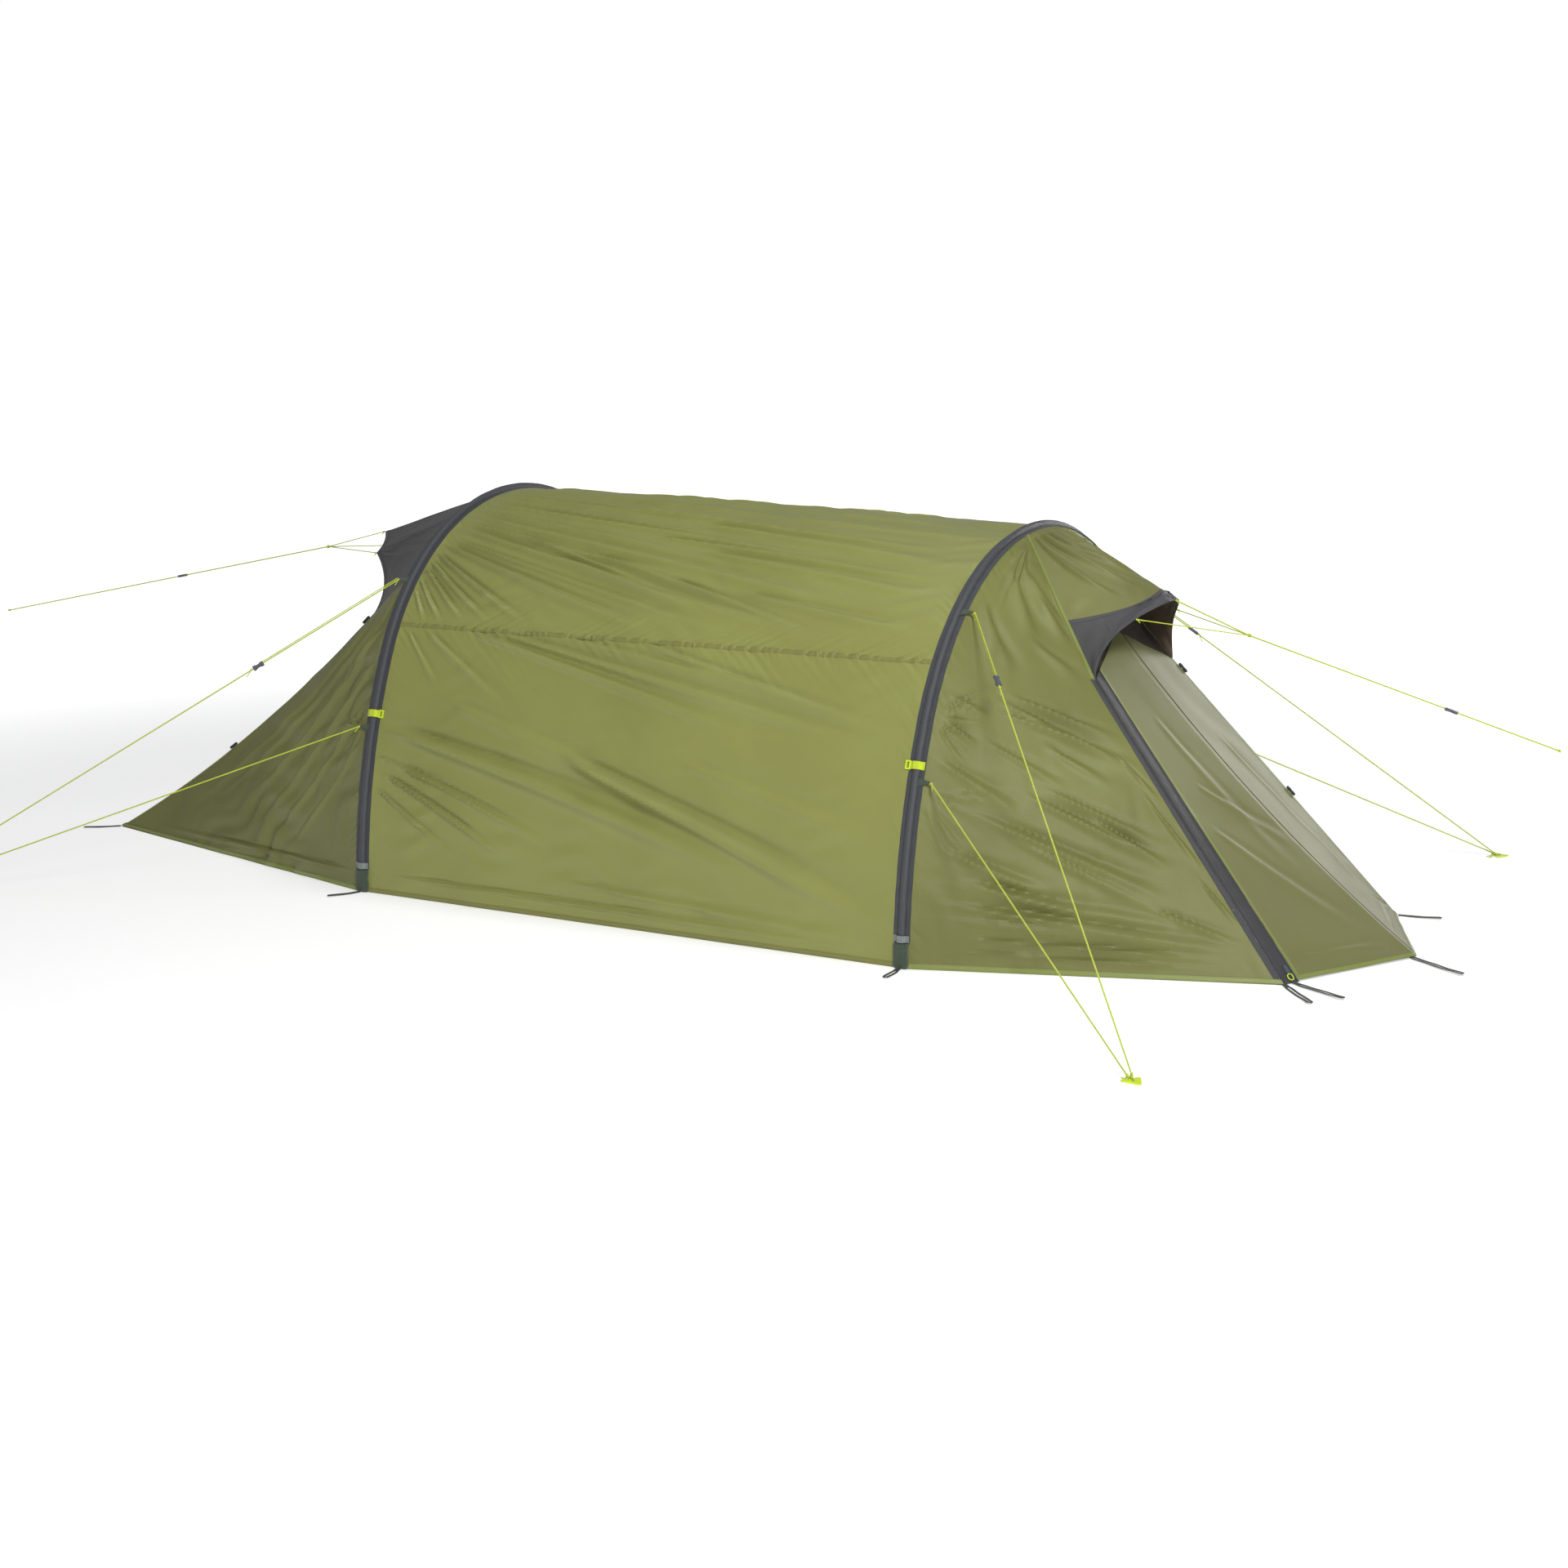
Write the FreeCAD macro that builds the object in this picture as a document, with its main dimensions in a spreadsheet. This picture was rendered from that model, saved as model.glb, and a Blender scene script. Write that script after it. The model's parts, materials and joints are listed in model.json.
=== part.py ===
"""Two-hoop tunnel tent with a pointed porch, an inner tent, guy lines and their runners.

The front (door) end points along +X and the right side along -Y. The floor is z = 0 and the origin lies on it,
half way between the front and rear ends of the tent body. All sizes are in millimetres.
"""
import FreeCAD, Part
import math
import os
from collections import namedtuple

V = FreeCAD.Vector

SIZES = [
    # hoops
    ("half_width", 800, "pole centre to centre plane at the floor"),
    ("front_height", 1092, "front pole centre at the crown"),
    ("rear_height", 1142, "rear pole centre at the crown"),
    ("front_crown_radius", 730, "arc over the front hoop's crown"),
    ("rear_crown_radius", 715, "arc over the rear hoop's crown"),
    ("hoop_spacing", 1800, "front hoop to rear hoop"),
    ("front_hoop_x", 983, "front hoop ahead of the origin"),
    ("pole_diameter", 9, "outside of the pole tube"),
    ("pole_wall", 1, "wall of the pole tube"),
    ("ferrule_length", 60, "sleeve that joins two pole sections"),
    ("ferrule_wall", 0.5, "wall of the ferrule"),
    ("ferrule_fit", 0.2, "bore of the ferrule over the pole"),
    ("section_gap", 0.2, "end of a pole section to the middle of its joint"),
    ("pole_sections", 7, "sections in each hoop"),
    ("tip_length", 28, "plug at each end of a pole"),
    # pole sleeves
    ("sleeve_width", 40, "sleeve with its two seam flanges"),
    ("channel_room", 1.8, "square passage in the sleeve over the ferrule"),
    ("channel_side", 3.5, "channel's wall toward each end of the tent"),
    ("channel_wall", 2, "channel's wall inside and outside"),
    ("flange_depth", 3, "seam flange"),
    ("pocket_height", 66, "foot pocket at each pole end"),
    ("pocket_depth", 24, "foot pocket from inside to outside"),
    ("pocket_room", 0.44, "hole in the foot pocket over the leaning pole"),
    ("pocket_floor", 8, "pocket material under the pole tip"),
    ("band_height", 20, "pale band over each foot pocket"),
    ("strap_length", 26, "strap along the sleeve"),
    ("strap_thickness", 2, "strap webbing"),
    ("strap_z", 520, "height of the strap on the hoops"),
    ("buckle_width", 24, "strap buckle along the sleeve"),
    ("buckle_reach", 15, "strap buckle beyond the strap"),
    ("buckle_bar", 4, "bars of the strap buckle, and its thickness"),
    ("tab_length", 24, "guy tab that stands off the sleeve"),
    ("tab_width", 22, "guy tab at its root"),
    ("tab_tip_width", 6, "guy tab at its tip"),
    ("tab_thickness", 3, "guy tab"),
    ("upper_guy_z", 897, "height of the upper guy tabs"),
    ("lower_guy_z", 480, "height of the lower guy tabs"),
    # fly panels
    ("cloth", 3, "thickness that stands for the cloth"),
    ("side_seam_z", 775, "gathered seam between roof and side"),
    ("porch_seam_y", 124, "porch seam from the centre plane at the hoop"),
    ("porch_reach", 1117, "front hoop to the door's centre peg"),
    ("porch_corner_reach", 912, "front hoop to the porch corner pegs"),
    ("porch_corner_y", 458, "porch corner pegs from the centre plane"),
    ("door_top_reach", 233, "front hoop to the door ridge's top"),
    ("door_top_z", 813, "door ridge's top"),
    ("door_ridge_sag", 38, "dip of the door ridge below a straight line"),
    ("hood_low_reach", 292, "front hoop to the hood's lower points"),
    ("hood_low_y", 265, "hood's lower points from the centre plane"),
    ("hood_low_z", 711, "hood's lower points"),
    ("hood_corner_share", 0.6, "hood's upper corner along the seam from the hoop"),
    ("hood_tip_reach", 404, "front hoop to the hood's tip"),
    ("hood_tip_z", 907, "hood's tip"),
    ("hood_arch", 1.75, "squareness of the hood's arch, 2 for an ellipse"),
    ("hood_lean", 2.7, "how late the hood's edge leans forward, 1 for a straight lean"),
    ("hood_back_reach", 362, "front hoop to the end of the roof cloth"),
    ("hood_back_z", 934, "end of the roof cloth"),
    ("zip_cover_width", 55, "cover band beside the door's zip"),
    ("door_cut_low", 0.37, "top of the moving flap at the zip, from the hood down"),
    ("door_cut_high", 0.10, "top of the moving flap at its hinge"),
    ("flap_gap", 1.5, "clearance around the moving flap"),
    ("flap_floor_gap", 5.7, "moving flap above the floor at its ridge"),
    ("rear_reach", 1352, "rear hoop to the rear corner pegs"),
    ("rear_corner_y", 430, "rear corner pegs from the centre plane"),
    ("rear_edge_sag", 42, "hollow of the rear corner edges"),
    ("rear_hood_z", 905, "rear hood's seam at the rear hoop"),
    ("rear_hood_tip_reach", 545, "rear hoop to the rear hood's tip"),
    ("rear_hood_tip_z", 985, "rear hood's tip"),
    ("rear_anchor_reach", 417, "rear hoop to the rear hood's side points"),
    ("rear_anchor_y", 200, "rear hood's side points from the centre plane"),
    ("rear_anchor_z", 935, "rear hood's side points"),
    ("rear_low_reach", 322, "rear hoop to the rear hood's lower points"),
    ("rear_low_y", 330, "rear hood's lower points from the centre plane"),
    ("rear_low_z", 762, "rear hood's lower points"),
    ("rear_low_scallop", 26, "hollow of the rear hood's edge below the side points"),
    ("rear_top_scallop", 10, "hollow of the rear hood's edge above the side points"),
    ("vent_drop", 75, "front vent below the porch seam's top"),
    # inner tent
    ("inner_gap", 65, "fly to inner tent at the hoops"),
    ("inner_inset", 70, "inner tent's end walls from the hoops"),
    ("inner_cloth", 2.5, "thickness that stands for the inner cloth"),
    ("hanger_diameter", 3, "strap that holds the inner tent"),
    ("tub_height", 100, "groundsheet wall"),
    ("tub_floor", 2, "groundsheet"),
    ("inner_door_width", 520, "inner door"),
    ("inner_door_height", 560, "inner door"),
    ("inner_sill", 24, "doorway above the tub"),
    ("inner_lap", 12, "inner door's lap over the doorway's edges"),
    ("inner_door_gap", 0.3, "inner door to its wall"),
    # guy lines
    ("cord_diameter", 4, "guy line"),
    ("cord_clearance", 0.5, "guy line to the pieces it passes"),
    ("tab_gap", 2, "middle of a guy line's end beyond its tab"),
    ("leg_gap", 1.1, "leg of an end guy to the hood's edge"),
    ("leg_diameter", 3, "legs of the two end guys"),
    ("knot_diameter", 11, "knot that gathers the legs of an end guy"),
    ("line_spread", 5, "end of each side guy beside the middle of its ring"),
    ("front_knot_reach", 619, "front hoop to the knot of the end guy"),
    ("front_knot_z", 823, "knot of the front end guy"),
    ("front_free_reach", 1455, "front hoop to the free end of the end guy"),
    ("front_free_z", 579, "free end of the front end guy"),
    ("rear_knot_reach", 789, "rear hoop to the knot of the end guy"),
    ("rear_knot_z", 925, "knot of the rear end guy"),
    ("rear_free_reach", 2310, "rear hoop to the free end of the end guy"),
    ("rear_free_z", 630, "free end of the rear end guy"),
    ("front_peg_reach", 926, "front hoop to the side guys' rings"),
    ("front_peg_y", 1439, "front side guys' rings from the centre plane"),
    ("rear_peg_reach", 1152, "rear hoop to the side guys' rings"),
    ("rear_peg_y", 1577, "rear side guys' rings from the centre plane"),
    ("ring_side", 58, "triangular guy ring"),
    ("ring_thickness", 4, "triangular guy ring"),
    ("ring_hole", 14, "hole in the guy ring"),
    ("ring_corner", 5, "radius of the guy ring's corners"),
    ("runner_length", 34, "line runner"),
    ("runner_width", 14, "line runner"),
    ("runner_depth", 8, "line runner"),
    ("runner_waist", 9, "line runner at its waist"),
    # floor loops
    ("loop_width", 18, "peg loop"),
    ("loop_slot", 9, "slot of a peg loop"),
    ("loop_thickness", 3, "peg loop"),
    ("loop_gap", 0.4, "peg loop to what it is sewn on"),
    ("hoop_loop_length", 106, "peg loop at a pole foot"),
    ("door_loop_length", 232, "peg loop at the foot of the door"),
    ("corner_loop_length", 190, "peg loops beside the zip"),
    ("far_loop_length", 122, "peg loop at the other corners"),
    ("door_loop_inset", 36, "door's peg loop back from the door's foot"),
    ("side_loop_place", 30, "second peg loop from the zip's foot along the door"),
    ("toggle_length", 34, "door toggle"),
    ("toggle_diameter", 9, "door toggle"),
    ("toggle_gap", 0.8, "door toggle to the edge it is sewn on"),
    ("slider_length", 22, "zip slider"),
    ("slider_width", 12, "zip slider"),
    ("slider_depth", 6, "zip slider"),
    ("pull_radius", 9, "zip pull ring"),
    ("pull_wire", 1.5, "radius of the pull ring's section"),
    ("pull_gap", 0.3, "pull ring to the slider"),
    ("zip_rise", 1.2, "zip slider above the cover"),
]

PORCH_COLUMNS = 12
KNEE = 5 / PORCH_COLUMNS
HOOD_COLUMNS = 16
TINY = 1e-6

# shares of the length of a line, from its tent end, or of an edge, from its top
RUNNER_SHARES = {"front": 0.17, "rear": 0.28, "front_centre": 0.66, "rear_centre": 0.43}
HANGER_SHARES = (-0.8, -0.45, 0, 0.45, 0.8)
FRONT_LEG_SHARE = 0.3
DOOR_TOGGLE_SHARES = (0.04, 0.52)
REAR_TOGGLE_SHARES = (0.03, 0.56)
SLIDER_SHARE = 0.96
SLIDER_ACROSS = 0.6

# direction of each peg loop on the floor, and its angle away from square to the cloth, in degrees
LOOP_TURNS = {
    "front_foot": (-81, 9),
    "rear_foot": (-112, 22),
    "rear_corner": (-134, 0),
    "zip_corner": (-50, 0),
    "zip_side": (-29, 5),
    "hinge_corner": (8, 16),
    "door_foot": (-35, 0),
}

doc = FreeCAD.newDocument("tunnel_tent")
sheet = doc.addObject("Spreadsheet::Sheet", "sizes")
for row, (alias, number, note) in enumerate(SIZES, start=1):
    sheet.set(f"A{row}", alias)
    sheet.set(f"B{row}", str(number))
    sheet.set(f"C{row}", note)
    sheet.setAlias(f"B{row}", alias)
doc.recompute()
size = {alias: float(getattr(sheet, alias)) for alias, _, _ in SIZES}
Size = namedtuple("Size", size)
s = Size(**size)

Hoop = namedtuple("Hoop", "x height crown_radius")
FRONT = Hoop(s.front_hoop_x, s.front_height, s.front_crown_radius)
REAR = Hoop(s.front_hoop_x - s.hoop_spacing, s.rear_height, s.rear_crown_radius)

FERRULE_BORE = s.pole_diameter + s.ferrule_fit
FERRULE_DIAMETER = FERRULE_BORE + 2 * s.ferrule_wall
CHANNEL = FERRULE_DIAMETER + s.channel_room
RIDGE_WIDTH = CHANNEL + 2 * s.channel_side
RIDGE_DEPTH = CHANNEL + 2 * s.channel_wall


# ---------------------------------------------------------------- hoop geometry

def side_radius(hoop):
    """Radius of the hoop's side arcs: upright at the floor and tangent to the crown arc."""
    rise = hoop.height - hoop.crown_radius
    top = s.half_width ** 2 + rise ** 2 - hoop.crown_radius ** 2
    return top / (2 * (s.half_width - hoop.crown_radius))


def side_angle(hoop):
    """Angle that each side arc turns through between the floor and the crown arc."""
    return math.atan2(hoop.height - hoop.crown_radius, side_radius(hoop) - s.half_width)


def crown_length(hoop):
    """Length along the pole from the crown to the end of the crown arc."""
    return hoop.crown_radius * (math.pi / 2 - side_angle(hoop))


def half_length(hoop):
    """Length along the pole from the crown to the floor."""
    return crown_length(hoop) + side_radius(hoop) * side_angle(hoop)


def run_at_height(hoop, z, out=0.0):
    """Length along the pole from the crown to where an offset of the hoop has this height."""
    crown, side = hoop.crown_radius + out, side_radius(hoop) + out
    if z > side * math.sin(side_angle(hoop)):
        return hoop.crown_radius * math.acos((z - hoop.height + hoop.crown_radius) / crown)
    return crown_length(hoop) + side_radius(hoop) * (side_angle(hoop) - math.asin(z / side))


def run_at_side(hoop, y):
    """Length along the pole from the crown out to a distance from the centre plane, on the crown arc."""
    return hoop.crown_radius * math.asin(y / hoop.crown_radius)


def hoop_direction(hoop, run):
    """Outward direction across the pole. Positive runs are on the right side, which is -Y."""
    along = abs(run)
    if along <= crown_length(hoop):
        lean = math.pi / 2 - along / hoop.crown_radius
    else:
        lean = side_angle(hoop) - (along - crown_length(hoop)) / side_radius(hoop)
    return V(0, -math.copysign(math.cos(lean), run), math.sin(lean))


def hoop_point(hoop, run, out=0.0, ahead=0.0):
    """Point on the pole's centre line, moved outward and ahead by the given amounts."""
    outward = hoop_direction(hoop, run)
    if abs(run) <= crown_length(hoop):
        centre, radius = V(hoop.x, 0, hoop.height - hoop.crown_radius), hoop.crown_radius
    else:
        offset = side_radius(hoop) - s.half_width
        centre, radius = V(hoop.x, math.copysign(offset, run), 0), side_radius(hoop)
    return centre + outward * (radius + out) + V(ahead, 0, 0)


def hoop_edges(hoop, start, end, out=0.0, ahead=0.0):
    """Tangent arcs of the hoop between two runs, offset outward by the given amount."""
    limit = crown_length(hoop)
    stops = [start] + [b for b in (-limit, limit) if start + 1 < b < end - 1] + [end]
    edges = []
    for first, last in zip(stops, stops[1:]):
        middle = hoop_point(hoop, (first + last) / 2, out, ahead)
        arc = Part.Arc(hoop_point(hoop, first, out, ahead), middle, hoop_point(hoop, last, out, ahead))
        edges.append(arc.toShape())
    return edges


def strip_wire(hoop, start, end, inner, outer, ahead):
    """Closed outline between two offsets of the hoop."""
    outside = hoop_edges(hoop, start, end, outer, ahead)
    inside = hoop_edges(hoop, start, end, inner, ahead)
    ends = [
        Part.makeLine(hoop_point(hoop, run, inner, ahead), hoop_point(hoop, run, outer, ahead))
        for run in (start, end)
    ]
    return Part.Wire(Part.__sortEdges__(outside + inside + ends))


def strip_solid(hoop, start, end, inner, outer, width):
    """Solid band that follows the hoop, centred on the pole."""
    face = Part.Face(strip_wire(hoop, start, end, inner, outer, -width / 2))
    return face.extrude(V(width, 0, 0))


# ---------------------------------------------------------------- cloth

def inward(point):
    """Direction in which cloth at this point gets its thickness."""
    edge = s.sleeve_width / 2
    ahead = point.x - min(max(point.x, REAR.x - edge), FRONT.x + edge)
    return -V(ahead, point.y, point.z).normalize()


def triangle(a, b, c):
    """Flat face of three points, or nothing where they fall together."""
    if (b - a).cross(c - a).Length < TINY:
        return []
    return [Part.Face(Part.makePolygon([a, b, c, a]))]


def quad(a, b, c, d):
    return triangle(a, b, c) + triangle(a, c, d)


def cloth(rows, thickness, direction=inward):
    """Closed thin solid over a grid of points on its outer surface."""
    back = [[p + direction(p) * thickness for p in row] for row in rows]
    faces = []
    for i in range(len(rows) - 1):
        for j in range(len(rows[0]) - 1):
            faces += quad(rows[i][j], rows[i + 1][j], rows[i + 1][j + 1], rows[i][j + 1])
            faces += quad(back[i][j], back[i][j + 1], back[i + 1][j + 1], back[i + 1][j])
    rim = [(0, j) for j in range(len(rows[0]))]
    rim += [(i, len(rows[0]) - 1) for i in range(1, len(rows))]
    rim += [(len(rows) - 1, j) for j in reversed(range(len(rows[0]) - 1))]
    rim += [(i, 0) for i in reversed(range(1, len(rows) - 1))]
    for (i, j), (k, m) in zip(rim, rim[1:] + rim[:1]):
        faces += quad(rows[i][j], rows[k][m], back[k][m], back[i][j])
    solid = Part.makeSolid(Part.makeShell(faces))
    return solid if solid.Volume > 0 else solid.reversed()


def between(a, b, share):
    return a + (b - a) * share


def shares(count):
    return [i / count for i in range(count + 1)]


def ruled(first, second, count):
    """Rows of points from one curve to another, both given as functions of a share."""
    return [[between(first(u), second(u), r) for u in shares(count)] for r in shares(3)]


def mirrored(shape):
    return shape.mirror(V(0, 0, 0), V(0, 1, 0))


def flipped(point):
    return V(point.x, -point.y, point.z)


def add(label, shape):
    """Document object that carries a finished shape under its own label."""
    item = doc.addObject("Part::Feature", label)
    item.Label = label
    item.Shape = shape
    return item


def group(label, shapes):
    return add(label, Part.makeCompound(shapes))


# ---------------------------------------------------------------- poles and sleeves

def pole_tube(hoop, start, end, outer, inner):
    """Bent tube along the hoop between two runs."""
    path = Part.Wire(hoop_edges(hoop, start, end))
    origin = hoop_point(hoop, start)
    tangent = hoop_direction(hoop, start).cross(V(1, 0, 0))
    tubes = []
    for diameter in (outer, inner):
        circle = Part.Wire(Part.makeCircle(diameter / 2, origin, tangent))
        tubes.append(path.makePipeShell([circle], True, False))
    return tubes[0].cut(tubes[1])


def build_poles():
    bore = s.pole_diameter - 2 * s.pole_wall
    ferrules, tips = [], []
    for name, hoop in (("front_pole", FRONT), ("rear_pole", REAR)):
        last = run_at_height(hoop, s.pocket_floor + s.tip_length)
        step = 2 * last / s.pole_sections
        sections = []
        for i in range(int(s.pole_sections)):
            start = -last + i * step + s.section_gap
            end = start + step - 2 * s.section_gap
            sections.append(pole_tube(hoop, start, end, s.pole_diameter, bore))
        group(name, sections)
        for i in range(1, int(s.pole_sections)):
            middle = -last + i * step
            half = s.ferrule_length / 2
            ferrules.append(pole_tube(hoop, middle - half, middle + half, FERRULE_DIAMETER, FERRULE_BORE))
        for side in (1, -1):
            top = hoop_point(hoop, side * last)
            foot = hoop_point(hoop, side * run_at_height(hoop, s.pocket_floor))
            axis = top - foot
            plug = Part.makeCone(s.pole_diameter / 4, s.pole_diameter / 2, axis.Length, foot, axis)
            tips.append(plug)
    group("pole_ferrules", ferrules)
    group("pole_tips", tips)


def build_sleeves():
    for name, hoop in (("front_sleeve", FRONT), ("rear_sleeve", REAR)):
        end = run_at_height(hoop, s.pocket_height + 1)
        ridge = strip_solid(hoop, -end, end, -RIDGE_DEPTH / 2, RIDGE_DEPTH / 2, RIDGE_WIDTH)
        flange = strip_solid(hoop, -end, end, -s.flange_depth, 0, s.sleeve_width)
        past = run_at_height(hoop, s.pocket_height / 2)
        channel = strip_solid(hoop, -past, past, -CHANNEL / 2, CHANNEL / 2, CHANNEL)
        add(name, ridge.fuse(flange).cut(channel).removeSplitter())


def local_frame(hoop, run, out=0.0):
    """Placement with X along the tent, Y outward across the pole and Z along it."""
    origin = hoop_point(hoop, run, out)
    outward = hoop_direction(hoop, run)
    up = V(1, 0, 0).cross(outward)
    matrix = FreeCAD.Matrix(
        1, outward.x, up.x, origin.x,
        0, outward.y, up.y, origin.y,
        0, outward.z, up.z, origin.z,
        0, 0, 0, 1)
    return FreeCAD.Placement(matrix)


def placed(shape, placement):
    moved = shape.copy()
    moved.Placement = placement
    return moved


def box_between(low, high):
    """Box from its two corners."""
    extent = high - low
    return Part.makeBox(extent.x, extent.y, extent.z, low)


def strap_shape():
    """Webbing over the outside of the sleeve, with its two legs on the seam flanges."""
    half = s.sleeve_width / 2 - 1
    top = RIDGE_DEPTH / 2 + s.cord_clearance
    outer = box_between(V(-half, 0.4, -s.strap_length / 2), V(half, top + s.strap_thickness, s.strap_length / 2))
    inset = s.strap_thickness
    inner = box_between(V(inset - half, 0, -s.strap_length), V(half - inset, top, s.strap_length))
    return outer.cut(inner)


def buckle_shape(side):
    """Ring at the strap's edge with a slot for the webbing; side is the end of the tent it faces."""
    start = s.sleeve_width / 2 - 1
    half, bar, low = s.buckle_width / 2, s.buckle_bar, s.strap_thickness * 0.3
    plate = box_between(V(start, low, -half), V(start + s.buckle_reach, low + bar, half))
    slot = box_between(V(start + bar, 0, bar - half), V(start + s.buckle_reach - bar, low + 2 * bar, half - bar))
    ring = plate.cut(slot)
    return ring if side > 0 else ring.mirror(V(0, 0, 0), V(1, 0, 0))


def tab_shape(side):
    """Triangular guy tab that stands off the sleeve's edge."""
    start = RIDGE_WIDTH / 2 + 0.5
    tip = s.sleeve_width / 2 + s.tab_length
    half = s.tab_width / 2
    tip_half = s.tab_tip_width / 2
    corners = [V(start, 0.5, -half), V(tip, 0.5, -tip_half), V(tip, 0.5, tip_half), V(start, 0.5, half)]
    plate = Part.Face(Part.makePolygon(corners + corners[:1])).extrude(V(0, s.tab_thickness, 0))
    return plate if side > 0 else plate.mirror(V(0, 0, 0), V(1, 0, 0))


def build_sleeve_fittings():
    straps, buckles, tabs = [], [], []
    for hoop, ahead in ((FRONT, 1), (REAR, -1)):
        frame = local_frame(hoop, run_at_height(hoop, s.strap_z))
        straps.append(placed(strap_shape(), frame))
        buckles.append(placed(buckle_shape(-ahead), frame))
        for height in (s.upper_guy_z, s.lower_guy_z):
            tabs.append(placed(tab_shape(ahead), local_frame(hoop, run_at_height(hoop, height))))
    for label, shapes in (("sleeve_straps", straps), ("strap_buckles", buckles), ("guy_tabs", tabs)):
        group(label, shapes + [mirrored(shape) for shape in shapes])


def band_shape():
    """Band over the outside of the sleeve's end, centred on the pole."""
    outer_half, inner_half = s.sleeve_width / 2 - 0.5, s.sleeve_width / 2 - 2.5
    room_top = RIDGE_DEPTH / 2 + 0.5
    outer = box_between(V(-outer_half, 0.5, -s.band_height / 2), V(outer_half, room_top + 2, s.band_height / 2))
    room = box_between(V(-inner_half, 0, -s.band_height), V(inner_half, room_top, s.band_height))
    return outer.cut(room)


def build_feet():
    bands = []
    corner = V(s.sleeve_width / 2, s.pocket_depth / 2, 0)
    pocket = box_between(-corner, corner + V(0, 0, s.pocket_height))
    for end, hoop in (("front", FRONT), ("rear", REAR)):
        lean = side_radius(hoop) - math.sqrt(side_radius(hoop) ** 2 - s.pocket_height ** 2)
        radius = (s.pole_diameter + s.pocket_room) / 2 + lean
        hollow = pocket.cut(Part.makeCylinder(radius, s.pocket_height, V(0, 0, s.pocket_floor)))
        run = run_at_height(hoop, s.pocket_height + 2 + s.band_height / 2)
        for side, sign in (("right", -1), ("left", 1)):
            add(f"{end}_{side}_foot_pocket", hollow.translated(V(hoop.x, sign * s.half_width, 0)))
            bands.append(placed(band_shape(), local_frame(hoop, -sign * run)))
    group("foot_bands", bands)


# ---------------------------------------------------------------- tunnel

def tunnel_panel(front_runs, rear_runs):
    """Cloth stretched between the two hoops, from one run along them to another."""
    half = s.sleeve_width / 2
    front = strip_wire(FRONT, *front_runs, -s.cloth, 0, -half)
    rear = strip_wire(REAR, *rear_runs, -s.cloth, 0, half)
    return Part.makeLoft([rear, front], True, True)


def build_tunnel():
    front_seam = run_at_height(FRONT, s.side_seam_z)
    rear_seam = run_at_height(REAR, s.side_seam_z)
    add("roof_panel", tunnel_panel((-front_seam, front_seam), (-rear_seam, rear_seam)))
    side = tunnel_panel((front_seam, half_length(FRONT)), (rear_seam, half_length(REAR)))
    add("right_side_panel", side)
    add("left_side_panel", mirrored(side))


# ---------------------------------------------------------------- porch

PORCH_START = s.sleeve_width / 2
SEAM_TOP = hoop_point(FRONT, run_at_side(FRONT, s.porch_seam_y), 0, PORCH_START)
HOOD_LOW = V(FRONT.x + s.hood_low_reach, -s.hood_low_y, s.hood_low_z)
PORCH_CORNER = V(FRONT.x + s.porch_corner_reach, -s.porch_corner_y, 0)
HOOD_CORNER = between(SEAM_TOP, HOOD_LOW, s.hood_corner_share)
DOOR_FOOT = V(FRONT.x + s.porch_reach, 0, 0)
DOOR_TOP = V(FRONT.x + s.door_top_reach, 0, s.door_top_z)


def hood_back(share):
    """Seam between the roof cloth and the hood, from right to left."""
    side = 2 * share - 1
    fall = side * side
    tip = V(FRONT.x + s.hood_back_reach, 0, s.hood_back_z)
    return V(tip.x + (HOOD_CORNER.x - tip.x) * fall, -HOOD_CORNER.y * side, tip.z + (HOOD_CORNER.z - tip.z) * fall)


def hood_rim(share):
    """Free edge of the hood: an arch from one lower point over the tip to the other."""
    angle = math.pi * share
    power = 2 / s.hood_arch
    side = math.copysign(abs(math.cos(angle)) ** power, math.cos(angle))
    rise = max(math.sin(angle), 0) ** power
    x = FRONT.x + s.hood_low_reach + (s.hood_tip_reach - s.hood_low_reach) * rise ** s.hood_lean
    return V(x, -s.hood_low_y * side, s.hood_low_z + (s.hood_tip_z - s.hood_low_z) * rise)


def porch_side(share):
    """Hoop side of the porch's side panel, from its seam down to the floor."""
    first = run_at_side(FRONT, s.porch_seam_y)
    return hoop_point(FRONT, first + (half_length(FRONT) - first) * share, 0, PORCH_START)


def porch_seam(share):
    """Seam from the hoop past the hood to the porch corner, with a column of the grid at the hood."""
    if share < KNEE:
        return between(SEAM_TOP, HOOD_LOW, share / KNEE)
    return between(HOOD_LOW, PORCH_CORNER, (share - KNEE) / (1 - KNEE))


def door_ridge(share):
    """Fold down the middle of the door, dipping below a straight line."""
    dip = s.door_ridge_sag * 4 * share * (1 - share)
    return between(DOOR_TOP, DOOR_FOOT, share) - V(dip * 0.6, 0, dip * 0.8)


def door_point(across, down):
    """Point on the door: across runs from the zip (0) over the ridge (0.5) to the hinge (1)."""
    edge = between(HOOD_LOW, PORCH_CORNER, down)
    if across > 0.5:
        edge = flipped(edge)
    share = 1 - abs(2 * across - 1)
    return between(edge, door_ridge(down), share)


def cut_share(across):
    """Where the moving flap starts, as a share of the door's height."""
    return s.door_cut_low + (s.door_cut_high - s.door_cut_low) * across


def cover_across(down, edge):
    """Share across the door at a fixed distance from the zip seam."""
    line = between(HOOD_LOW, PORCH_CORNER, down)
    return edge * s.zip_cover_width / (door_ridge(down) - line).Length / 2


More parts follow.
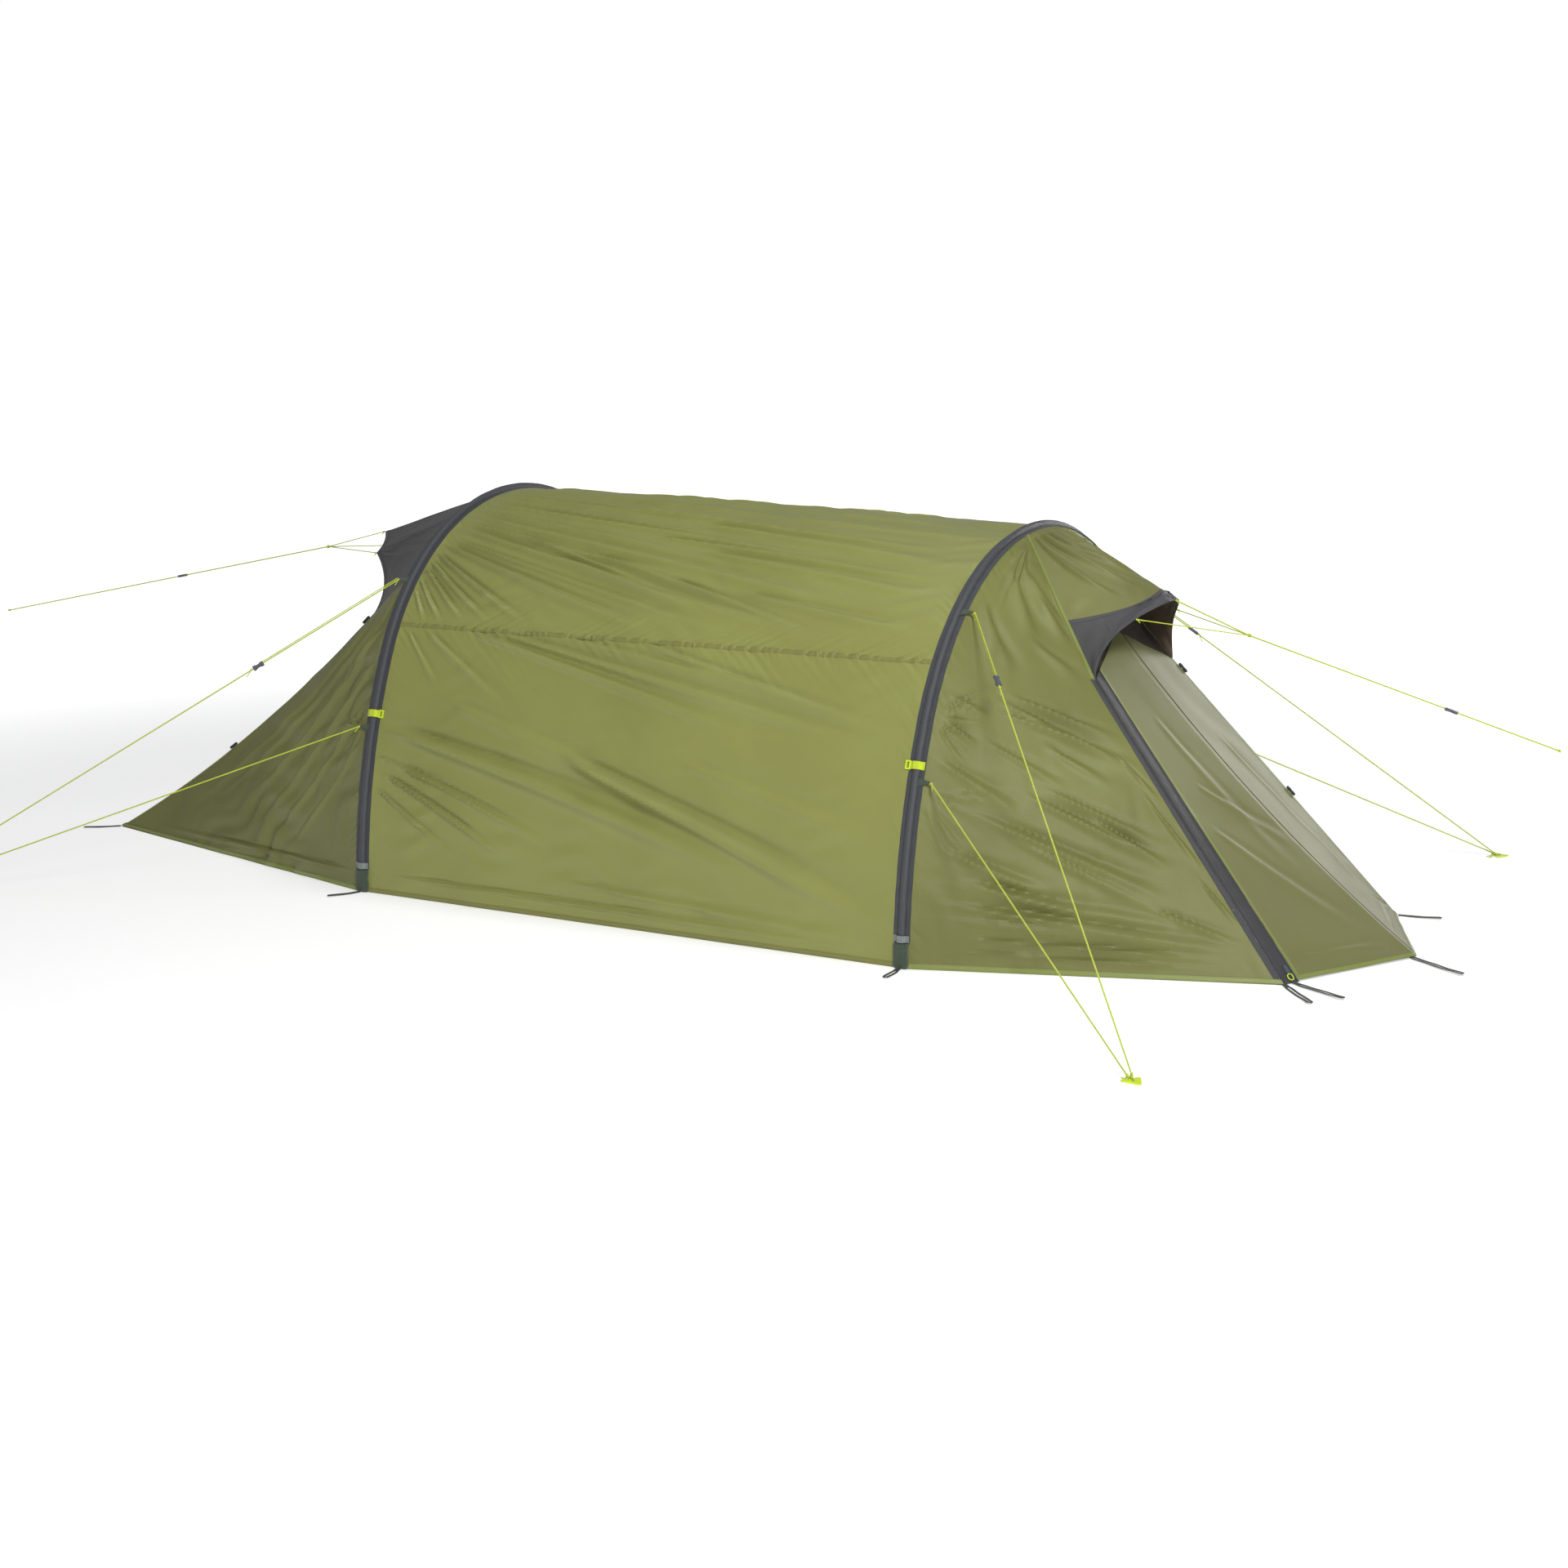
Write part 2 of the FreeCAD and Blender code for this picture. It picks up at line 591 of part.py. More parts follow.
def build_porch():
    side = cloth(ruled(porch_side, porch_seam, PORCH_COLUMNS), s.cloth)
    add("front_right_panel", side)
    add("front_left_panel", mirrored(side))

    def crown(share):
        first = run_at_side(FRONT, s.porch_seam_y)
        return hoop_point(FRONT, first * (1 - 2 * share), 0, PORCH_START)

    add("front_roof_panel", cloth(ruled(crown, hood_back, HOOD_COLUMNS), s.cloth))
    add("front_hood", cloth(ruled(hood_back, hood_rim, HOOD_COLUMNS), s.cloth))


def build_door():
    length = (PORCH_CORNER - HOOD_LOW).Length
    margin = s.flap_gap / length
    bottom = 1 - s.flap_floor_gap / s.door_top_z
    cover = [[door_point(cover_across(d, e), d) for e in shares(2)] for d in shares(12)]
    cover[-1] = [V(p.x, p.y, max(p.z, 0)) for p in cover[-1]]
    add("zip_cover", cloth(cover, s.cloth))
    foot_gap = s.flap_gap / (DOOR_FOOT - PORCH_CORNER).Length
    top_rows, flap_rows = [], []
    across = [0, 0.15, 0.3, 0.5, 0.7, 0.85, 1]
    for r in shares(5):
        row = []
        for u in across:
            down = cut_share(u) * r
            start = cover_across(down, 1) + TINY
            row.append(door_point(start + (1 - start) * u, down))
        top_rows.append(row)
    for r in shares(6):
        row = []
        for u in across:
            top = cut_share(u) + margin
            down = top + (bottom - top) * r
            start = cover_across(down, 1) + foot_gap
            row.append(door_point(start + (1 - foot_gap - start) * u, down))
        flap_rows.append(row)
    add("door_top", cloth(top_rows, s.cloth))
    add("door_flap", cloth(flap_rows, s.cloth))


def front_vent():
    """Mesh between the door's top edge and the roof, behind the hood."""
    seam_part = 0.25
    crown_z = SEAM_TOP.z - s.vent_drop
    low, high = [], []
    for u in shares(HOOD_COLUMNS):
        low.append(door_point(u, 0))
        side = abs(2 * u - 1)
        if side > 1 - seam_part:
            point = between(HOOD_LOW, HOOD_CORNER, (1 - side) / seam_part)
        else:
            reach = side / (1 - seam_part)
            z = HOOD_CORNER.z + (crown_z - HOOD_CORNER.z) * (1 - reach ** 2)
            point = V(HOOD_CORNER.x, HOOD_CORNER.y * reach, z)
        high.append(flipped(point) if u > 0.5 else point)
    return vent_cloth(low, high)


def vent_cloth(low, high):
    """Mesh between two edges, kept just inside the cloth that it is sewn to."""
    rows = [[between(a, b, r) for a, b in zip(low, high)] for r in (0.02, 0.5, 0.97)]
    inset = [[p + inward(p) * (s.cloth + 1) for p in row] for row in rows]
    return cloth(inset, s.cloth / 2)


# ---------------------------------------------------------------- rear end

REAR_LOW = V(REAR.x - s.rear_low_reach, -s.rear_low_y, s.rear_low_z)
REAR_CORNER = V(REAR.x - s.rear_reach, -s.rear_corner_y, 0)
REAR_ANCHOR = V(REAR.x - s.rear_anchor_reach, -s.rear_anchor_y, s.rear_anchor_z)
REAR_TIP = V(REAR.x - s.rear_hood_tip_reach, 0, s.rear_hood_tip_z)


def rear_edge(share):
    """Hollow corner edge from the rear hood down to the rear peg."""
    dip = s.rear_edge_sag * 4 * share * (1 - share)
    return between(REAR_LOW, REAR_CORNER, share) + V(dip * 0.6, 0, -dip * 0.8)


def rear_side(share):
    """Hoop side of the rear panel, from the hood seam down to the floor."""
    first = run_at_height(REAR, s.rear_hood_z)
    return hoop_point(REAR, first + (half_length(REAR) - first) * share, 0, -s.sleeve_width / 2)


def scallop(a, b, share, depth):
    """Hollow edge between two tensioned points."""
    middle = V(REAR.x, 0, (a.z + b.z) / 2)
    pull = (middle - between(a, b, 0.5)).normalize() * (depth * 4 * share * (1 - share))
    return between(a, b, share) + pull


def rear_rim(share):
    """Scalloped free edge of the rear hood, from right to left."""
    side = abs(2 * share - 1)
    if side > 0.5:
        point = scallop(REAR_ANCHOR, REAR_LOW, 2 * side - 1, s.rear_low_scallop)
    else:
        point = scallop(REAR_TIP, REAR_ANCHOR, 2 * side, s.rear_top_scallop)
    return point if share < 0.5 else flipped(point)


def rear_crown(share):
    first = run_at_height(REAR, s.rear_hood_z)
    return hoop_point(REAR, first * (1 - 2 * share), 0, -s.sleeve_width / 2)


def build_rear():
    side = cloth(ruled(rear_side, rear_edge, PORCH_COLUMNS), s.cloth)
    add("rear_right_panel", side)
    add("rear_left_panel", mirrored(side))
    add("rear_hood", cloth(ruled(rear_crown, rear_rim, HOOD_COLUMNS), s.cloth))
    back = [[between(rear_edge(d), flipped(rear_edge(d)), u) for u in shares(4)] for d in shares(PORCH_COLUMNS)]
    add("rear_back_panel", cloth(back, s.cloth))


def rear_vent():
    """Mesh between the back panel's top edge and the rear hood."""
    low = [between(REAR_LOW, flipped(REAR_LOW), u) for u in shares(HOOD_COLUMNS)]
    high = [between(rear_crown(u), rear_rim(u), 1 - 0.35 * math.sin(math.pi * u)) for u in shares(HOOD_COLUMNS)]
    return vent_cloth(low, high)


# ---------------------------------------------------------------- inner tent

def inner_hoop_wire(hoop, x, out, low):
    """Arch-shaped outline inside a hoop, closed by a straight line at a height."""
    end = run_at_height(hoop, low, out)
    arch = hoop_edges(hoop, -end, end, out, x - hoop.x)
    first, last = hoop_point(hoop, -end, out, x - hoop.x), hoop_point(hoop, end, out, x - hoop.x)
    return Part.Wire(Part.__sortEdges__(arch + [Part.makeLine(first, last)]))


def build_inner_walls(front_x, rear_x, low):
    """End walls of the inner tent, the doorway and the door that closes it from outside."""
    inset = -s.inner_gap - s.inner_cloth - s.inner_door_gap
    rear = Part.Face(inner_hoop_wire(REAR, rear_x, inset, low)).extrude(V(s.inner_cloth, 0, 0))
    add("inner_rear_wall", rear)
    inside_x = front_x - s.inner_cloth
    front = Part.Face(inner_hoop_wire(FRONT, inside_x, inset, low)).extrude(V(s.inner_cloth, 0, 0))
    half, sill = s.inner_door_width / 2, low + s.inner_sill
    top = sill + s.inner_door_height
    doorway = box_between(V(inside_x - 5, -half, sill), V(front_x + 5, half, top))
    add("inner_front_wall", front.cut(doorway))
    lap, door_x = s.inner_lap, front_x + s.inner_door_gap
    leaf = box_between(V(door_x, -half - lap, sill - lap), V(door_x + s.inner_cloth, half + lap, top + lap))
    add("inner_door", leaf)


def build_inner():
    front_x = FRONT.x - s.inner_inset
    rear_x = REAR.x + s.inner_inset
    low = s.tub_height + s.inner_door_gap
    start = s.tub_height / 2
    shells = []
    for out in (-s.inner_gap, -s.inner_gap - s.inner_cloth):
        rear, front = inner_hoop_wire(REAR, rear_x, out, start), inner_hoop_wire(FRONT, front_x, out, start)
        shells.append(Part.makeLoft([rear, front], True, True))
    room = box_between(V(rear_x - 10, -s.half_width, 0), V(front_x + 10, s.half_width, low))
    add("inner_canopy", shells[0].cut(shells[1]).cut(room))
    build_inner_walls(front_x, rear_x, low)


def build_hangers():
    """Short straps that hold the inner tent under the poles."""
    straps = []
    for hoop, ahead in ((FRONT, -1), (REAR, 1)):
        for share in HANGER_SHARES:
            run = share * half_length(hoop)
            top = hoop_point(hoop, run, -RIDGE_DEPTH / 2 - s.hanger_diameter / 2)
            low = hoop_point(hoop, run, s.hanger_diameter / 2 - s.inner_gap, ahead * (s.inner_inset + s.tub_floor))
            straps.append(Part.makeCylinder(s.hanger_diameter / 2, (low - top).Length, top, low - top))
    group("inner_hangers", straps)


def build_groundsheet():
    """Tub made as a block with a smaller block taken out, both bound to the sheet."""
    length = "(sizes.hoop_spacing - 2 * sizes.inner_inset)"
    width = "2 * (sizes.half_width - sizes.inner_gap)"
    outer = doc.addObject("Part::Box", "tub_outside")
    inner = doc.addObject("Part::Box", "tub_inside")
    for box, inset, rise in ((outer, "0", "0"), (inner, "sizes.inner_cloth", "sizes.tub_floor")):
        box.setExpression("Length", f"{length} - 2 * {inset}")
        box.setExpression("Width", f"{width} - 2 * {inset}")
        box.setExpression("Height", "sizes.tub_height")
        rear = "sizes.front_hoop_x - sizes.hoop_spacing + sizes.inner_inset"
        box.setExpression("Placement.Base.x", f"{rear} + {inset}")
        box.setExpression("Placement.Base.y", f"-{width} / 2 + {inset}")
        box.setExpression("Placement.Base.z", rise)
    tub = doc.addObject("Part::Cut", "groundsheet_tub")
    tub.Label = "groundsheet_tub"
    tub.Base = outer
    tub.Tool = inner


# ---------------------------------------------------------------- guy lines

def cord(points, radius):
    """Round cord along straight runs joined by tangent arcs."""
    edges, start = [], points[0]
    for before, corner, after in zip(points, points[1:], points[2:]):
        back, ahead = (before - corner).normalize(), (after - corner).normalize()
        turn = math.pi - back.getAngle(ahead)
        shorter = min((before - corner).Length, (after - corner).Length)
        trim = 0.45 * shorter
        bend = trim / math.tan(turn / 2)
        enter, leave = corner + back * trim, corner + ahead * trim
        middle_way = (back + ahead).normalize()
        middle = corner + middle_way * (bend / math.cos(turn / 2) - bend)
        edges.append(Part.LineSegment(start, enter).toShape())
        edges.append(Part.Arc(enter, middle, leave).toShape())
        print(f"cord arc radius {bend:.1f}")
        start = leave
    edges.append(Part.LineSegment(start, points[-1]).toShape())
    path = Part.Wire(edges)
    circle = Part.Wire(Part.makeCircle(radius, points[0], points[1] - points[0]))
    solid = path.makePipeShell([circle], True, False)
    expected = math.pi * radius ** 2 * path.Length
    if abs(solid.Volume / expected - 1) > 0.01:
        raise ValueError("a cord's volume does not match its length")
    return solid


def tab_tip(hoop, height, ahead):
    """Point just past the end of a guy tab on the right side."""
    run = run_at_height(hoop, height)
    reach = ahead * (s.sleeve_width / 2 + s.tab_length + s.tab_gap)
    return hoop_point(hoop, run, 0.5 + s.tab_thickness / 2, reach)


def ring_place(hoop, reach, side_y):
    """Where the triangular ring of a side guy pair lies on the floor."""
    return V(hoop.x + reach, -side_y, 0)


RINGS = {
    "front": ring_place(FRONT, s.front_peg_reach, s.front_peg_y),
    "rear": ring_place(REAR, -s.rear_peg_reach, s.rear_peg_y),
}


def ring_shape():
    """Triangular plate with one hole, pointing along +X, standing on its lower face."""
    reach = s.ring_side / math.sqrt(3)
    corners = [V(reach * math.cos(a), reach * math.sin(a), 0) for a in (0, 2 * math.pi / 3, 4 * math.pi / 3)]
    plate = Part.Face(Part.makePolygon(corners + corners[:1])).extrude(V(0, 0, s.ring_thickness))
    upright = [edge for edge in plate.Edges if abs(edge.BoundBox.ZLength - s.ring_thickness) < TINY]
    plate = plate.makeFillet(s.ring_corner, upright)
    hole = Part.makeCylinder(s.ring_hole / 2, s.ring_thickness + 2, V(0, 0, -1))
    return plate.cut(hole)


def heading(vector):
    return math.degrees(math.atan2(vector.y, vector.x))


def turned(shape, degrees, place):
    """Shape turned about the vertical and moved."""
    return placed(shape, FreeCAD.Placement(place, FreeCAD.Rotation(V(0, 0, 1), degrees)))


def runner_shape():
    """Line runner along X: a block with a cord passage and a scalloped waist."""
    block = box_between(V(-s.runner_length / 2, -s.runner_width / 2, -s.runner_depth / 2),
                        V(s.runner_length / 2, s.runner_width / 2, s.runner_depth / 2))
    radius = s.runner_length / 2
    for side in (-1, 1):
        centre = V(0, side * (radius + s.runner_waist / 2), -s.runner_depth / 2 - 1)
        block = block.cut(Part.makeCylinder(radius, s.runner_depth + 2, centre))
    passage = Part.makeCylinder(s.cord_diameter / 2 + s.cord_clearance, s.runner_length + 2,
                                V(-s.runner_length / 2 - 1, 0, 0), V(1, 0, 0))
    return block.cut(passage)


def on_line(shape, start, end, share):
    """Shape moved to a share of the way along a line, with its X axis along it."""
    turn = FreeCAD.Rotation(V(1, 0, 0), end - start)
    return placed(shape, FreeCAD.Placement(between(start, end, share), turn))


def build_guys():
    """Two lines on each side of each hoop, which meet in one ring on the floor."""
    radius = s.cord_diameter / 2
    rings = []
    for end, hoop, ahead in (("front", FRONT, 1), ("rear", REAR, -1)):
        ring = RINGS[end]
        upper, lower = (tab_tip(hoop, height, ahead) for height in (s.upper_guy_z, s.lower_guy_z))
        back = V(hoop.x - ring.x, -s.half_width - ring.y, 0).normalize()
        aside = V(0, 0, 1).cross(back)
        if aside.dot(upper - lower) < 0:
            aside = -aside
        meet = ring + back * (s.ring_side / 5) + V(0, 0, s.ring_thickness + radius * 0.8 + s.cord_clearance)
        aside *= s.line_spread
        ends = [(upper, meet + aside), (lower, meet - aside)]
        rings.append(turned(ring_shape(), heading(-back), ring))
        for side, turn in (("right", same), ("left", mirrored)):
            for level, line in zip(("upper", "lower"), ends):
                add(f"{end}_{side}_{level}_guy", turn(cord(line, radius)))
            add(f"{end}_{side}_runner", turn(on_line(runner_shape(), *ends[0], RUNNER_SHARES[end])))
    group("guy_rings", rings + [mirrored(ring) for ring in rings])


def same(shape):
    return shape


def end_guy(end, starts, knot, free):
    """Line from a hood: legs from its edge run into one knot, and one line leaves it."""
    reach = s.knot_diameter / 2 + s.cord_clearance
    legs = []
    for start in starts:
        way = (knot - start).normalize()
        legs.append(cord([start + way * s.leg_gap, knot - way * reach], s.leg_diameter / 2))
    group(f"{end}_bridle", legs)
    first = knot + (free - knot).normalize() * reach
    add(f"{end}_centre_guy", cord([first, free], s.cord_diameter / 2))
    name = f"{end}_centre"
    add(f"{name}_runner", on_line(runner_shape(), first, free, RUNNER_SHARES[name]))
    return Part.makeSphere(s.knot_diameter / 2, knot)


def build_end_guys():
    side = hood_rim(FRONT_LEG_SHARE)
    front = end_guy("front", (hood_rim(0.5), side, flipped(side)),
                    V(FRONT.x + s.front_knot_reach, 0, s.front_knot_z),
                    V(FRONT.x + s.front_free_reach, 0, s.front_free_z))
    rear = end_guy("rear", (REAR_TIP, REAR_ANCHOR, flipped(REAR_ANCHOR)),
                   V(REAR.x - s.rear_knot_reach, 0, s.rear_knot_z),
                   V(REAR.x - s.rear_free_reach, 0, s.rear_free_z))
    group("guy_knots", [front, rear])


# ---------------------------------------------------------------- small pieces

def loop_shape(length):
    """Peg loop lying on the floor along +X, with the centre of its round root at the origin."""
    radius, half = s.loop_width / 2, s.loop_slot / 2
    tip = length - 2 * radius
    body = box_between(V(0, -radius, 0), V(tip, radius, s.loop_thickness))
    for centre in (0, tip):
        body = body.fuse(Part.makeCylinder(radius, s.loop_thickness, V(centre, 0, 0)))
    slot = box_between(V(tip / 2, -half, -1), V(tip, half, s.loop_thickness + 1))
    slot_end = Part.makeCylinder(half, s.loop_thickness + 2, V(tip, 0, -1))
    return body.removeSplitter().cut(slot.fuse(slot_end))


def loop_at(length, place, root):
    """Loop that starts at a corner of the cloth and points the way of its place in the table."""
    degrees, lean = LOOP_TURNS[place]
    reach = (s.loop_width / 2 + s.loop_gap) / math.cos(math.radians(lean))
    way = V(math.cos(math.radians(degrees)), math.sin(math.radians(degrees)), 0)
    return turned(loop_shape(length), degrees, root + way * reach)


def build_loops():
    """Peg loops at the pole feet and at the corners of the fly."""
    foot = V(0, -s.half_width - s.pocket_depth / 2, 0)
    loops = [
        loop_at(s.hoop_loop_length, "front_foot", foot + V(FRONT.x, 0, 0)),
        loop_at(s.hoop_loop_length, "rear_foot", foot + V(REAR.x, 0, 0)),
        loop_at(s.far_loop_length, "rear_corner", REAR_CORNER),
    ]
    loops += [mirrored(loop) for loop in loops]
    along_door = (DOOR_FOOT - PORCH_CORNER).normalize()
    loops.append(loop_at(s.corner_loop_length, "zip_corner", PORCH_CORNER))
    loops.append(loop_at(s.corner_loop_length, "zip_side", PORCH_CORNER + along_door * s.side_loop_place))
    loops.append(loop_at(s.far_loop_length, "hinge_corner", flipped(PORCH_CORNER)))
    group("peg_loops", loops)
    under_flap = DOOR_FOOT + V(-s.door_loop_inset, 0, s.flap_gap)
    add("door_peg_loop", loop_at(s.door_loop_length, "door_foot", under_flap))


def toggle(corner, direction, first, second):
    """Small round bar along a convex edge; first and second lie on the two cloths that meet there."""
    way = V(direction.x, direction.y, direction.z).normalize()
    sides = [side - corner for side in (first, second)]
    across = [(side - way * side.dot(way)).normalize() for side in sides]
    out = -(across[0] + across[1]).normalize()
    start = corner + out * (s.toggle_diameter / 2 + s.toggle_gap) - way * (s.toggle_length / 2)
    return Part.makeCylinder(s.toggle_diameter / 2, s.toggle_length, start, way)


def build_toggles():
    """Toggles that hold the rolled door, and those at the rear corner edges."""
    toggles = []
    for share in DOOR_TOGGLE_SHARES:
        corner = flipped(between(HOOD_LOW, PORCH_CORNER, share))
        side = flipped(porch_side(0.45 + share / 2))
        toggles.append(toggle(corner, flipped(PORCH_CORNER - HOOD_LOW), side, door_ridge(share)))
    for share in REAR_TOGGLE_SHARES:
        corner = rear_edge(share)
        item = toggle(corner, rear_edge(share + 0.03) - corner, rear_side(share), flipped(corner))
        toggles += [item, mirrored(item)]
    group("toggles", toggles)


def build_zip():
    """Zip slider at the foot of the zip with its ring, standing on the cover."""
    across = cover_across(SLIDER_SHARE, SLIDER_ACROSS)
    place = door_point(across, SLIDER_SHARE)
    way = (HOOD_LOW - PORCH_CORNER).normalize()
    outward = way.cross(door_point(across + 0.05, SLIDER_SHARE) - place).normalize()
    if outward.x < 0:
        outward = -outward
    side = outward.cross(way)
    frame = FreeCAD.Placement(FreeCAD.Matrix(
        way.x, side.x, outward.x, place.x,
        way.y, side.y, outward.y, place.y,
        way.z, side.z, outward.z, place.z,
        0, 0, 0, 1))
    low = s.zip_rise
    block = box_between(V(-s.slider_length / 2, -s.slider_width / 2, low),
                        V(s.slider_length / 2, s.slider_width / 2, low + s.slider_depth))
    add("zip_slider", placed(block, frame))
    reach = s.slider_length / 2 + s.pull_gap + s.pull_wire + s.pull_radius
    ring_centre = V(-reach, 0, low + s.slider_depth / 2)
    ring = Part.makeTorus(s.pull_radius, s.pull_wire, ring_centre)
    add("zip_pull", placed(ring, frame))


def check_document():
    """Stop unless every object computed and every shape is whole."""
    doc.recompute()
    for item in doc.Objects:
        if {"Invalid", "Error"} & set(item.State):
            raise RuntimeError(f"{item.Label} failed to compute")
        if hasattr(item, "Shape") and (item.Shape.isNull() or not item.Shape.isValid()):
            raise RuntimeError(f"{item.Label} has no valid shape")


def write_parts():
    """One STEP file per sub-part; the tub's two blocks are only its ingredients."""
    os.makedirs("parts", exist_ok=True)
    ingredients = {"tub_outside", "tub_inside"}
    for item in doc.Objects:
        if hasattr(item, "Shape") and item.Label not in ingredients:
            item.Shape.exportStep(os.path.join("parts", item.Label + ".step"))
            print(f"{item.Label}: {len(item.Shape.Solids)} solids, {item.Shape.Volume / 1000:.1f} cm3")


build_poles()
build_sleeves()
build_sleeve_fittings()
build_feet()
build_tunnel()
build_porch()
build_door()
build_rear()
group("vent_meshes", [front_vent(), rear_vent()])
build_inner()
build_hangers()
build_groundsheet()
build_guys()
build_end_guys()
build_loops()
build_toggles()
build_zip()
check_document()
write_parts()
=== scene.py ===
"""Looks of a two-hoop tunnel tent: fly cloth, sleeves, hoods, door, inner tent, guy lines and fittings.

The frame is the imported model. The door end points along +X and the right side along -Y. The floor is z = 0,
and all sizes here are in metres.
"""
import json
import logging
import math
from dataclasses import dataclass, field
from enum import Enum
from typing import Callable, Optional, Sequence, Union

import bpy
import numpy as np
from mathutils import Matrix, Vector

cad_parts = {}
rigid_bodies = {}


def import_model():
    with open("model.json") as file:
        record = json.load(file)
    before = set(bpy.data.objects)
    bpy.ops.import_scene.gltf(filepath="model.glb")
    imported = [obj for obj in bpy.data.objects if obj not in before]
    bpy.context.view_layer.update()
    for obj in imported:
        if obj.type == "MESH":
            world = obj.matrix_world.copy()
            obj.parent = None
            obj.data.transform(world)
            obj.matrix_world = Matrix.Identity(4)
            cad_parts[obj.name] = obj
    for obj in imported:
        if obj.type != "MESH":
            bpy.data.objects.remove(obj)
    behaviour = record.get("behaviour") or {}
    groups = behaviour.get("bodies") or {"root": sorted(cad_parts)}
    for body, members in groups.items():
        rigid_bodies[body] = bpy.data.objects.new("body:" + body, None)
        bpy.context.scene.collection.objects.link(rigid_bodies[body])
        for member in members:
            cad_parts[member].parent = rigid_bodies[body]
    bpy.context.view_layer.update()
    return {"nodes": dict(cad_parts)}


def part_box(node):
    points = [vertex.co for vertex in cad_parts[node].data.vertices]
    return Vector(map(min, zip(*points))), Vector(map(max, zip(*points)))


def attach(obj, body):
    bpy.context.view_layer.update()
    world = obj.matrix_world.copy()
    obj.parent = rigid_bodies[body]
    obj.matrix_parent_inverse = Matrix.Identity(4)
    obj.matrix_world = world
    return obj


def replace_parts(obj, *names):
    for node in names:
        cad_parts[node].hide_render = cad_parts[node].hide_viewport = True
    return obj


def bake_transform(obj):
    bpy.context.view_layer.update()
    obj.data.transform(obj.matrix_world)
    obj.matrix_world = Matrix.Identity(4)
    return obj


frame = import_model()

LOG = logging.getLogger("tent")
Array = np.ndarray
Pair = tuple[float, float]
Triple = tuple[float, float, float]


# ---------------------------------------------------------------- shading

class Sock:
    """A node's output with Python operators that add Math nodes."""

    def __init__(self, shader: "Shader", socket: bpy.types.NodeSocket) -> None:
        """Wrap an output socket of a shader's node tree."""
        self.shader = shader
        self.socket = socket

    def _math(self, operation: str, *others: "Value") -> "Sock":
        """Math node of this socket and others.

        Args:
            operation: the Math node's operation.
            others: the further inputs, numbers or sockets.

        Returns:
            The node's result.
        """
        values = {0: self}
        values.update({index: other for index, other in enumerate(others, start=1)})
        return self.shader.node("ShaderNodeMath", {"operation": operation}, values).out(0)

    def out(self, index: Union[int, str]) -> "Sock":
        """Another output of the same node."""
        return Sock(self.shader, self.socket.node.outputs[index])

    def __add__(self, other: "Value") -> "Sock":
        """Sum."""
        return self._math("ADD", other)

    __radd__ = __add__

    def __mul__(self, other: "Value") -> "Sock":
        """Product."""
        return self._math("MULTIPLY", other)

    __rmul__ = __mul__

    def __sub__(self, other: "Value") -> "Sock":
        """Difference."""
        return self._math("SUBTRACT", other)

    def __rsub__(self, other: "Value") -> "Sock":
        """Difference from a number."""
        return (self * -1.0) + other

    def __pow__(self, other: "Value") -> "Sock":
        """Power."""
        return self._math("POWER", other)

    def __mod__(self, other: "Value") -> "Sock":
        """Remainder that stays positive."""
        return self._math("FLOORED_MODULO", other)

    def __lt__(self, other: "Value") -> "Sock":
        """One where this is the smaller, else zero."""
        return self._math("LESS_THAN", other)

    def wave(self, pitch: float) -> "Sock":
        """Sine of the value over a pitch in metres."""
        return (self * (2 * math.pi / pitch))._math("SINE")


Value = Union[float, Triple, tuple[float, float, float, float], Sock]


def linear(colour: tuple[int, int, int]) -> tuple[float, float, float, float]:
    """Scene colour of an 8-bit display colour.

    Args:
        colour: red, green and blue from 0 to 255.

    Returns:
        Linear red, green, blue and one.
    """
    parts = [c / 255 for c in colour]
    bright = [p / 12.92 if p <= 0.04045 else ((p + 0.055) / 1.055) ** 2.4 for p in parts]
    return (bright[0], bright[1], bright[2], 1.0)


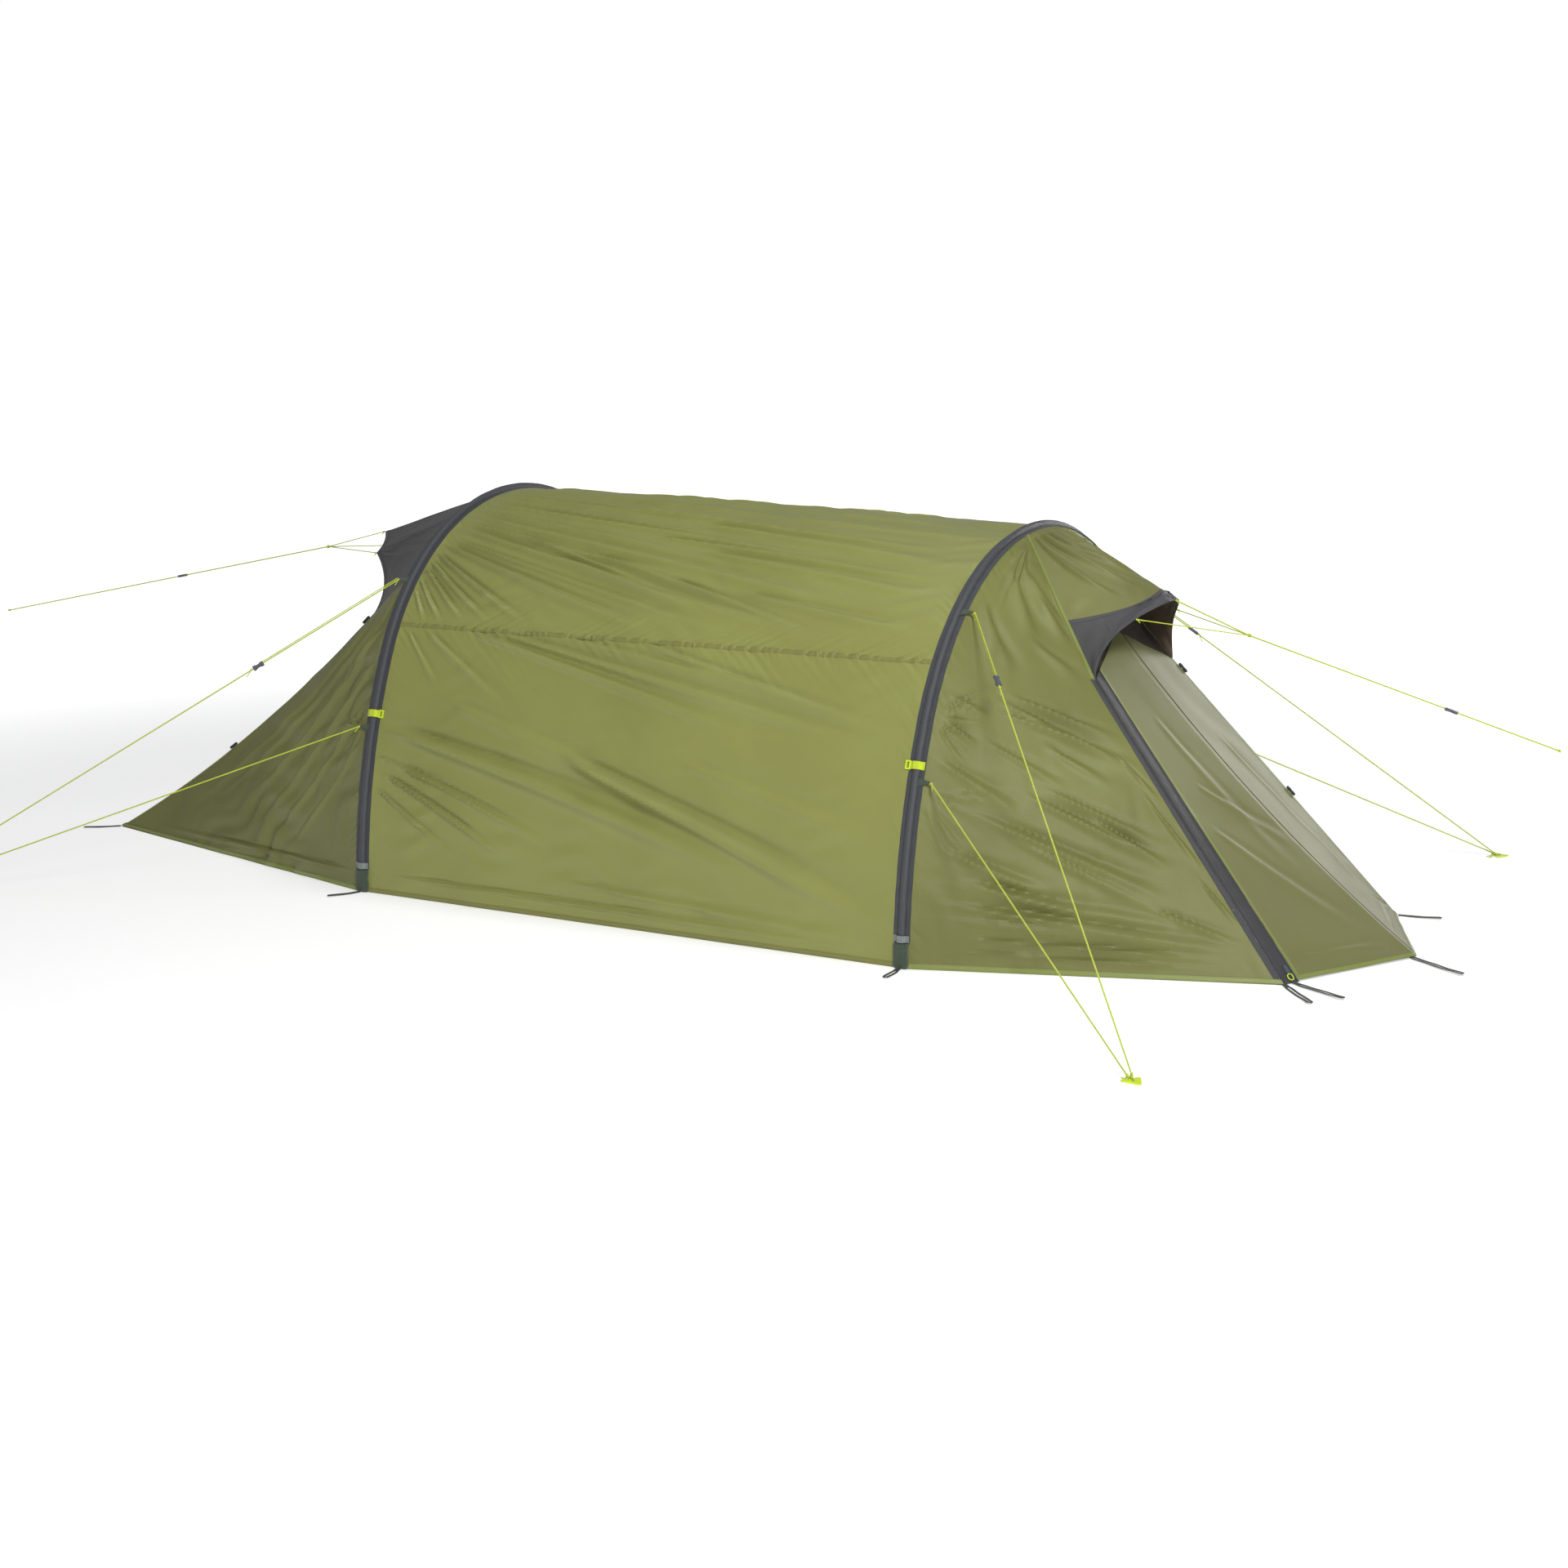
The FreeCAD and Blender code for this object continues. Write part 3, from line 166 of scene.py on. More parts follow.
class Shader:
    """One material and the nodes in it."""

    def __init__(self, name: str) -> None:
        """Start an empty node material with a Principled shader."""
        self.material = bpy.data.materials.new(name)
        self.material.use_nodes = True
        self.tree = self.material.node_tree
        self.tree.nodes.clear()
        self.principled = self.node("ShaderNodeBsdfPrincipled").socket.node
        self.node("ShaderNodeOutputMaterial", inputs={"Surface": Sock(self, self.principled.outputs[0])})

    def node(self, kind: str, settings: Optional[dict] = None, inputs: Optional[dict] = None) -> Sock:
        """Add a node.

        Args:
            kind: the node's type.
            settings: its properties; "stops" fills a colour ramp.
            inputs: value or socket for each named or numbered input.

        Returns:
            The node's first output, or a stand-in for a node with none.
        """
        made = self.tree.nodes.new(kind)
        for key, value in (settings or {}).items():
            if key == "stops":
                ramp = made.color_ramp
                while len(ramp.elements) < len(value):
                    ramp.elements.new(0.5)
                for element, (place, colour) in zip(ramp.elements, value):
                    element.position, element.color = place, colour
            else:
                setattr(made, key, value)
        for key, value in (inputs or {}).items():
            if isinstance(value, Sock):
                self.tree.links.new(value.socket, made.inputs[key])
            else:
                made.inputs[key].default_value = value
        outputs = made.outputs if len(made.outputs) else made.inputs
        return Sock(self, outputs[0])

    def surface(self, **values: Value) -> None:
        """Set or link the Principled shader's sockets, named with _ for a space."""
        for key, value in values.items():
            socket = self.principled.inputs[key.replace("_", " ")]
            if isinstance(value, Sock):
                self.tree.links.new(value.socket, socket)
            else:
                socket.default_value = value

    def place(self) -> Sock:
        """Position on the object in metres."""
        return self.node("ShaderNodeTexCoord").out("Object")

    def noise(self, scale: float, detail: float = 3.0, where: Optional[Sock] = None) -> Sock:
        """Soft random value from 0 to 1 over the object."""
        return self.node("ShaderNodeTexNoise", {}, {"Vector": where or self.place(), "Scale": scale,
                                                    "Detail": detail}).out(0)

    def chart(self) -> tuple[Sock, Sock]:
        """Distances along and across the cloth in metres."""
        attribute = self.node("ShaderNodeAttribute", {"attribute_name": "chart"}).out("Vector")
        parts = self.node("ShaderNodeSeparateXYZ", {}, {0: attribute})
        return parts.out("X"), parts.out("Y")

    def mixed(self, share: Value, first: Value, second: Value) -> Sock:
        """Colour between two others."""
        return self.node("ShaderNodeMix", {"data_type": "RGBA"}, {0: share, 6: first, 7: second}).out(2)

    def bumped(self, height: Sock, distance: float, strength: float = 1.0) -> None:
        """Feed a height in its own unit to the surface's normal."""
        values = {"Height": height, "Distance": distance, "Strength": strength}
        self.surface(Normal=self.node("ShaderNodeBump", {}, values).out("Normal"))


class Weave(Enum):
    """How a cloth is woven."""

    RIPSTOP = "ripstop"
    PLAIN = "plain"
    RIBBED = "ribbed"
    NET = "net"


@dataclass(frozen=True)
class ClothFinish:
    """Woven cloth or webbing."""

    name: str
    slot: str
    colour: tuple[int, int, int]
    shade: tuple[int, int, int]
    roughness: float = 0.5
    sheen: float = 0.15
    weave: Weave = Weave.PLAIN
    pitch: float = 0.0012
    relief: float = 0.00012

    def build(self) -> bpy.types.Material:
        """Make the material.

        Returns:
            The node material with colour drift, weave and grain.
        """
        shader = Shader(self.name)
        along, across = shader.chart()
        drift = shader.noise(2.6, 4.0)
        grain = shader.noise(420.0, 2.0)
        if self.weave is Weave.RIPSTOP:
            thread = ((along % 0.005) < 0.0005) + ((across % 0.005) < 0.0005)
            height = thread * 0.6 + along.wave(self.pitch) * across.wave(self.pitch) * 0.2
            mark = thread * 0.16
        elif self.weave is Weave.RIBBED:
            height = along.wave(self.pitch) * 0.5 + across.wave(self.pitch * 0.5) * 0.2
            mark = along.wave(self.pitch) * 0.12 + 0.12
        elif self.weave is Weave.NET:
            height = along.wave(self.pitch) * across.wave(self.pitch)
            mark = height * 0.35 + 0.35
        else:
            height = along.wave(self.pitch) * across.wave(self.pitch) * 0.6
            mark = grain * 0.2
        tone = shader.mixed(drift * 0.9 + mark, linear(self.colour), linear(self.shade))
        shader.surface(Base_Color=tone, Roughness=drift * 0.10 + grain * 0.08 + (self.roughness - 0.09),
                       Sheen_Weight=self.sheen, Sheen_Roughness=0.45, Specular_IOR_Level=0.4)
        shader.bumped(height + grain * 0.5, self.relief)
        return shader.material


@dataclass(frozen=True)
class CordFinish:
    """Braided cord, light with darker flecks."""

    name: str
    slot: str
    colour: tuple[int, int, int]
    fleck: tuple[int, int, int]

    def build(self) -> bpy.types.Material:
        """Make the material.

        Returns:
            The node material with a braided relief.
        """
        shader = Shader(self.name)
        parts = shader.node("ShaderNodeSeparateXYZ", {}, {0: shader.place()})
        x, y, z = parts.out("X"), parts.out("Y"), parts.out("Z")
        lay = (x + y * 1.3 + z * 2.1).wave(0.0024)
        other = (x - y * 1.3 + z * 1.7).wave(0.0024)
        braid = lay * other
        fleck = shader.noise(160.0, 1.0)
        tone = shader.mixed(braid * 0.25 + fleck * 0.3, linear(self.colour), linear(self.fleck))
        shader.surface(Base_Color=tone, Roughness=fleck * 0.15 + 0.5, Sheen_Weight=0.2)
        shader.bumped(braid, 0.0003)
        return shader.material


@dataclass(frozen=True)
class PlasticFinish:
    """Moulded plastic with a faint sand texture."""

    name: str
    slot: str
    colour: tuple[int, int, int]
    roughness: float = 0.38

    def build(self) -> bpy.types.Material:
        """Make the material.

        Returns:
            The node material with grain and rubbed patches.
        """
        shader = Shader(self.name)
        wear = shader.noise(38.0, 5.0)
        grain = shader.noise(900.0, 2.0)
        pale = tuple(min(255, int(c * 1.18 + 8)) for c in self.colour)
        shader.surface(Base_Color=shader.mixed(wear * 0.55, linear(self.colour), linear(pale)),
                       Roughness=wear * 0.2 + (self.roughness - 0.1), Specular_IOR_Level=0.5)
        shader.bumped(grain, 0.00008)
        return shader.material


@dataclass(frozen=True)
class AlloyFinish:
    """Anodised tube with fine drawing lines."""

    name: str
    slot: str
    colour: tuple[int, int, int]

    def build(self) -> bpy.types.Material:
        """Make the material.

        Returns:
            The node material with a brushed roughness.
        """
        shader = Shader(self.name)
        brushed = shader.noise(260.0, 3.0)
        worn = shader.noise(20.0, 4.0)
        shader.surface(Base_Color=shader.mixed(worn * 0.4, linear(self.colour), linear((176, 178, 180))),
                       Metallic=0.9, Roughness=brushed * 0.2 + 0.24)
        shader.bumped(brushed, 0.00003)
        return shader.material


FLY = ClothFinish("fly_ripstop", "fly_green", (144, 148, 81), (126, 128, 68), 0.38, 0.08, Weave.RIPSTOP)
# Darker copy of the fly cloth for the porch sides: its darker base colour and its darker patches are painted
# shade, not a different cloth.
PORCH_SIDE_PAINTED_SHADE = ClothFinish("porch_side_painted_shade_ripstop", "fly_green", (126, 130, 69), (92, 91, 49), 0.54, 0.02,
                        Weave.RIPSTOP)
# Darker copy of the fly cloth for the porch roof and the rear sides: its darker colour is painted shade, not
# a different cloth.
FLY_PAINTED_SHADE = ClothFinish("roof_and_rear_painted_shade_ripstop", "fly_green", (122, 125, 68), (96, 96, 52), 0.5, 0.02,
                        Weave.RIPSTOP)
SEAM_TAPE = ClothFinish("seam_tape", "fly_green", (134, 136, 74), (118, 118, 64), 0.5, 0.05,
                        Weave.RIBBED, 0.0020)
# Darker copy of the fly cloth for the door: its darker colour is painted shade, not a different cloth.
DOOR_PAINTED_SHADE = ClothFinish("door_painted_shade_ripstop", "fly_green", (120, 121, 74), (106, 106, 64), 0.55, 0.08, Weave.RIPSTOP)
FLY_INSIDE = ClothFinish("fly_lining", "fly_green", (124, 126, 84), (112, 113, 72), 0.5, 0.1,
                         Weave.RIPSTOP)
SLEEVE = ClothFinish("sleeve_twill", "sleeve_grey", (72, 73, 77), (62, 63, 67), 0.5, 0.04,
                     Weave.RIBBED, 0.0011)
HOOD = ClothFinish("hood_taffeta", "hood_grey", (69, 69, 70), (60, 60, 62), 0.52, 0.04,
                   Weave.PLAIN, 0.0010)
HOOD_EDGE = ClothFinish("hood_binding", "hood_grey", (80, 80, 82), (70, 70, 72), 0.5, 0.04,
                        Weave.RIBBED, 0.0011)
# Strip for the door's ridge seam: the seam tape is real, its dark colour is painted shadow along the fold.
SEAM_PAINTED_SHADOW = ClothFinish("seam_shadow", "fly_green", (82, 84, 50), (72, 74, 44), 0.6, 0.0, Weave.PLAIN, 0.0008)
# Inner side of the hoods and the zip cover: the brown tone is painted light showing through the cloth from
# behind.
HOOD_LINING_PAINTED_BACKLIGHT = ClothFinish("hood_lining_painted_backlight", "hood_grey", (84, 70, 54), (72, 60, 46), 0.6, 0.1,
                          Weave.PLAIN, 0.0010)
POCKET = ClothFinish("pocket_canvas", "pocket_green", (72, 84, 68), (58, 69, 56), 0.62, 0.2,
                     Weave.RIBBED, 0.0016, 0.0003)
BAND = ClothFinish("band_tape", "pale_band", (134, 142, 140), (116, 124, 124), 0.5, 0.1,
                   Weave.RIBBED, 0.0014, 0.0003)
LIME_TAPE = ClothFinish("strap_webbing", "lime_webbing", (205, 222, 34), (184, 204, 28), 0.5, 0.2,
                        Weave.RIBBED, 0.0016, 0.0003)
LOOP_TAPE = ClothFinish("loop_webbing", "loop_webbing", (68, 74, 64), (58, 63, 55), 0.6, 0.05,
                        Weave.RIBBED, 0.0018, 0.0001)
NET = ClothFinish("vent_net", "dark_mesh", (70, 60, 46), (50, 44, 34), 0.7, 0.0, Weave.NET, 0.0016,
                  0.0004)
INNER = ClothFinish("inner_nylon", "inner_cloth", (196, 194, 178), (180, 178, 160), 0.55, 0.2,
                    Weave.PLAIN)
GROUND = ClothFinish("ground_coated", "groundsheet", (66, 68, 70), (56, 58, 60), 0.42, 0.0, Weave.RIPSTOP)
THREAD = ClothFinish("seam_thread", "fly_green", (112, 119, 62), (100, 106, 55), 0.6, 0.2,
                     Weave.RIBBED, 0.0006)
GREY_THREAD = ClothFinish("grey_thread", "sleeve_grey", (58, 59, 63), (48, 49, 53), 0.6, 0.2,
                          Weave.RIBBED, 0.0006)
HEM = ClothFinish("hem_tape", "fly_green", (132, 141, 74), (122, 131, 67), 0.46, 0.1, Weave.RIPSTOP)
LIME_CORD = CordFinish("guy_braid", "lime_cord", (206, 222, 52), (160, 176, 40))
LIME_PLASTIC = PlasticFinish("lime_moulded", "lime_plastic", (190, 210, 46))
BLACK_PLASTIC = PlasticFinish("black_moulded", "black_plastic", (34, 34, 36))
GREY_PLASTIC = PlasticFinish("grey_moulded", "grey_plastic", (74, 78, 84))
ALLOY = AlloyFinish("pole_anodised", "pole_alloy", (120, 124, 130))

Finish = Union[ClothFinish, CordFinish, PlasticFinish, AlloyFinish]
_built: dict[str, bpy.types.Material] = {}


def material_of(finish: Finish) -> bpy.types.Material:
    """Material of a finish, built once."""
    if finish.name not in _built:
        _built[finish.name] = finish.build()
    return _built[finish.name]


# ---------------------------------------------------------------- shapes

def between(a: Array, b: Array, share: Union[float, Array]) -> Array:
    """Point or points a share of the way from one to another."""
    share = np.asarray(share, float)
    return np.asarray(a) + (np.asarray(b) - np.asarray(a)) * share[..., None]


def smooth(values: Array) -> Array:
    """Soft step from 0 to 1."""
    held = np.clip(values, 0, 1)
    return held * held * (3 - 2 * held)


def flipped(point: Array) -> Array:
    """Mirror image across the centre plane."""
    return np.asarray(point) * np.array([1.0, -1.0, 1.0])


def unit(vector: Array) -> Array:
    """Vectors scaled to a length of one."""
    return vector / np.maximum(np.linalg.norm(vector, axis=-1, keepdims=True), 1e-12)


def pairs(first: Union[float, Array], second: Union[float, Array]) -> Array:
    """Grid of two values at each point."""
    return np.stack(np.broadcast_arrays(first, second), axis=-1)


def twice(chart: Array) -> Array:
    """Chart of a closed sheet, from the chart of one side."""
    return np.concatenate([chart.reshape(-1, 2)] * 2)


def run_along(path: Array) -> Array:
    """Length from a path's start to each of its points."""
    return np.concatenate([[0], np.cumsum(np.linalg.norm(np.diff(path, axis=0), axis=1))])


def normals_of(points: Array, heart: Array) -> Array:
    """Outward normals of a grid of points.

    Args:
        points: grid of shape (rows, columns, 3).
        heart: a point on the inner side of the cloth.

    Returns:
        Unit normals of the same shape.
    """
    down = np.gradient(points, axis=0)
    right = np.gradient(points, axis=1)
    normal = unit(np.cross(down, right))
    away = ((points - heart) * normal).sum()
    return normal if away > 0 else -normal


def new_object(name: str, points: Array, faces: list, finishes: Sequence[Finish], body: Optional[str],
               face_slots: Optional[Array] = None, chart: Optional[Array] = None,
               crisp: float = 40.0) -> bpy.types.Object:
    """Mesh object with its materials, riding on a body.

    Args:
        name: the piece's name.
        points: vertices.
        faces: vertex numbers of each face.
        finishes: finishes in slot order.
        body: the CAD body that carries the piece, or none for a piece that rides on no body.
        face_slots: slot number of each face.
        chart: distances along and across the cloth at each vertex.
        crisp: edges sharper than this many degrees stay sharp.

    Returns:
        The new object.
    """
    mesh = bpy.data.meshes.new(name)
    mesh.from_pydata(np.asarray(points, float).reshape(-1, 3).tolist(), [], faces)
    mesh.update()
    mesh.polygons.foreach_set("use_smooth", [True] * len(mesh.polygons))
    mesh.set_sharp_from_angle(angle=math.radians(crisp))
    if chart is None:
        flat = np.asarray(points, float).reshape(-1, 3)
        chart = np.stack([flat[:, 0], flat[:, 1] + flat[:, 2]], axis=-1)
    layer = mesh.attributes.new("chart", "FLOAT_VECTOR", "POINT")
    values = np.zeros((len(mesh.vertices), 3), np.float32)
    values[:, :2] = np.asarray(chart, float).reshape(-1, 2)
    layer.data.foreach_set("vector", values.ravel())
    for finish in finishes:
        mesh.materials.append(material_of(finish))
    if face_slots is not None:
        mesh.polygons.foreach_set("material_index", np.asarray(face_slots, np.int32))
    made = bpy.data.objects.new(name, mesh)
    bpy.context.scene.collection.objects.link(made)
    if body:
        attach(made, body)
    LOG.info("%s: %d faces", name, len(mesh.polygons))
    return made


@dataclass
class Bundle:
    """Loose closed shapes that become one mesh."""

    points: list = field(default_factory=list)
    faces: list = field(default_factory=list)
    chart: list = field(default_factory=list)
    count: int = 0

    def add(self, points: Array, faces: Sequence, chart: Optional[Array] = None) -> None:
        """Add a shape's points and faces."""
        flat = np.asarray(points, float).reshape(-1, 3)
        self.points.append(flat)
        shift = self.count
        self.faces += [[index + shift for index in face] for face in faces]
        if chart is None:
            chart = np.stack([flat[:, 0] + flat[:, 1], flat[:, 2]], axis=-1)
        self.chart.append(np.asarray(chart, float).reshape(-1, 2))
        self.count += len(flat)

    def add_sheet(self, front: Array, back: Array, chart: Array, turn: bool = False) -> None:
        """Add a thin closed cloth between two grids."""
        points, faces, _ = closed_sheet(front, back, turn)
        self.add(points, faces.tolist(), twice(chart))

    def make(self, name: str, finishes: Sequence[Finish], body: Optional[str] = "tent") -> bpy.types.Object:
        """Turn the shapes into an object."""
        return new_object(name, np.concatenate(self.points), self.faces, finishes, body, None,
                          np.concatenate(self.chart))


def grid_faces(rows: int, columns: int, start: int = 0, turn: bool = False, loop: bool = False) -> Array:
    """Quads over a grid of vertices.

    Args:
        rows: rows of vertices.
        columns: vertices in a row.
        start: number of the first vertex.
        turn: whether the faces look the other way.
        loop: whether the last column joins the first.

    Returns:
        Vertex numbers, four to a face.
    """
    i, j = np.meshgrid(np.arange(rows - 1), np.arange(columns if loop else columns - 1), indexing="ij")
    k = (j + 1) % columns
    this, below = i * columns, (i + 1) * columns
    quads = np.stack([this + j, below + j, below + k, this + k], axis=-1).reshape(-1, 4) + start
    return quads[:, ::-1] if turn else quads


def closed_sheet(front: Array, back: Array, turn: bool) -> tuple[Array, Array, Array]:
    """Thin closed cloth between two grids.

    Args:
        front: grid of the outer side.
        back: grid of the inner side.
        turn: whether the faces' order is reversed.

    Returns:
        Points, faces, and 0 or 1 for each face on the outer or inner side.
    """
    rows, columns = front.shape[:2]
    count = rows * columns
    outer = grid_faces(rows, columns, 0, turn)
    inner = grid_faces(rows, columns, count, not turn)
    rim = [(0, j) for j in range(columns)] + [(i, columns - 1) for i in range(1, rows)]
    rim += [(rows - 1, j) for j in range(columns - 2, -1, -1)] + [(i, 0) for i in range(rows - 2, 0, -1)]
    numbers = np.array([i * columns + j for i, j in rim])
    following = np.roll(numbers, -1)
    edge = np.stack([numbers, following, following + count, numbers + count], axis=-1)
    if turn:
        edge = edge[:, ::-1]
    faces = np.concatenate([outer, inner, edge])
    side = np.concatenate([np.zeros(len(outer)), np.ones(len(inner)), np.zeros(len(edge))])
    return np.concatenate([front.reshape(-1, 3), back.reshape(-1, 3)]), faces, side


def grid_area(points: Array) -> float:
    """Area of a grid of points."""
    a, b = points[1:, :-1] - points[:-1, :-1], points[:-1, 1:] - points[:-1, :-1]
    return float(np.linalg.norm(np.cross(a, b), axis=-1).sum())


def cut_size(points: Array) -> Pair:
    """Width and length of the cloth that a grid is cut from.

    Args:
        points: grid of points.

    Returns:
        The longest row and the longest column, in metres.
    """
    rows = np.linalg.norm(np.diff(points, axis=1), axis=-1).sum(axis=1).max()
    columns = np.linalg.norm(np.diff(points, axis=0), axis=-1).sum(axis=0).max()
    return float(rows), float(columns)


def wave_mix(values: Array, seed: int, count: int = 5) -> Array:
    """Smooth random curve made of sine waves, about -1 to 1 for values in waves."""
    draw = np.random.default_rng(seed)
    total = np.zeros_like(values)
    for _ in range(count):
        total += np.sin(2 * math.pi * (values * draw.uniform(0.55, 1.5) + draw.uniform()))
    return total / math.sqrt(count * 1.4)


@dataclass(frozen=True)
class Crease:
    """A fold along a line of the cloth, with a hollow beside it."""

    start: Pair
    end: Pair
    width: float
    depth: float
    bow: float = 0.0
    head: float = 0.12
    tail: float = 0.45

    def height(self, chart: Array) -> Array:
        """How far the cloth stands out.

        Args:
            chart: distances along and across the cloth.

        Returns:
            Height at each point.
        """
        start, end = np.array(self.start), np.array(self.end)
        way = end - start
        length = float(np.hypot(*way))
        rest = chart - start
        share = (rest @ way) / length ** 2
        aside = (rest[..., 0] * way[1] - rest[..., 1] * way[0]) / length - self.bow * 4 * share * (1 - share)
        width = self.width * (0.36 + 0.54 * np.clip(share, 0, 1))
        rise = np.exp(-(aside / width) ** 2) - 0.55 * np.exp(-((aside - 1.55 * width) / (0.9 * width)) ** 2)
        return self.depth * rise * smooth(share / self.head) * smooth((1 - share) / self.tail)


@dataclass(frozen=True)
class Fan:
    """Folds that spread from a point where the cloth is pulled."""

    origin: Pair
    first: float
    last: float
    count: int
    reach: float
    width: float
    depth: float
    seed: int
    gap: float = 0.03

    def height(self, chart: Array) -> Array:
        """How far the cloth stands out at each point."""
        draw = np.random.default_rng(self.seed)
        total = np.zeros(chart.shape[:-1])
        for index in range(self.count):
            share = (index + draw.uniform(0.2, 0.8)) / self.count
            angle = math.radians(self.first + (self.last - self.first) * share)
            way = np.array([math.cos(angle), math.sin(angle)])
            start = np.array(self.origin) + way * self.gap
            reach = self.reach * draw.uniform(0.55, 1.1)
            crease = Crease(tuple(start), tuple(start + way * reach), self.width * draw.uniform(0.7, 1.3),
                            self.depth * draw.uniform(0.5, 1.1), reach * draw.uniform(-0.04, 0.04), 0.08, 0.8)
            total += crease.height(chart)
        return total


@dataclass(frozen=True)
class Pucker:
    """Gathers along a straight seam."""

    level: float
    reach: float
    pitch: float
    depth: float
    seed: int
    shear: float = 0.6
    vertical: bool = False

    def height(self, chart: Array) -> Array:
        """How far the cloth stands out at each point."""
        along, across = (chart[..., 1], chart[..., 0]) if self.vertical else (chart[..., 0], chart[..., 1])
        away = across - self.level
        place = along - self.shear * np.abs(away)
        swell = 0.65 + 0.35 * wave_mix(place / (self.pitch * 9), self.seed + 7, 3)
        gathers = self.depth * swell * wave_mix(place / self.pitch, self.seed)
        return gathers * np.exp(-np.abs(away) / self.reach)


@dataclass(frozen=True)
class Billow:
    """Slow waves over a whole panel, longer one way than the other."""

    angle: float
    pitch: float
    depth: float
    seed: int
    stretch: float = 4.0

    def height(self, chart: Array) -> Array:
        """How far the cloth stands out at each point."""
        turn = math.radians(self.angle)
        along = chart[..., 0] * math.cos(turn) + chart[..., 1] * math.sin(turn)
        across = chart[..., 1] * math.cos(turn) - chart[..., 0] * math.sin(turn)
        bend = 0.35 * wave_mix(along / (self.pitch * self.stretch), self.seed + 3, 3)
        strength = 0.55 + 0.45 * wave_mix(along / (self.pitch * self.stretch) + 0.4, self.seed + 5, 3)
        return self.depth * strength * wave_mix(across / self.pitch + bend, self.seed)


Fold = Union[Crease, Fan, Pucker, Billow]
Placing = Callable[[float, float], Pair]


def creases(rows: Sequence[tuple[float, ...]],
            at: Placing = lambda along, across: (along, across)) -> list[Fold]:
    """Creases from rows of numbers.

    Args:
        rows: start, end, width, depth and any further sizes of each crease.
        at: turns the two numbers of a start or an end into a place on the chart.

    Returns:
        One crease for each row.
    """
    return [Crease(at(*row[:2]), at(*row[2:4]), *row[4:]) for row in rows]


@dataclass
class Panel:
    """A cloth panel given as a grid of points, with folds laid over it."""

    name: str
    points: Array
    chart: Array
    heart: Triple
    folds: Sequence[Fold] = ()
    held: Optional[Array] = None
    lining: Finish = FLY_INSIDE
    finish: Finish = FLY
    thickness: float = 0.0008
    drop: float = 0.0
    gain: float = 1.0

    def raised(self) -> Array:
        """Points of the folded outer side."""
        normal = normals_of(self.points, np.array(self.heart))
        height = np.full(self.points.shape[:2], -self.drop)
        gain = self.gain if self.held is None else self.gain * self.held
        for fold in self.folds:
            height = height + fold.height(self.chart) * gain
        return self.points + normal * height[..., None]

    def surface(self) -> tuple[Array, Array]:
        """Points of the folded outer side, and the normals there."""
        points = self.raised()
        return points, normals_of(points, np.array(self.heart))

    def make(self, body: Optional[str] = "tent", declare: bool = True) -> bpy.types.Object:
        """Args:
            body: the CAD body that carries it.

        Returns:
            The panel's object.
        """
        outer, normal = self.surface()
        back = outer - normal * self.thickness
        outer[..., 2] = np.maximum(outer[..., 2], 0.0)
        back[..., 2] = np.maximum(back[..., 2], 0.0)
        rows, columns = outer.shape[:2]
        middle = grid_faces(rows, columns)[(rows // 2) * (columns - 1) + columns // 2]
        corners = outer.reshape(-1, 3)[middle]
        facing = np.cross(corners[1] - corners[0], corners[2] - corners[0]) @ normal[rows // 2, columns // 2]
        points, faces, side = closed_sheet(outer, back, facing < 0)
        chart = twice(self.chart)
        made = new_object(self.name, points, faces.tolist(), (self.finish, self.lining), body, side, chart)
        if declare:
            self.declare(made)
        return made

    def declare(self, made: bpy.types.Object) -> None:
        """Work out the size and the area of the sheet that this piece is cut from; neither is used."""
        cut_size(self.points)
        grid_area(self.points)


@dataclass(frozen=True)
class Mirrored:
    """The same fold on the other side of the centre plane."""

    fold: Fold

    def height(self, chart: Array) -> Array:
        """How far the cloth stands out at each point."""
        return self.fold.height(chart * np.array([1.0, -1.0]))


def ribbon(path: Array, side: Array, up: Array, width: Union[float, Array],
           thickness: float) -> tuple[Array, list, Array]:
    """Flat closed tape along a path.

    Args:
        path: middle of the tape's lower face.
        side: direction across the tape at each point.
        up: direction through the tape at each point.
        width: tape width, one number or one for each point.
        thickness: tape thickness.

    Returns:
        Points, faces and chart.
    """
    across = np.array([-0.5, -0.47, 0.47, 0.5, 0.47, -0.47])
    through = np.array([0.5, 1.0, 1.0, 0.5, 0.0, 0.0])
    wide = np.broadcast_to(np.asarray(width, float), (len(path),))
    points = path[:, None] + unit(side)[:, None] * (wide[:, None] * across)[..., None]
    points = points + unit(up)[:, None] * (thickness * through)[None, :, None]
    run = run_along(path)
    chart = pairs(run[:, None], wide[:, None] * across)
    return points, tube_faces(len(path), 6), chart


def tube_faces(rings: int, sides: int) -> list:
    """Faces of a closed tube of rings of vertices."""
    faces = grid_faces(rings, sides, loop=True).tolist()
    faces.append(list(range(sides)))
    faces.append([(rings - 1) * sides + k for k in reversed(range(sides))])
    return faces


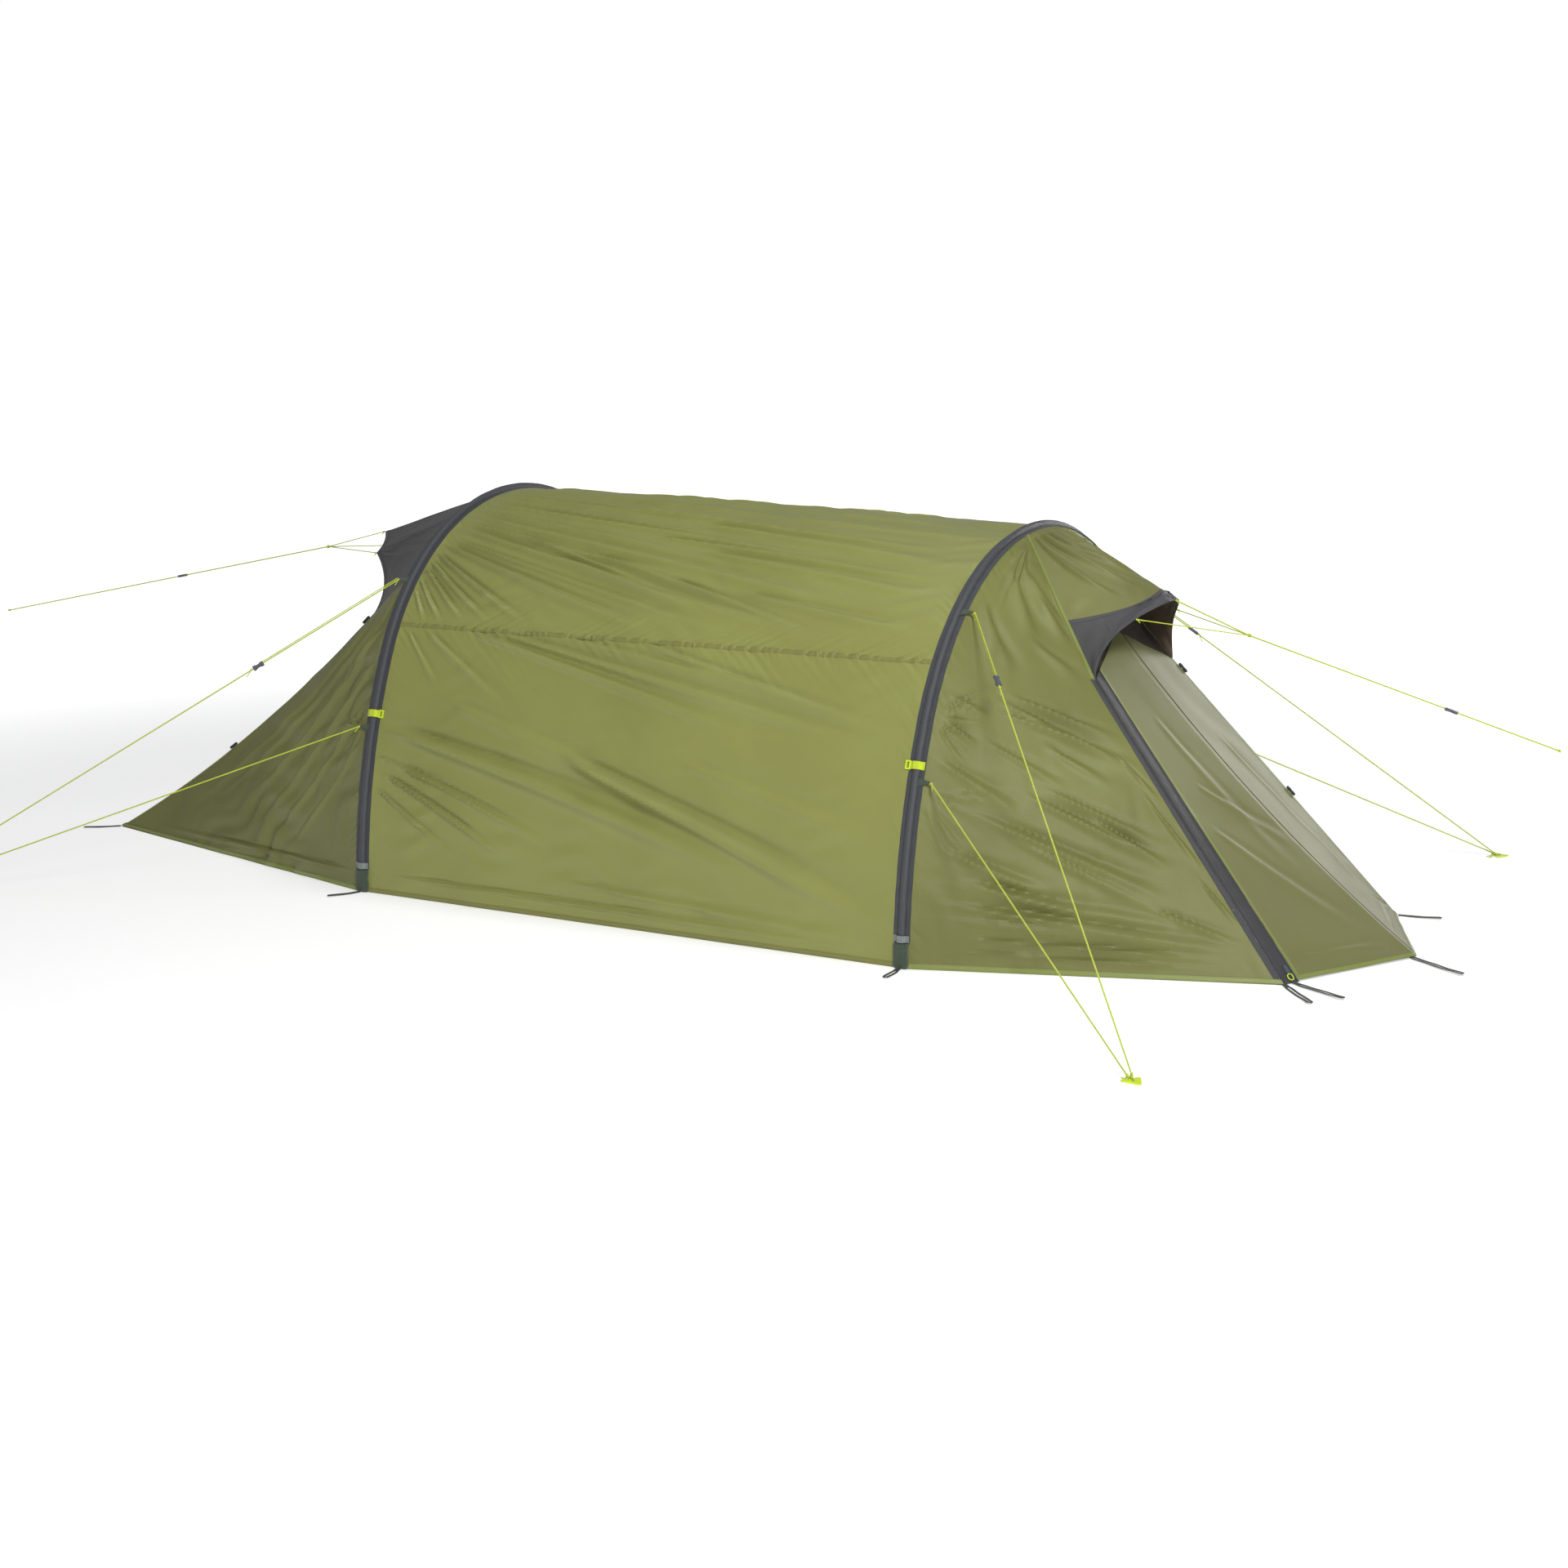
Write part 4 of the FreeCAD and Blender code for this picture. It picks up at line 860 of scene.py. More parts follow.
def tube(path: Array, radius: Union[float, Array], sides: int = 10) -> tuple[Array, list, Array]:
    """Round closed tube along a path.

    Args:
        path: points of the centre line.
        radius: one radius, or one for each point.
        sides: vertices around.

    Returns:
        Points, faces and chart.
    """
    path = np.asarray(path, float)
    way = unit(np.gradient(path, axis=0))
    side = np.zeros_like(path)
    first = np.cross(way[0], (0, 0, 1) if abs(way[0][2]) < 0.9 else (1, 0, 0))
    side[0] = unit(first)
    for k in range(1, len(path)):
        side[k] = unit(side[k - 1] - way[k] * (side[k - 1] @ way[k]))
    up = np.cross(way, side)
    angle = np.linspace(0, 2 * math.pi, sides, endpoint=False)
    wide = np.broadcast_to(np.asarray(radius, float), (len(path),))[:, None, None]
    ring = side[:, None] * np.cos(angle)[None, :, None] + up[:, None] * np.sin(angle)[None, :, None]
    run = run_along(path)
    chart = pairs(run[:, None], angle[None] * wide[..., 0])
    return path[:, None] + ring * wide, tube_faces(len(path), sides), chart


def at_runs(places: Array, run: Array, values: Array) -> Array:
    """Vectors at lengths along a path, from those at its points."""
    return np.stack([np.interp(places, run, values[:, k]) for k in range(3)], axis=-1)


def stitch_row(bundle: Bundle, path: Array, up: Array, pitch: float = 0.006, length: float = 0.0042,
               width: float = 0.0009) -> None:
    """Lay stitches along a path.

    Args:
        bundle: what takes the stitches.
        path: the seam line on the cloth.
        up: direction away from the cloth at each point.
        pitch: distance between stitches.
        length: length of a stitch.
        width: width and height of a stitch.
    """
    run = run_along(path)
    places = np.arange(pitch / 2, run[-1], pitch)
    at = at_runs(places, run, path)
    rise = unit(at_runs(places, run, np.broadcast_to(up, path.shape)))
    way = unit(at_runs(places + 0.001, run, path) - at_runs(places - 0.001, run, path))
    side = np.cross(way, rise)
    ends = (at - way * length / 2, at + way * length / 2)
    flanks = (at + side * width / 2, at - side * width / 2)
    corners = np.stack([*ends, *flanks, at + rise * width * 0.7, at - rise * width * 0.3], axis=1)
    block = np.array([[0, 2, 4], [2, 1, 4], [1, 3, 4], [3, 0, 4], [2, 0, 5], [1, 2, 5], [3, 1, 5], [0, 3, 5]])
    faces = (block[None] + 6 * np.arange(len(at))[:, None, None]).reshape(-1, 3)
    bundle.add(corners, faces.tolist())


def knot_path(place: Array, radius: float, way: Array, turns: int = 48) -> Array:
    """Centre line of an overhand knot.

    Args:
        place: middle of the knot.
        radius: size of the knot.
        way: direction of the line that it is tied in.
        turns: points on the line.

    Returns:
        Points of a three-lobed closed curve.
    """
    angle = np.linspace(0, 2 * math.pi, turns)
    flat = np.stack([np.sin(angle) + 2 * np.sin(2 * angle), np.cos(angle) - 2 * np.cos(2 * angle),
                     -1.4 * np.sin(3 * angle)], axis=-1) * (radius / 3.6)
    way = unit(np.asarray(way, float))
    side = unit(np.cross(way, (0.1, 0.2, 1.0)))
    up = np.cross(side, way)
    return np.asarray(place) + flat[:, :1] * way * 1.15 + flat[:, 1:2] * side * 0.85 + flat[:, 2:] * up


# ---------------------------------------------------------------- the poles' curve

@dataclass(frozen=True)
class Hoop:
    """Tangent arcs of a pole: upright at the floor and rounder over the crown."""

    x: float
    height: float
    crown_radius: float
    half_width: float = 0.8

    @property
    def side_radius(self) -> float:
        """Radius of the side arcs."""
        rise = self.height - self.crown_radius
        top = self.half_width ** 2 + rise ** 2 - self.crown_radius ** 2
        return top / (2 * (self.half_width - self.crown_radius))

    @property
    def side_angle(self) -> float:
        """Angle of each side arc."""
        return math.atan2(self.height - self.crown_radius, self.side_radius - self.half_width)

    @property
    def crown_length(self) -> float:
        """Length from the crown to the end of the crown arc."""
        return self.crown_radius * (math.pi / 2 - self.side_angle)

    @property
    def half_length(self) -> float:
        """Length from the crown to the floor."""
        return self.crown_length + self.side_radius * self.side_angle

    def run_at_height(self, z: float, out: float = 0.0) -> float:
        """Length from the crown to where an offset of the hoop has a height."""
        crown, side = self.crown_radius + out, self.side_radius + out
        if z > side * math.sin(self.side_angle):
            return self.crown_radius * math.acos((z - self.height + self.crown_radius) / crown)
        return self.crown_length + self.side_radius * (self.side_angle - math.asin(z / side))

    def run_at_side(self, y: float) -> float:
        """Length from the crown to a distance from the centre plane."""
        return self.crown_radius * math.asin(y / self.crown_radius)

    def outward(self, runs: Array) -> Array:
        """Directions across the pole at the given lengths; positive ones are on the right, toward -Y."""
        runs = np.asarray(runs, float)
        along = np.abs(runs)
        lean = np.where(along <= self.crown_length, math.pi / 2 - along / self.crown_radius,
                        self.side_angle - (along - self.crown_length) / self.side_radius)
        sign = np.where(runs >= 0, 1.0, -1.0)
        return np.stack([np.zeros_like(lean), -sign * np.cos(lean), np.sin(lean)], axis=-1)

    def points(self, runs: Array, out: Union[float, Array] = 0.0, ahead: Union[float, Array] = 0.0) -> Array:
        """Points on the pole moved outward and ahead.

        Args:
            runs: lengths from the crown.
            out: distance outward.
            ahead: distance toward the door end.

        Returns:
            One point for each length.
        """
        runs, out, ahead = np.broadcast_arrays(np.asarray(runs, float), out, ahead)
        along = np.abs(runs)
        on_crown = along <= self.crown_length
        sign = np.where(runs >= 0, 1.0, -1.0)
        centre_y = np.where(on_crown, 0.0, sign * (self.side_radius - self.half_width))
        centre_z = np.where(on_crown, self.height - self.crown_radius, 0.0)
        radius = np.where(on_crown, self.crown_radius, self.side_radius) + out
        way = self.outward(runs) * radius[..., None]
        return np.stack([self.x + ahead, centre_y + way[..., 1], centre_z + way[..., 2]], axis=-1)


def hoop_of(node: str, crown_radius: float) -> Hoop:
    """Hoop of a packed pole.

    Args:
        node: the pole's CAD node.
        crown_radius: radius of its crown arc.

    Returns:
        The hoop through the middle of the pole.
    """
    low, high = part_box(node)
    half = (high[0] - low[0]) / 2
    return Hoop(low[0] + half, high[2] - half, crown_radius)


FRONT = hoop_of("front_pole", 0.730)
REAR = hoop_of("rear_pole", 0.715)


# ---------------------------------------------------------------- tunnel

@dataclass
class Tunnel:
    """Roof and side cloths between the two hoops, with their gathered seams."""

    seam_z: float = 0.775
    sleeve_half: float = 0.020
    sleeve_edge: float = 0.0235
    roof_length: float = 0.86
    columns: int = 300
    roof_rows: int = 330
    side_rows: int = 160
    tape_width: float = 0.014
    heart: Triple = (0.1, 0.0, 0.25)

    def on_roof(self, x: float, share: float) -> Pair:
        """Chart place from a position along the tent and a share from the ridge to the seam."""
        return (x, share * self.roof_length)

    def on_side(self, x: float, z: float) -> Pair:
        """Chart place from a position along the tent and a height."""
        return (x, self.roof_length + self.seam_z - z)

    def roof_folds(self) -> list[Fold]:
        """Long folds that fan out of the rear hoop over the roof."""
        return creases([
            (-0.80, 0.60, 0.12, 0.98, 0.020, 0.0064, -0.010),
            (-0.80, 0.50, 0.62, 0.95, 0.026, 0.0066, -0.012),
            (-0.80, 0.41, 0.80, 0.80, 0.028, 0.0056, -0.010), (-0.80, 0.31, 0.62, 0.55, 0.022, 0.0052),
            (-0.80, 0.21, 0.50, 0.37, 0.020, 0.0044), (-0.80, 0.12, 0.34, 0.20, 0.017, 0.0028),
            (-0.80, 0.065, 0.10, 0.11, 0.014, 0.0022), (-0.70, 0.04, 0.60, 0.05, 0.013, 0.0016),
            (-0.79, 0.655, -0.33, 0.98, 0.014, 0.0056, -0.006),
            (-0.79, 0.70, -0.47, 0.98, 0.012, 0.0054, -0.005), (-0.79, 0.74, -0.57, 0.98, 0.010, 0.0050),
            (-0.79, 0.79, -0.65, 0.99, 0.009, 0.0042), (-0.79, 0.84, -0.71, 0.99, 0.008, 0.0032),
            (-0.40, 0.62, 0.30, 0.90, 0.016, 0.0036), (0.00, 0.36, 0.95, 0.52, 0.032, 0.0058),
            (0.10, 0.55, 0.95, 0.71, 0.030, 0.0056), (0.30, 0.76, 0.95, 0.90, 0.026, 0.0046),
            (0.20, 0.22, 0.96, 0.30, 0.020, 0.0032), (-0.30, 0.27, 0.90, 0.42, 0.020, 0.0040),
            (-0.10, 0.47, 0.94, 0.62, 0.020, 0.0044), (-0.45, 0.14, 0.60, 0.24, 0.016, 0.0026),
            (-0.20, 0.07, 0.92, 0.15, 0.014, 0.0020), (0.30, 0.09, 0.96, 0.19, 0.013, 0.0018),
            (-0.80, 0.56, 0.36, 0.96, 0.014, 0.0036, -0.010),
            (-0.80, 0.455, 0.20, 0.72, 0.015, 0.0034, -0.010), (-0.80, 0.36, 0.10, 0.56, 0.014, 0.0030),
            (-0.80, 0.26, 0.30, 0.46, 0.016, 0.0030), (-0.80, 0.165, -0.05, 0.27, 0.014, 0.0024),
            (-0.55, 0.52, 0.10, 0.78, 0.012, 0.0030), (-0.25, 0.60, 0.45, 0.86, 0.015, 0.0032),
            (0.05, 0.70, 0.60, 0.93, 0.014, 0.0030),
        ], self.on_roof)

    def side_folds(self) -> list[Fold]:
        """Folds that run down and forward over a side."""
        return creases([
            (-0.78, 0.48, 0.62, 0.155, 0.036, 0.0110, 0.020),
            (-0.14, 0.455, 0.97, 0.085, 0.034, 0.0110, 0.006),
            (-0.76, 0.355, -0.28, 0.145, 0.010, 0.0056, 0.006),
            (-0.70, 0.380, -0.12, 0.195, 0.012, 0.0052, 0.006), (-0.79, 0.315, -0.45, 0.120, 0.010, 0.0036),
            (-0.79, 0.400, -0.50, 0.330, 0.012, 0.0030), (-0.44, 0.770, 0.94, 0.530, 0.020, 0.0056, 0.006),
            (-0.56, 0.770, 0.52, 0.535, 0.020, 0.0054, 0.008), (0.04, 0.775, 0.94, 0.575, 0.016, 0.0038),
            (-0.22, 0.772, 0.60, 0.660, 0.014, 0.0034), (-0.70, 0.765, -0.34, 0.560, 0.014, 0.0030),
            (-0.76, 0.760, -0.60, 0.600, 0.010, 0.0024), (-0.56, 0.570, 0.10, 0.395, 0.030, 0.0036),
            (0.25, 0.470, 0.94, 0.300, 0.030, 0.0026), (-0.72, 0.060, 0.93, 0.034, 0.010, 0.0034),
            (-0.10, 0.110, 0.94, 0.055, 0.018, 0.0030),
        ], self.on_side)

    def folds(self) -> list[Fold]:
        """All folds of the tunnel, the left side's like the right's with its own gathers."""
        right = self.roof_folds() + self.side_folds()
        right.append(Pucker(self.roof_length, 0.016, 0.014, 0.0008, 11))
        right.append(Pucker(self.roof_length, 0.070, 0.047, 0.0008, 17, 1.3))
        left = self.roof_folds() + self.side_folds()
        left.append(Pucker(self.roof_length, 0.016, 0.014, 0.0008, 31))
        left.append(Pucker(self.roof_length, 0.070, 0.047, 0.0008, 37, 1.3))
        both: list[Fold] = [
            Billow(9.0, 0.090, 0.0009, 5), Billow(20.0, 0.260, 0.0016, 9), Billow(80.0, 0.300, 0.0007, 13),
            Pucker(REAR.x + self.sleeve_half, 0.030, 0.034, 0.0015, 41, 0.8, True),
            Pucker(FRONT.x - self.sleeve_half, 0.022, 0.034, 0.0011, 43, -0.8, True),
        ]
        return right + [Mirrored(fold) for fold in left] + both

    def hold(self, chart: Array) -> Array:
        """Share of the folds' height that the sleeves and the hem leave."""
        x = chart[..., 0]
        ends = smooth((x - REAR.x - self.sleeve_edge) / 0.016)
        ends = ends * smooth((FRONT.x - self.sleeve_edge - x) / 0.016)
        floor = self.roof_length + self.seam_z - np.abs(chart[..., 1])
        return ends * (0.25 + 0.75 * smooth(floor / 0.035))

    def grid(self, start: float, stop: float, rows: int) -> tuple[Array, Array]:
        """Grid between two shares around the tunnel.

        Args:
            start: share of the first row: 0 the ridge, 1 the right seam, 2 the right hem, left ones negative.
            stop: share of the last row.
            rows: rows of points.

        Returns:
            Points and chart.
        """
        step = np.linspace(0, 1, rows)
        spread = step - 0.35 * np.sin(2 * math.pi * step) / (2 * math.pi)
        share = start + (stop - start) * spread
        run = {}
        for hoop in (FRONT, REAR):
            seam = hoop.run_at_height(self.seam_z)
            run[hoop.x] = np.interp(share, [-2, -1, 1, 2], [-hoop.half_length, -seam, seam, hoop.half_length])
        front = FRONT.points(run[FRONT.x], 0.0, -self.sleeve_half)
        rear = REAR.points(run[REAR.x], 0.0, self.sleeve_half)
        points = between(rear[:, None], front[:, None], np.linspace(0, 1, self.columns)[None])
        level = np.abs(np.interp(share, [-1, 1], [-self.roof_length, self.roof_length]))
        side = self.roof_length + self.seam_z - points[..., 2]
        across = np.where(np.abs(share)[:, None] <= 1, level[:, None], side)
        across = across * np.where(share >= 0, 1.0, -1.0)[:, None]
        return points, np.stack([points[..., 0], across], axis=-1)

    def make(self) -> None:
        """Build the three cloths, the seam tapes and their stitches."""
        folds = self.folds()
        for name, node, start, stop, rows in (
                ("roof_cloth", "roof_panel", -1.0, 1.0, self.roof_rows),
                ("right_side_cloth", "right_side_panel", 1.0, 2.0, self.side_rows),
                ("left_side_cloth", "left_side_panel", -2.0, -1.0, self.side_rows)):
            points, chart = self.grid(start, stop, rows)
            panel = Panel(name, points, chart, self.heart, folds, self.hold(chart), gain=2.3)
            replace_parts(panel.make(), node)
            if name != "roof_cloth":
                self.tapes(name.split("_")[0], panel)

    def tapes(self, side: str, panel: Panel) -> None:
        """Felled seam along a side's top edge and the hem along its foot.

        Args:
            side: right or left.
            panel: the side's cloth.
        """
        raised, normal = panel.surface()
        top, foot = (0, -1) if side == "right" else (-1, 0)
        tapes, threads = Bundle(), Bundle()
        for row, inset in ((top, 0.0), (foot, 0.008)):
            step = 1 if row == 0 else -1
            up = normal[row]
            down = unit(raised[row + 3 * step] - raised[row])
            path = raised[row] + down * inset
            path[:, 2] = np.maximum(path[:, 2], 0.0075 if inset else 0.0)
            tapes.add(*ribbon(path + up * 0.0001, down, up, self.tape_width, 0.0007))
            for offset in (-self.tape_width * 0.3, self.tape_width * 0.3):
                stitch_row(threads, path + down * offset + up * 0.0009, up)
        declare_tape(tapes.make(f"{side}_seam_tapes", (SEAM_TAPE,)), self.tape_width)
        threads.make(f"{side}_seam_stitches", (THREAD,))


# ---------------------------------------------------------------- porch

@dataclass
class Porch:
    """Pointed porch: side panels, roof, hood, door and its zip cover."""

    seam_y: float = 0.124
    low: Triple = (0.292, -0.265, 0.711)
    corner: Triple = (0.912, -0.458, 0.0)
    corner_share: float = 0.6
    knee: float = 5 / 12
    tip: Pair = (0.404, 0.907)
    back: Pair = (0.362, 0.934)
    back_bend: Pair = (2.9, 1.3)
    door_top: Pair = (0.233, 0.813)
    door_reach: float = 1.117
    ridge_sag: float = 0.038
    cover_width: float = 0.055
    sleeve_half: float = 0.020
    arch: float = 1.75
    lean: float = 2.7
    bend_start: Pair = (0.45, 0.06)
    bend_end: Pair = (0.22, 0.44)
    side_drop: float = 1.25
    roof_chart: Pair = (0.42, 0.38)
    hood_chart: Pair = (0.75, 0.16)
    door_middle: int = 110
    fold_spread: float = 1.15
    fold_head: float = 0.34

    def __post_init__(self) -> None:
        """Work out the corners from the hoop's place."""
        self.seam_run = FRONT.run_at_side(self.seam_y)
        self.seam_top = FRONT.points(self.seam_run, 0.0, self.sleeve_half)
        self.hood_low = np.array(self.low) + (FRONT.x, 0, 0)
        self.foot = np.array(self.corner) + (FRONT.x, 0, 0)
        self.hood_corner = between(self.seam_top, self.hood_low, self.corner_share)
        self.door_foot = np.array([FRONT.x + self.door_reach, 0.0, 0.0])
        self.ridge_top = np.array([FRONT.x + self.door_top[0], 0.0, self.door_top[1]])
        self.heart = (FRONT.x + 0.15, 0.0, 0.2)

    def side_edge(self, share: Array) -> Array:
        """Hoop side of a side panel."""
        runs = self.seam_run + (FRONT.half_length - self.seam_run) * share
        return FRONT.points(runs, 0.0, self.sleeve_half)

    def seam(self, share: Array) -> Array:
        """Seam from the hoop past the hood to the corner."""
        share = np.asarray(share, float)
        upper = between(self.seam_top, self.hood_low, np.clip(share / self.knee, 0, 1))
        lower = between(self.hood_low, self.foot, np.clip((share - self.knee) / (1 - self.knee), 0, 1))
        return np.where((share < self.knee)[..., None], upper, lower)

    def hood_back(self, share: Array) -> Array:
        """Seam between roof cloth and hood, from right to left."""
        side = 2 * np.asarray(share, float) - 1
        recede, fall = np.abs(side) ** self.back_bend[0], np.abs(side) ** self.back_bend[1]
        tip = np.array([FRONT.x + self.back[0], 0.0, self.back[1]])
        return np.stack([tip[0] + (self.hood_corner[0] - tip[0]) * recede, -self.hood_corner[1] * side,
                         tip[2] + (self.hood_corner[2] - tip[2]) * fall], axis=-1)

    def hood_rim(self, share: Array) -> Array:
        """Free edge of the hood, from right to left: an arch that leans forward near its tip."""
        angle = math.pi * np.asarray(share, float)
        side = np.sign(np.cos(angle)) * np.abs(np.cos(angle)) ** (2 / self.arch)
        rise = np.clip(np.sin(angle), 0, 1) ** (2 / self.arch)
        x = FRONT.x + self.low[0] + (self.tip[0] - self.low[0]) * rise ** self.lean
        return np.stack([x, self.low[1] * side, self.low[2] + (self.tip[1] - self.low[2]) * rise], axis=-1)

    def ridge(self, share: Array) -> Array:
        """Fold down the middle of the door."""
        share = np.asarray(share, float)
        dip = self.ridge_sag * 4 * share * (1 - share)
        line = between(self.ridge_top, self.door_foot, share)
        return line - dip[..., None] * np.array([0.6, 0.0, 0.8])

    def door_point(self, across: Array, down: Array) -> Array:
        """Points on the door.

        Args:
            across: 0 at the zip, 0.5 on the ridge, 1 at the hinge.
            down: 0 at the hood, 1 at the floor.

        Returns:
            Points of the broadcast shape.
        """
        across, down = np.broadcast_arrays(np.asarray(across, float), down)
        edge = between(self.hood_low, self.foot, down)
        edge = np.where((across > 0.5)[..., None], flipped(edge), edge)
        return between(edge, self.ridge(down), 1 - np.abs(2 * across - 1))

    def cover_share(self, down: Array, edge: Union[float, Array]) -> Array:
        """Share across the door at a part of the cover's width."""
        line = between(self.hood_low, self.foot, down)
        wide = np.linalg.norm(self.ridge(down) - line, axis=-1)
        return edge * self.cover_width / wide / 2

    def side_folds(self) -> list[Fold]:
        """Folds of a side panel, placed by shares from hoop to seam and from top to floor."""
        def at(across: float, down: float) -> Pair:
            """Chart place from two shares."""
            share = np.array(down)
            wide = float(np.linalg.norm(self.seam(share) - self.side_edge(share)))
            return (across * wide, down * self.side_drop)
        rows = (
            (0.28, 0.475, 0.96, 0.610, 0.017, 0.0090), (0.36, 0.465, 0.97, 0.545, 0.011, 0.0060),
            (0.02, 0.600, 0.40, 0.705, 0.016, 0.0060), (0.38, 0.655, 0.90, 0.800, 0.015, 0.0080),
            (0.46, 0.640, 0.88, 0.745, 0.010, 0.0050), (0.18, 0.700, 0.84, 0.865, 0.020, 0.0104),
            (0.05, 0.765, 0.46, 0.860, 0.016, 0.0070), (0.10, 0.820, 0.62, 0.905, 0.015, 0.0056),
            (0.90, 0.640, 0.965, 0.800, 0.008, 0.0044), (0.86, 0.560, 0.955, 0.660, 0.007, 0.0036),
            (0.93, 0.800, 0.975, 0.900, 0.007, 0.0036), (0.04, 0.870, 0.98, 0.950, 0.017, 0.0086),
            (0.08, 0.935, 0.96, 0.962, 0.008, 0.0046), (0.05, 0.962, 0.90, 0.978, 0.006, 0.0036),
            (0.20, 0.300, 0.45, 0.440, 0.020, 0.0050), (0.55, 0.330, 0.90, 0.440, 0.020, 0.0046),
            (0.05, 0.480, 0.30, 0.520, 0.010, 0.0046), (0.03, 0.520, 0.24, 0.585, 0.009, 0.0040),
            (0.70, 0.860, 0.97, 0.935, 0.010, 0.0044), (0.52, 0.560, 0.80, 0.640, 0.012, 0.0040),
            (0.30, 0.500, 0.92, 0.590, 0.012, 0.0064), (0.24, 0.560, 0.60, 0.650, 0.012, 0.0050),
            (0.30, 0.740, 0.78, 0.880, 0.013, 0.0064), (0.62, 0.690, 0.86, 0.790, 0.009, 0.0050),
            (0.02, 0.900, 0.95, 0.945, 0.016, 0.0040), (0.02, 0.830, 0.96, 0.925, 0.020, 0.0050),
            (0.40, 0.120, 0.90, 0.300, 0.026, 0.0080), (0.20, 0.140, 0.62, 0.360, 0.026, 0.0070),
            (0.10, 0.260, 0.34, 0.420, 0.024, 0.0070), (0.60, 0.200, 0.92, 0.340, 0.018, 0.0050),
        )
        folds = creases([(*ends, self.fold_spread * wide, deep, 0.0, self.fold_head)
                         for *ends, wide, deep in rows], at)
        folds += [
            Fan((0.03, 0.05), 62.0, 88.0, 6, 0.30, 0.012, 0.0040, 3),
            Fan((0.0, 0.66), -35.0, 50.0, 8, 0.20, 0.010, 0.0036, 8),
            Fan((0.0, 0.84), -10.0, 60.0, 6, 0.26, 0.012, 0.0026, 12),
            Billow(32.0, 0.085, 0.0006, 21, 3.0), Billow(12.0, 0.200, 0.0016, 25, 3.0),
            Pucker(0.0, 0.022, 0.030, 0.0014, 27, 0.8, True),
        ]
        return folds

    def side_grid(self, rows: int = 200, columns: int = 200) -> tuple[Array, Array]:
        """Grid of the right side panel and its chart."""
        down = np.linspace(0.0, 1.0, rows)[:, None]
        across = np.linspace(0.0, 1.0, columns)[None]
        first, last = self.side_edge(down[:, 0]), self.seam(down[:, 0])
        points = between(first[:, None], last[:, None], across)
        wide = np.linalg.norm(last - first, axis=-1)[:, None]
        return points, pairs(across * wide, down * self.side_drop)

    def make_sides(self) -> None:
        """Side panels and their hems."""
        points, chart = self.side_grid()
        wide = chart[:, -1:, 0]
        held = smooth(chart[..., 0] / 0.012) * smooth((wide - chart[..., 0]) / 0.020)
        held = held * (0.25 + 0.75 * smooth((self.side_drop - chart[..., 1]) / 0.03))
        folds = self.side_folds()
        for name, node, mirror in (("front_right_cloth", "front_right_panel", False),
                                   ("front_left_cloth", "front_left_panel", True)):
            placed = flipped(points) if mirror else points
            # The porch sides take the darker copy of the fly cloth, whose colour is painted shade.
            panel = Panel(name, placed, chart, self.heart, folds, held, FLY_INSIDE, PORCH_SIDE_PAINTED_SHADE, gain=1.8)
            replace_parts(panel.make(), node)
            edge_tapes(name.replace("cloth", "hem"), panel, (("last_row", 0.007, 0.014),), 0.0075)
            joint = int(self.knee * len(points))
            edge_tapes(name.replace("cloth", "seam"), panel, (("last_column", 0.0060, 0.0105),),
                       part=slice(0, joint))
            edge_tapes(name.replace("cloth", "zip_tape"), panel, (("last_column", 0.0085, 0.017),), 0.0,
                       HOOD, GREY_THREAD, part=slice(joint, None))

    def make_roof(self) -> None:
        """Roof cloth between the hoop and the hood."""
        across = np.linspace(0, 1, 170)[:, None]
        down = np.linspace(0, 1, 130)[None]
        crown = FRONT.points(self.seam_run * (1 - 2 * across[:, 0]), 0.0, self.sleeve_half)
        points = between(crown[:, None], self.hood_back(across[:, 0])[:, None], down)
        chart = pairs((across - 0.5) * self.roof_chart[0], down * self.roof_chart[1])
        folds: list[Fold] = creases([
            (-0.195, 0.01, -0.120, 0.36, 0.012, 0.0080), (-0.150, 0.01, -0.050, 0.35, 0.015, 0.0104),
            (-0.100, 0.01, 0.010, 0.33, 0.015, 0.0100), (-0.040, 0.01, 0.060, 0.33, 0.014, 0.0070),
            (-0.125, 0.01, -0.020, 0.24, 0.008, 0.0040), (-0.172, 0.01, -0.090, 0.26, 0.008, 0.0040),
            (0.010, 0.01, 0.100, 0.30, 0.012, 0.0050), (-0.070, 0.01, 0.030, 0.20, 0.008, 0.0034),
            (0.195, 0.01, 0.120, 0.34, 0.013, 0.0060), (0.150, 0.01, 0.080, 0.33, 0.014, 0.0056),
            (0.060, 0.01, 0.040, 0.28, 0.014, 0.0036),
        ]) + [
            Billow(90.0, 0.08, 0.0016, 51, 3.0), Pucker(0.0, 0.018, 0.026, 0.0014, 53, 0.4),
        ]
        held = smooth((self.roof_chart[0] / 2 - np.abs(chart[..., 0])) / 0.020)
        held = held * smooth(chart[..., 1] / 0.012)
        held = held * smooth((self.roof_chart[1] - chart[..., 1]) / 0.020)
        # The porch roof takes the darker copy of the fly cloth, whose colour is painted shade.
        panel = Panel("front_roof_cloth", points, chart, self.heart, folds, held, FLY_INSIDE, FLY_PAINTED_SHADE,
                      gain=1.6)
        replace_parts(panel.make(), "front_roof_panel")

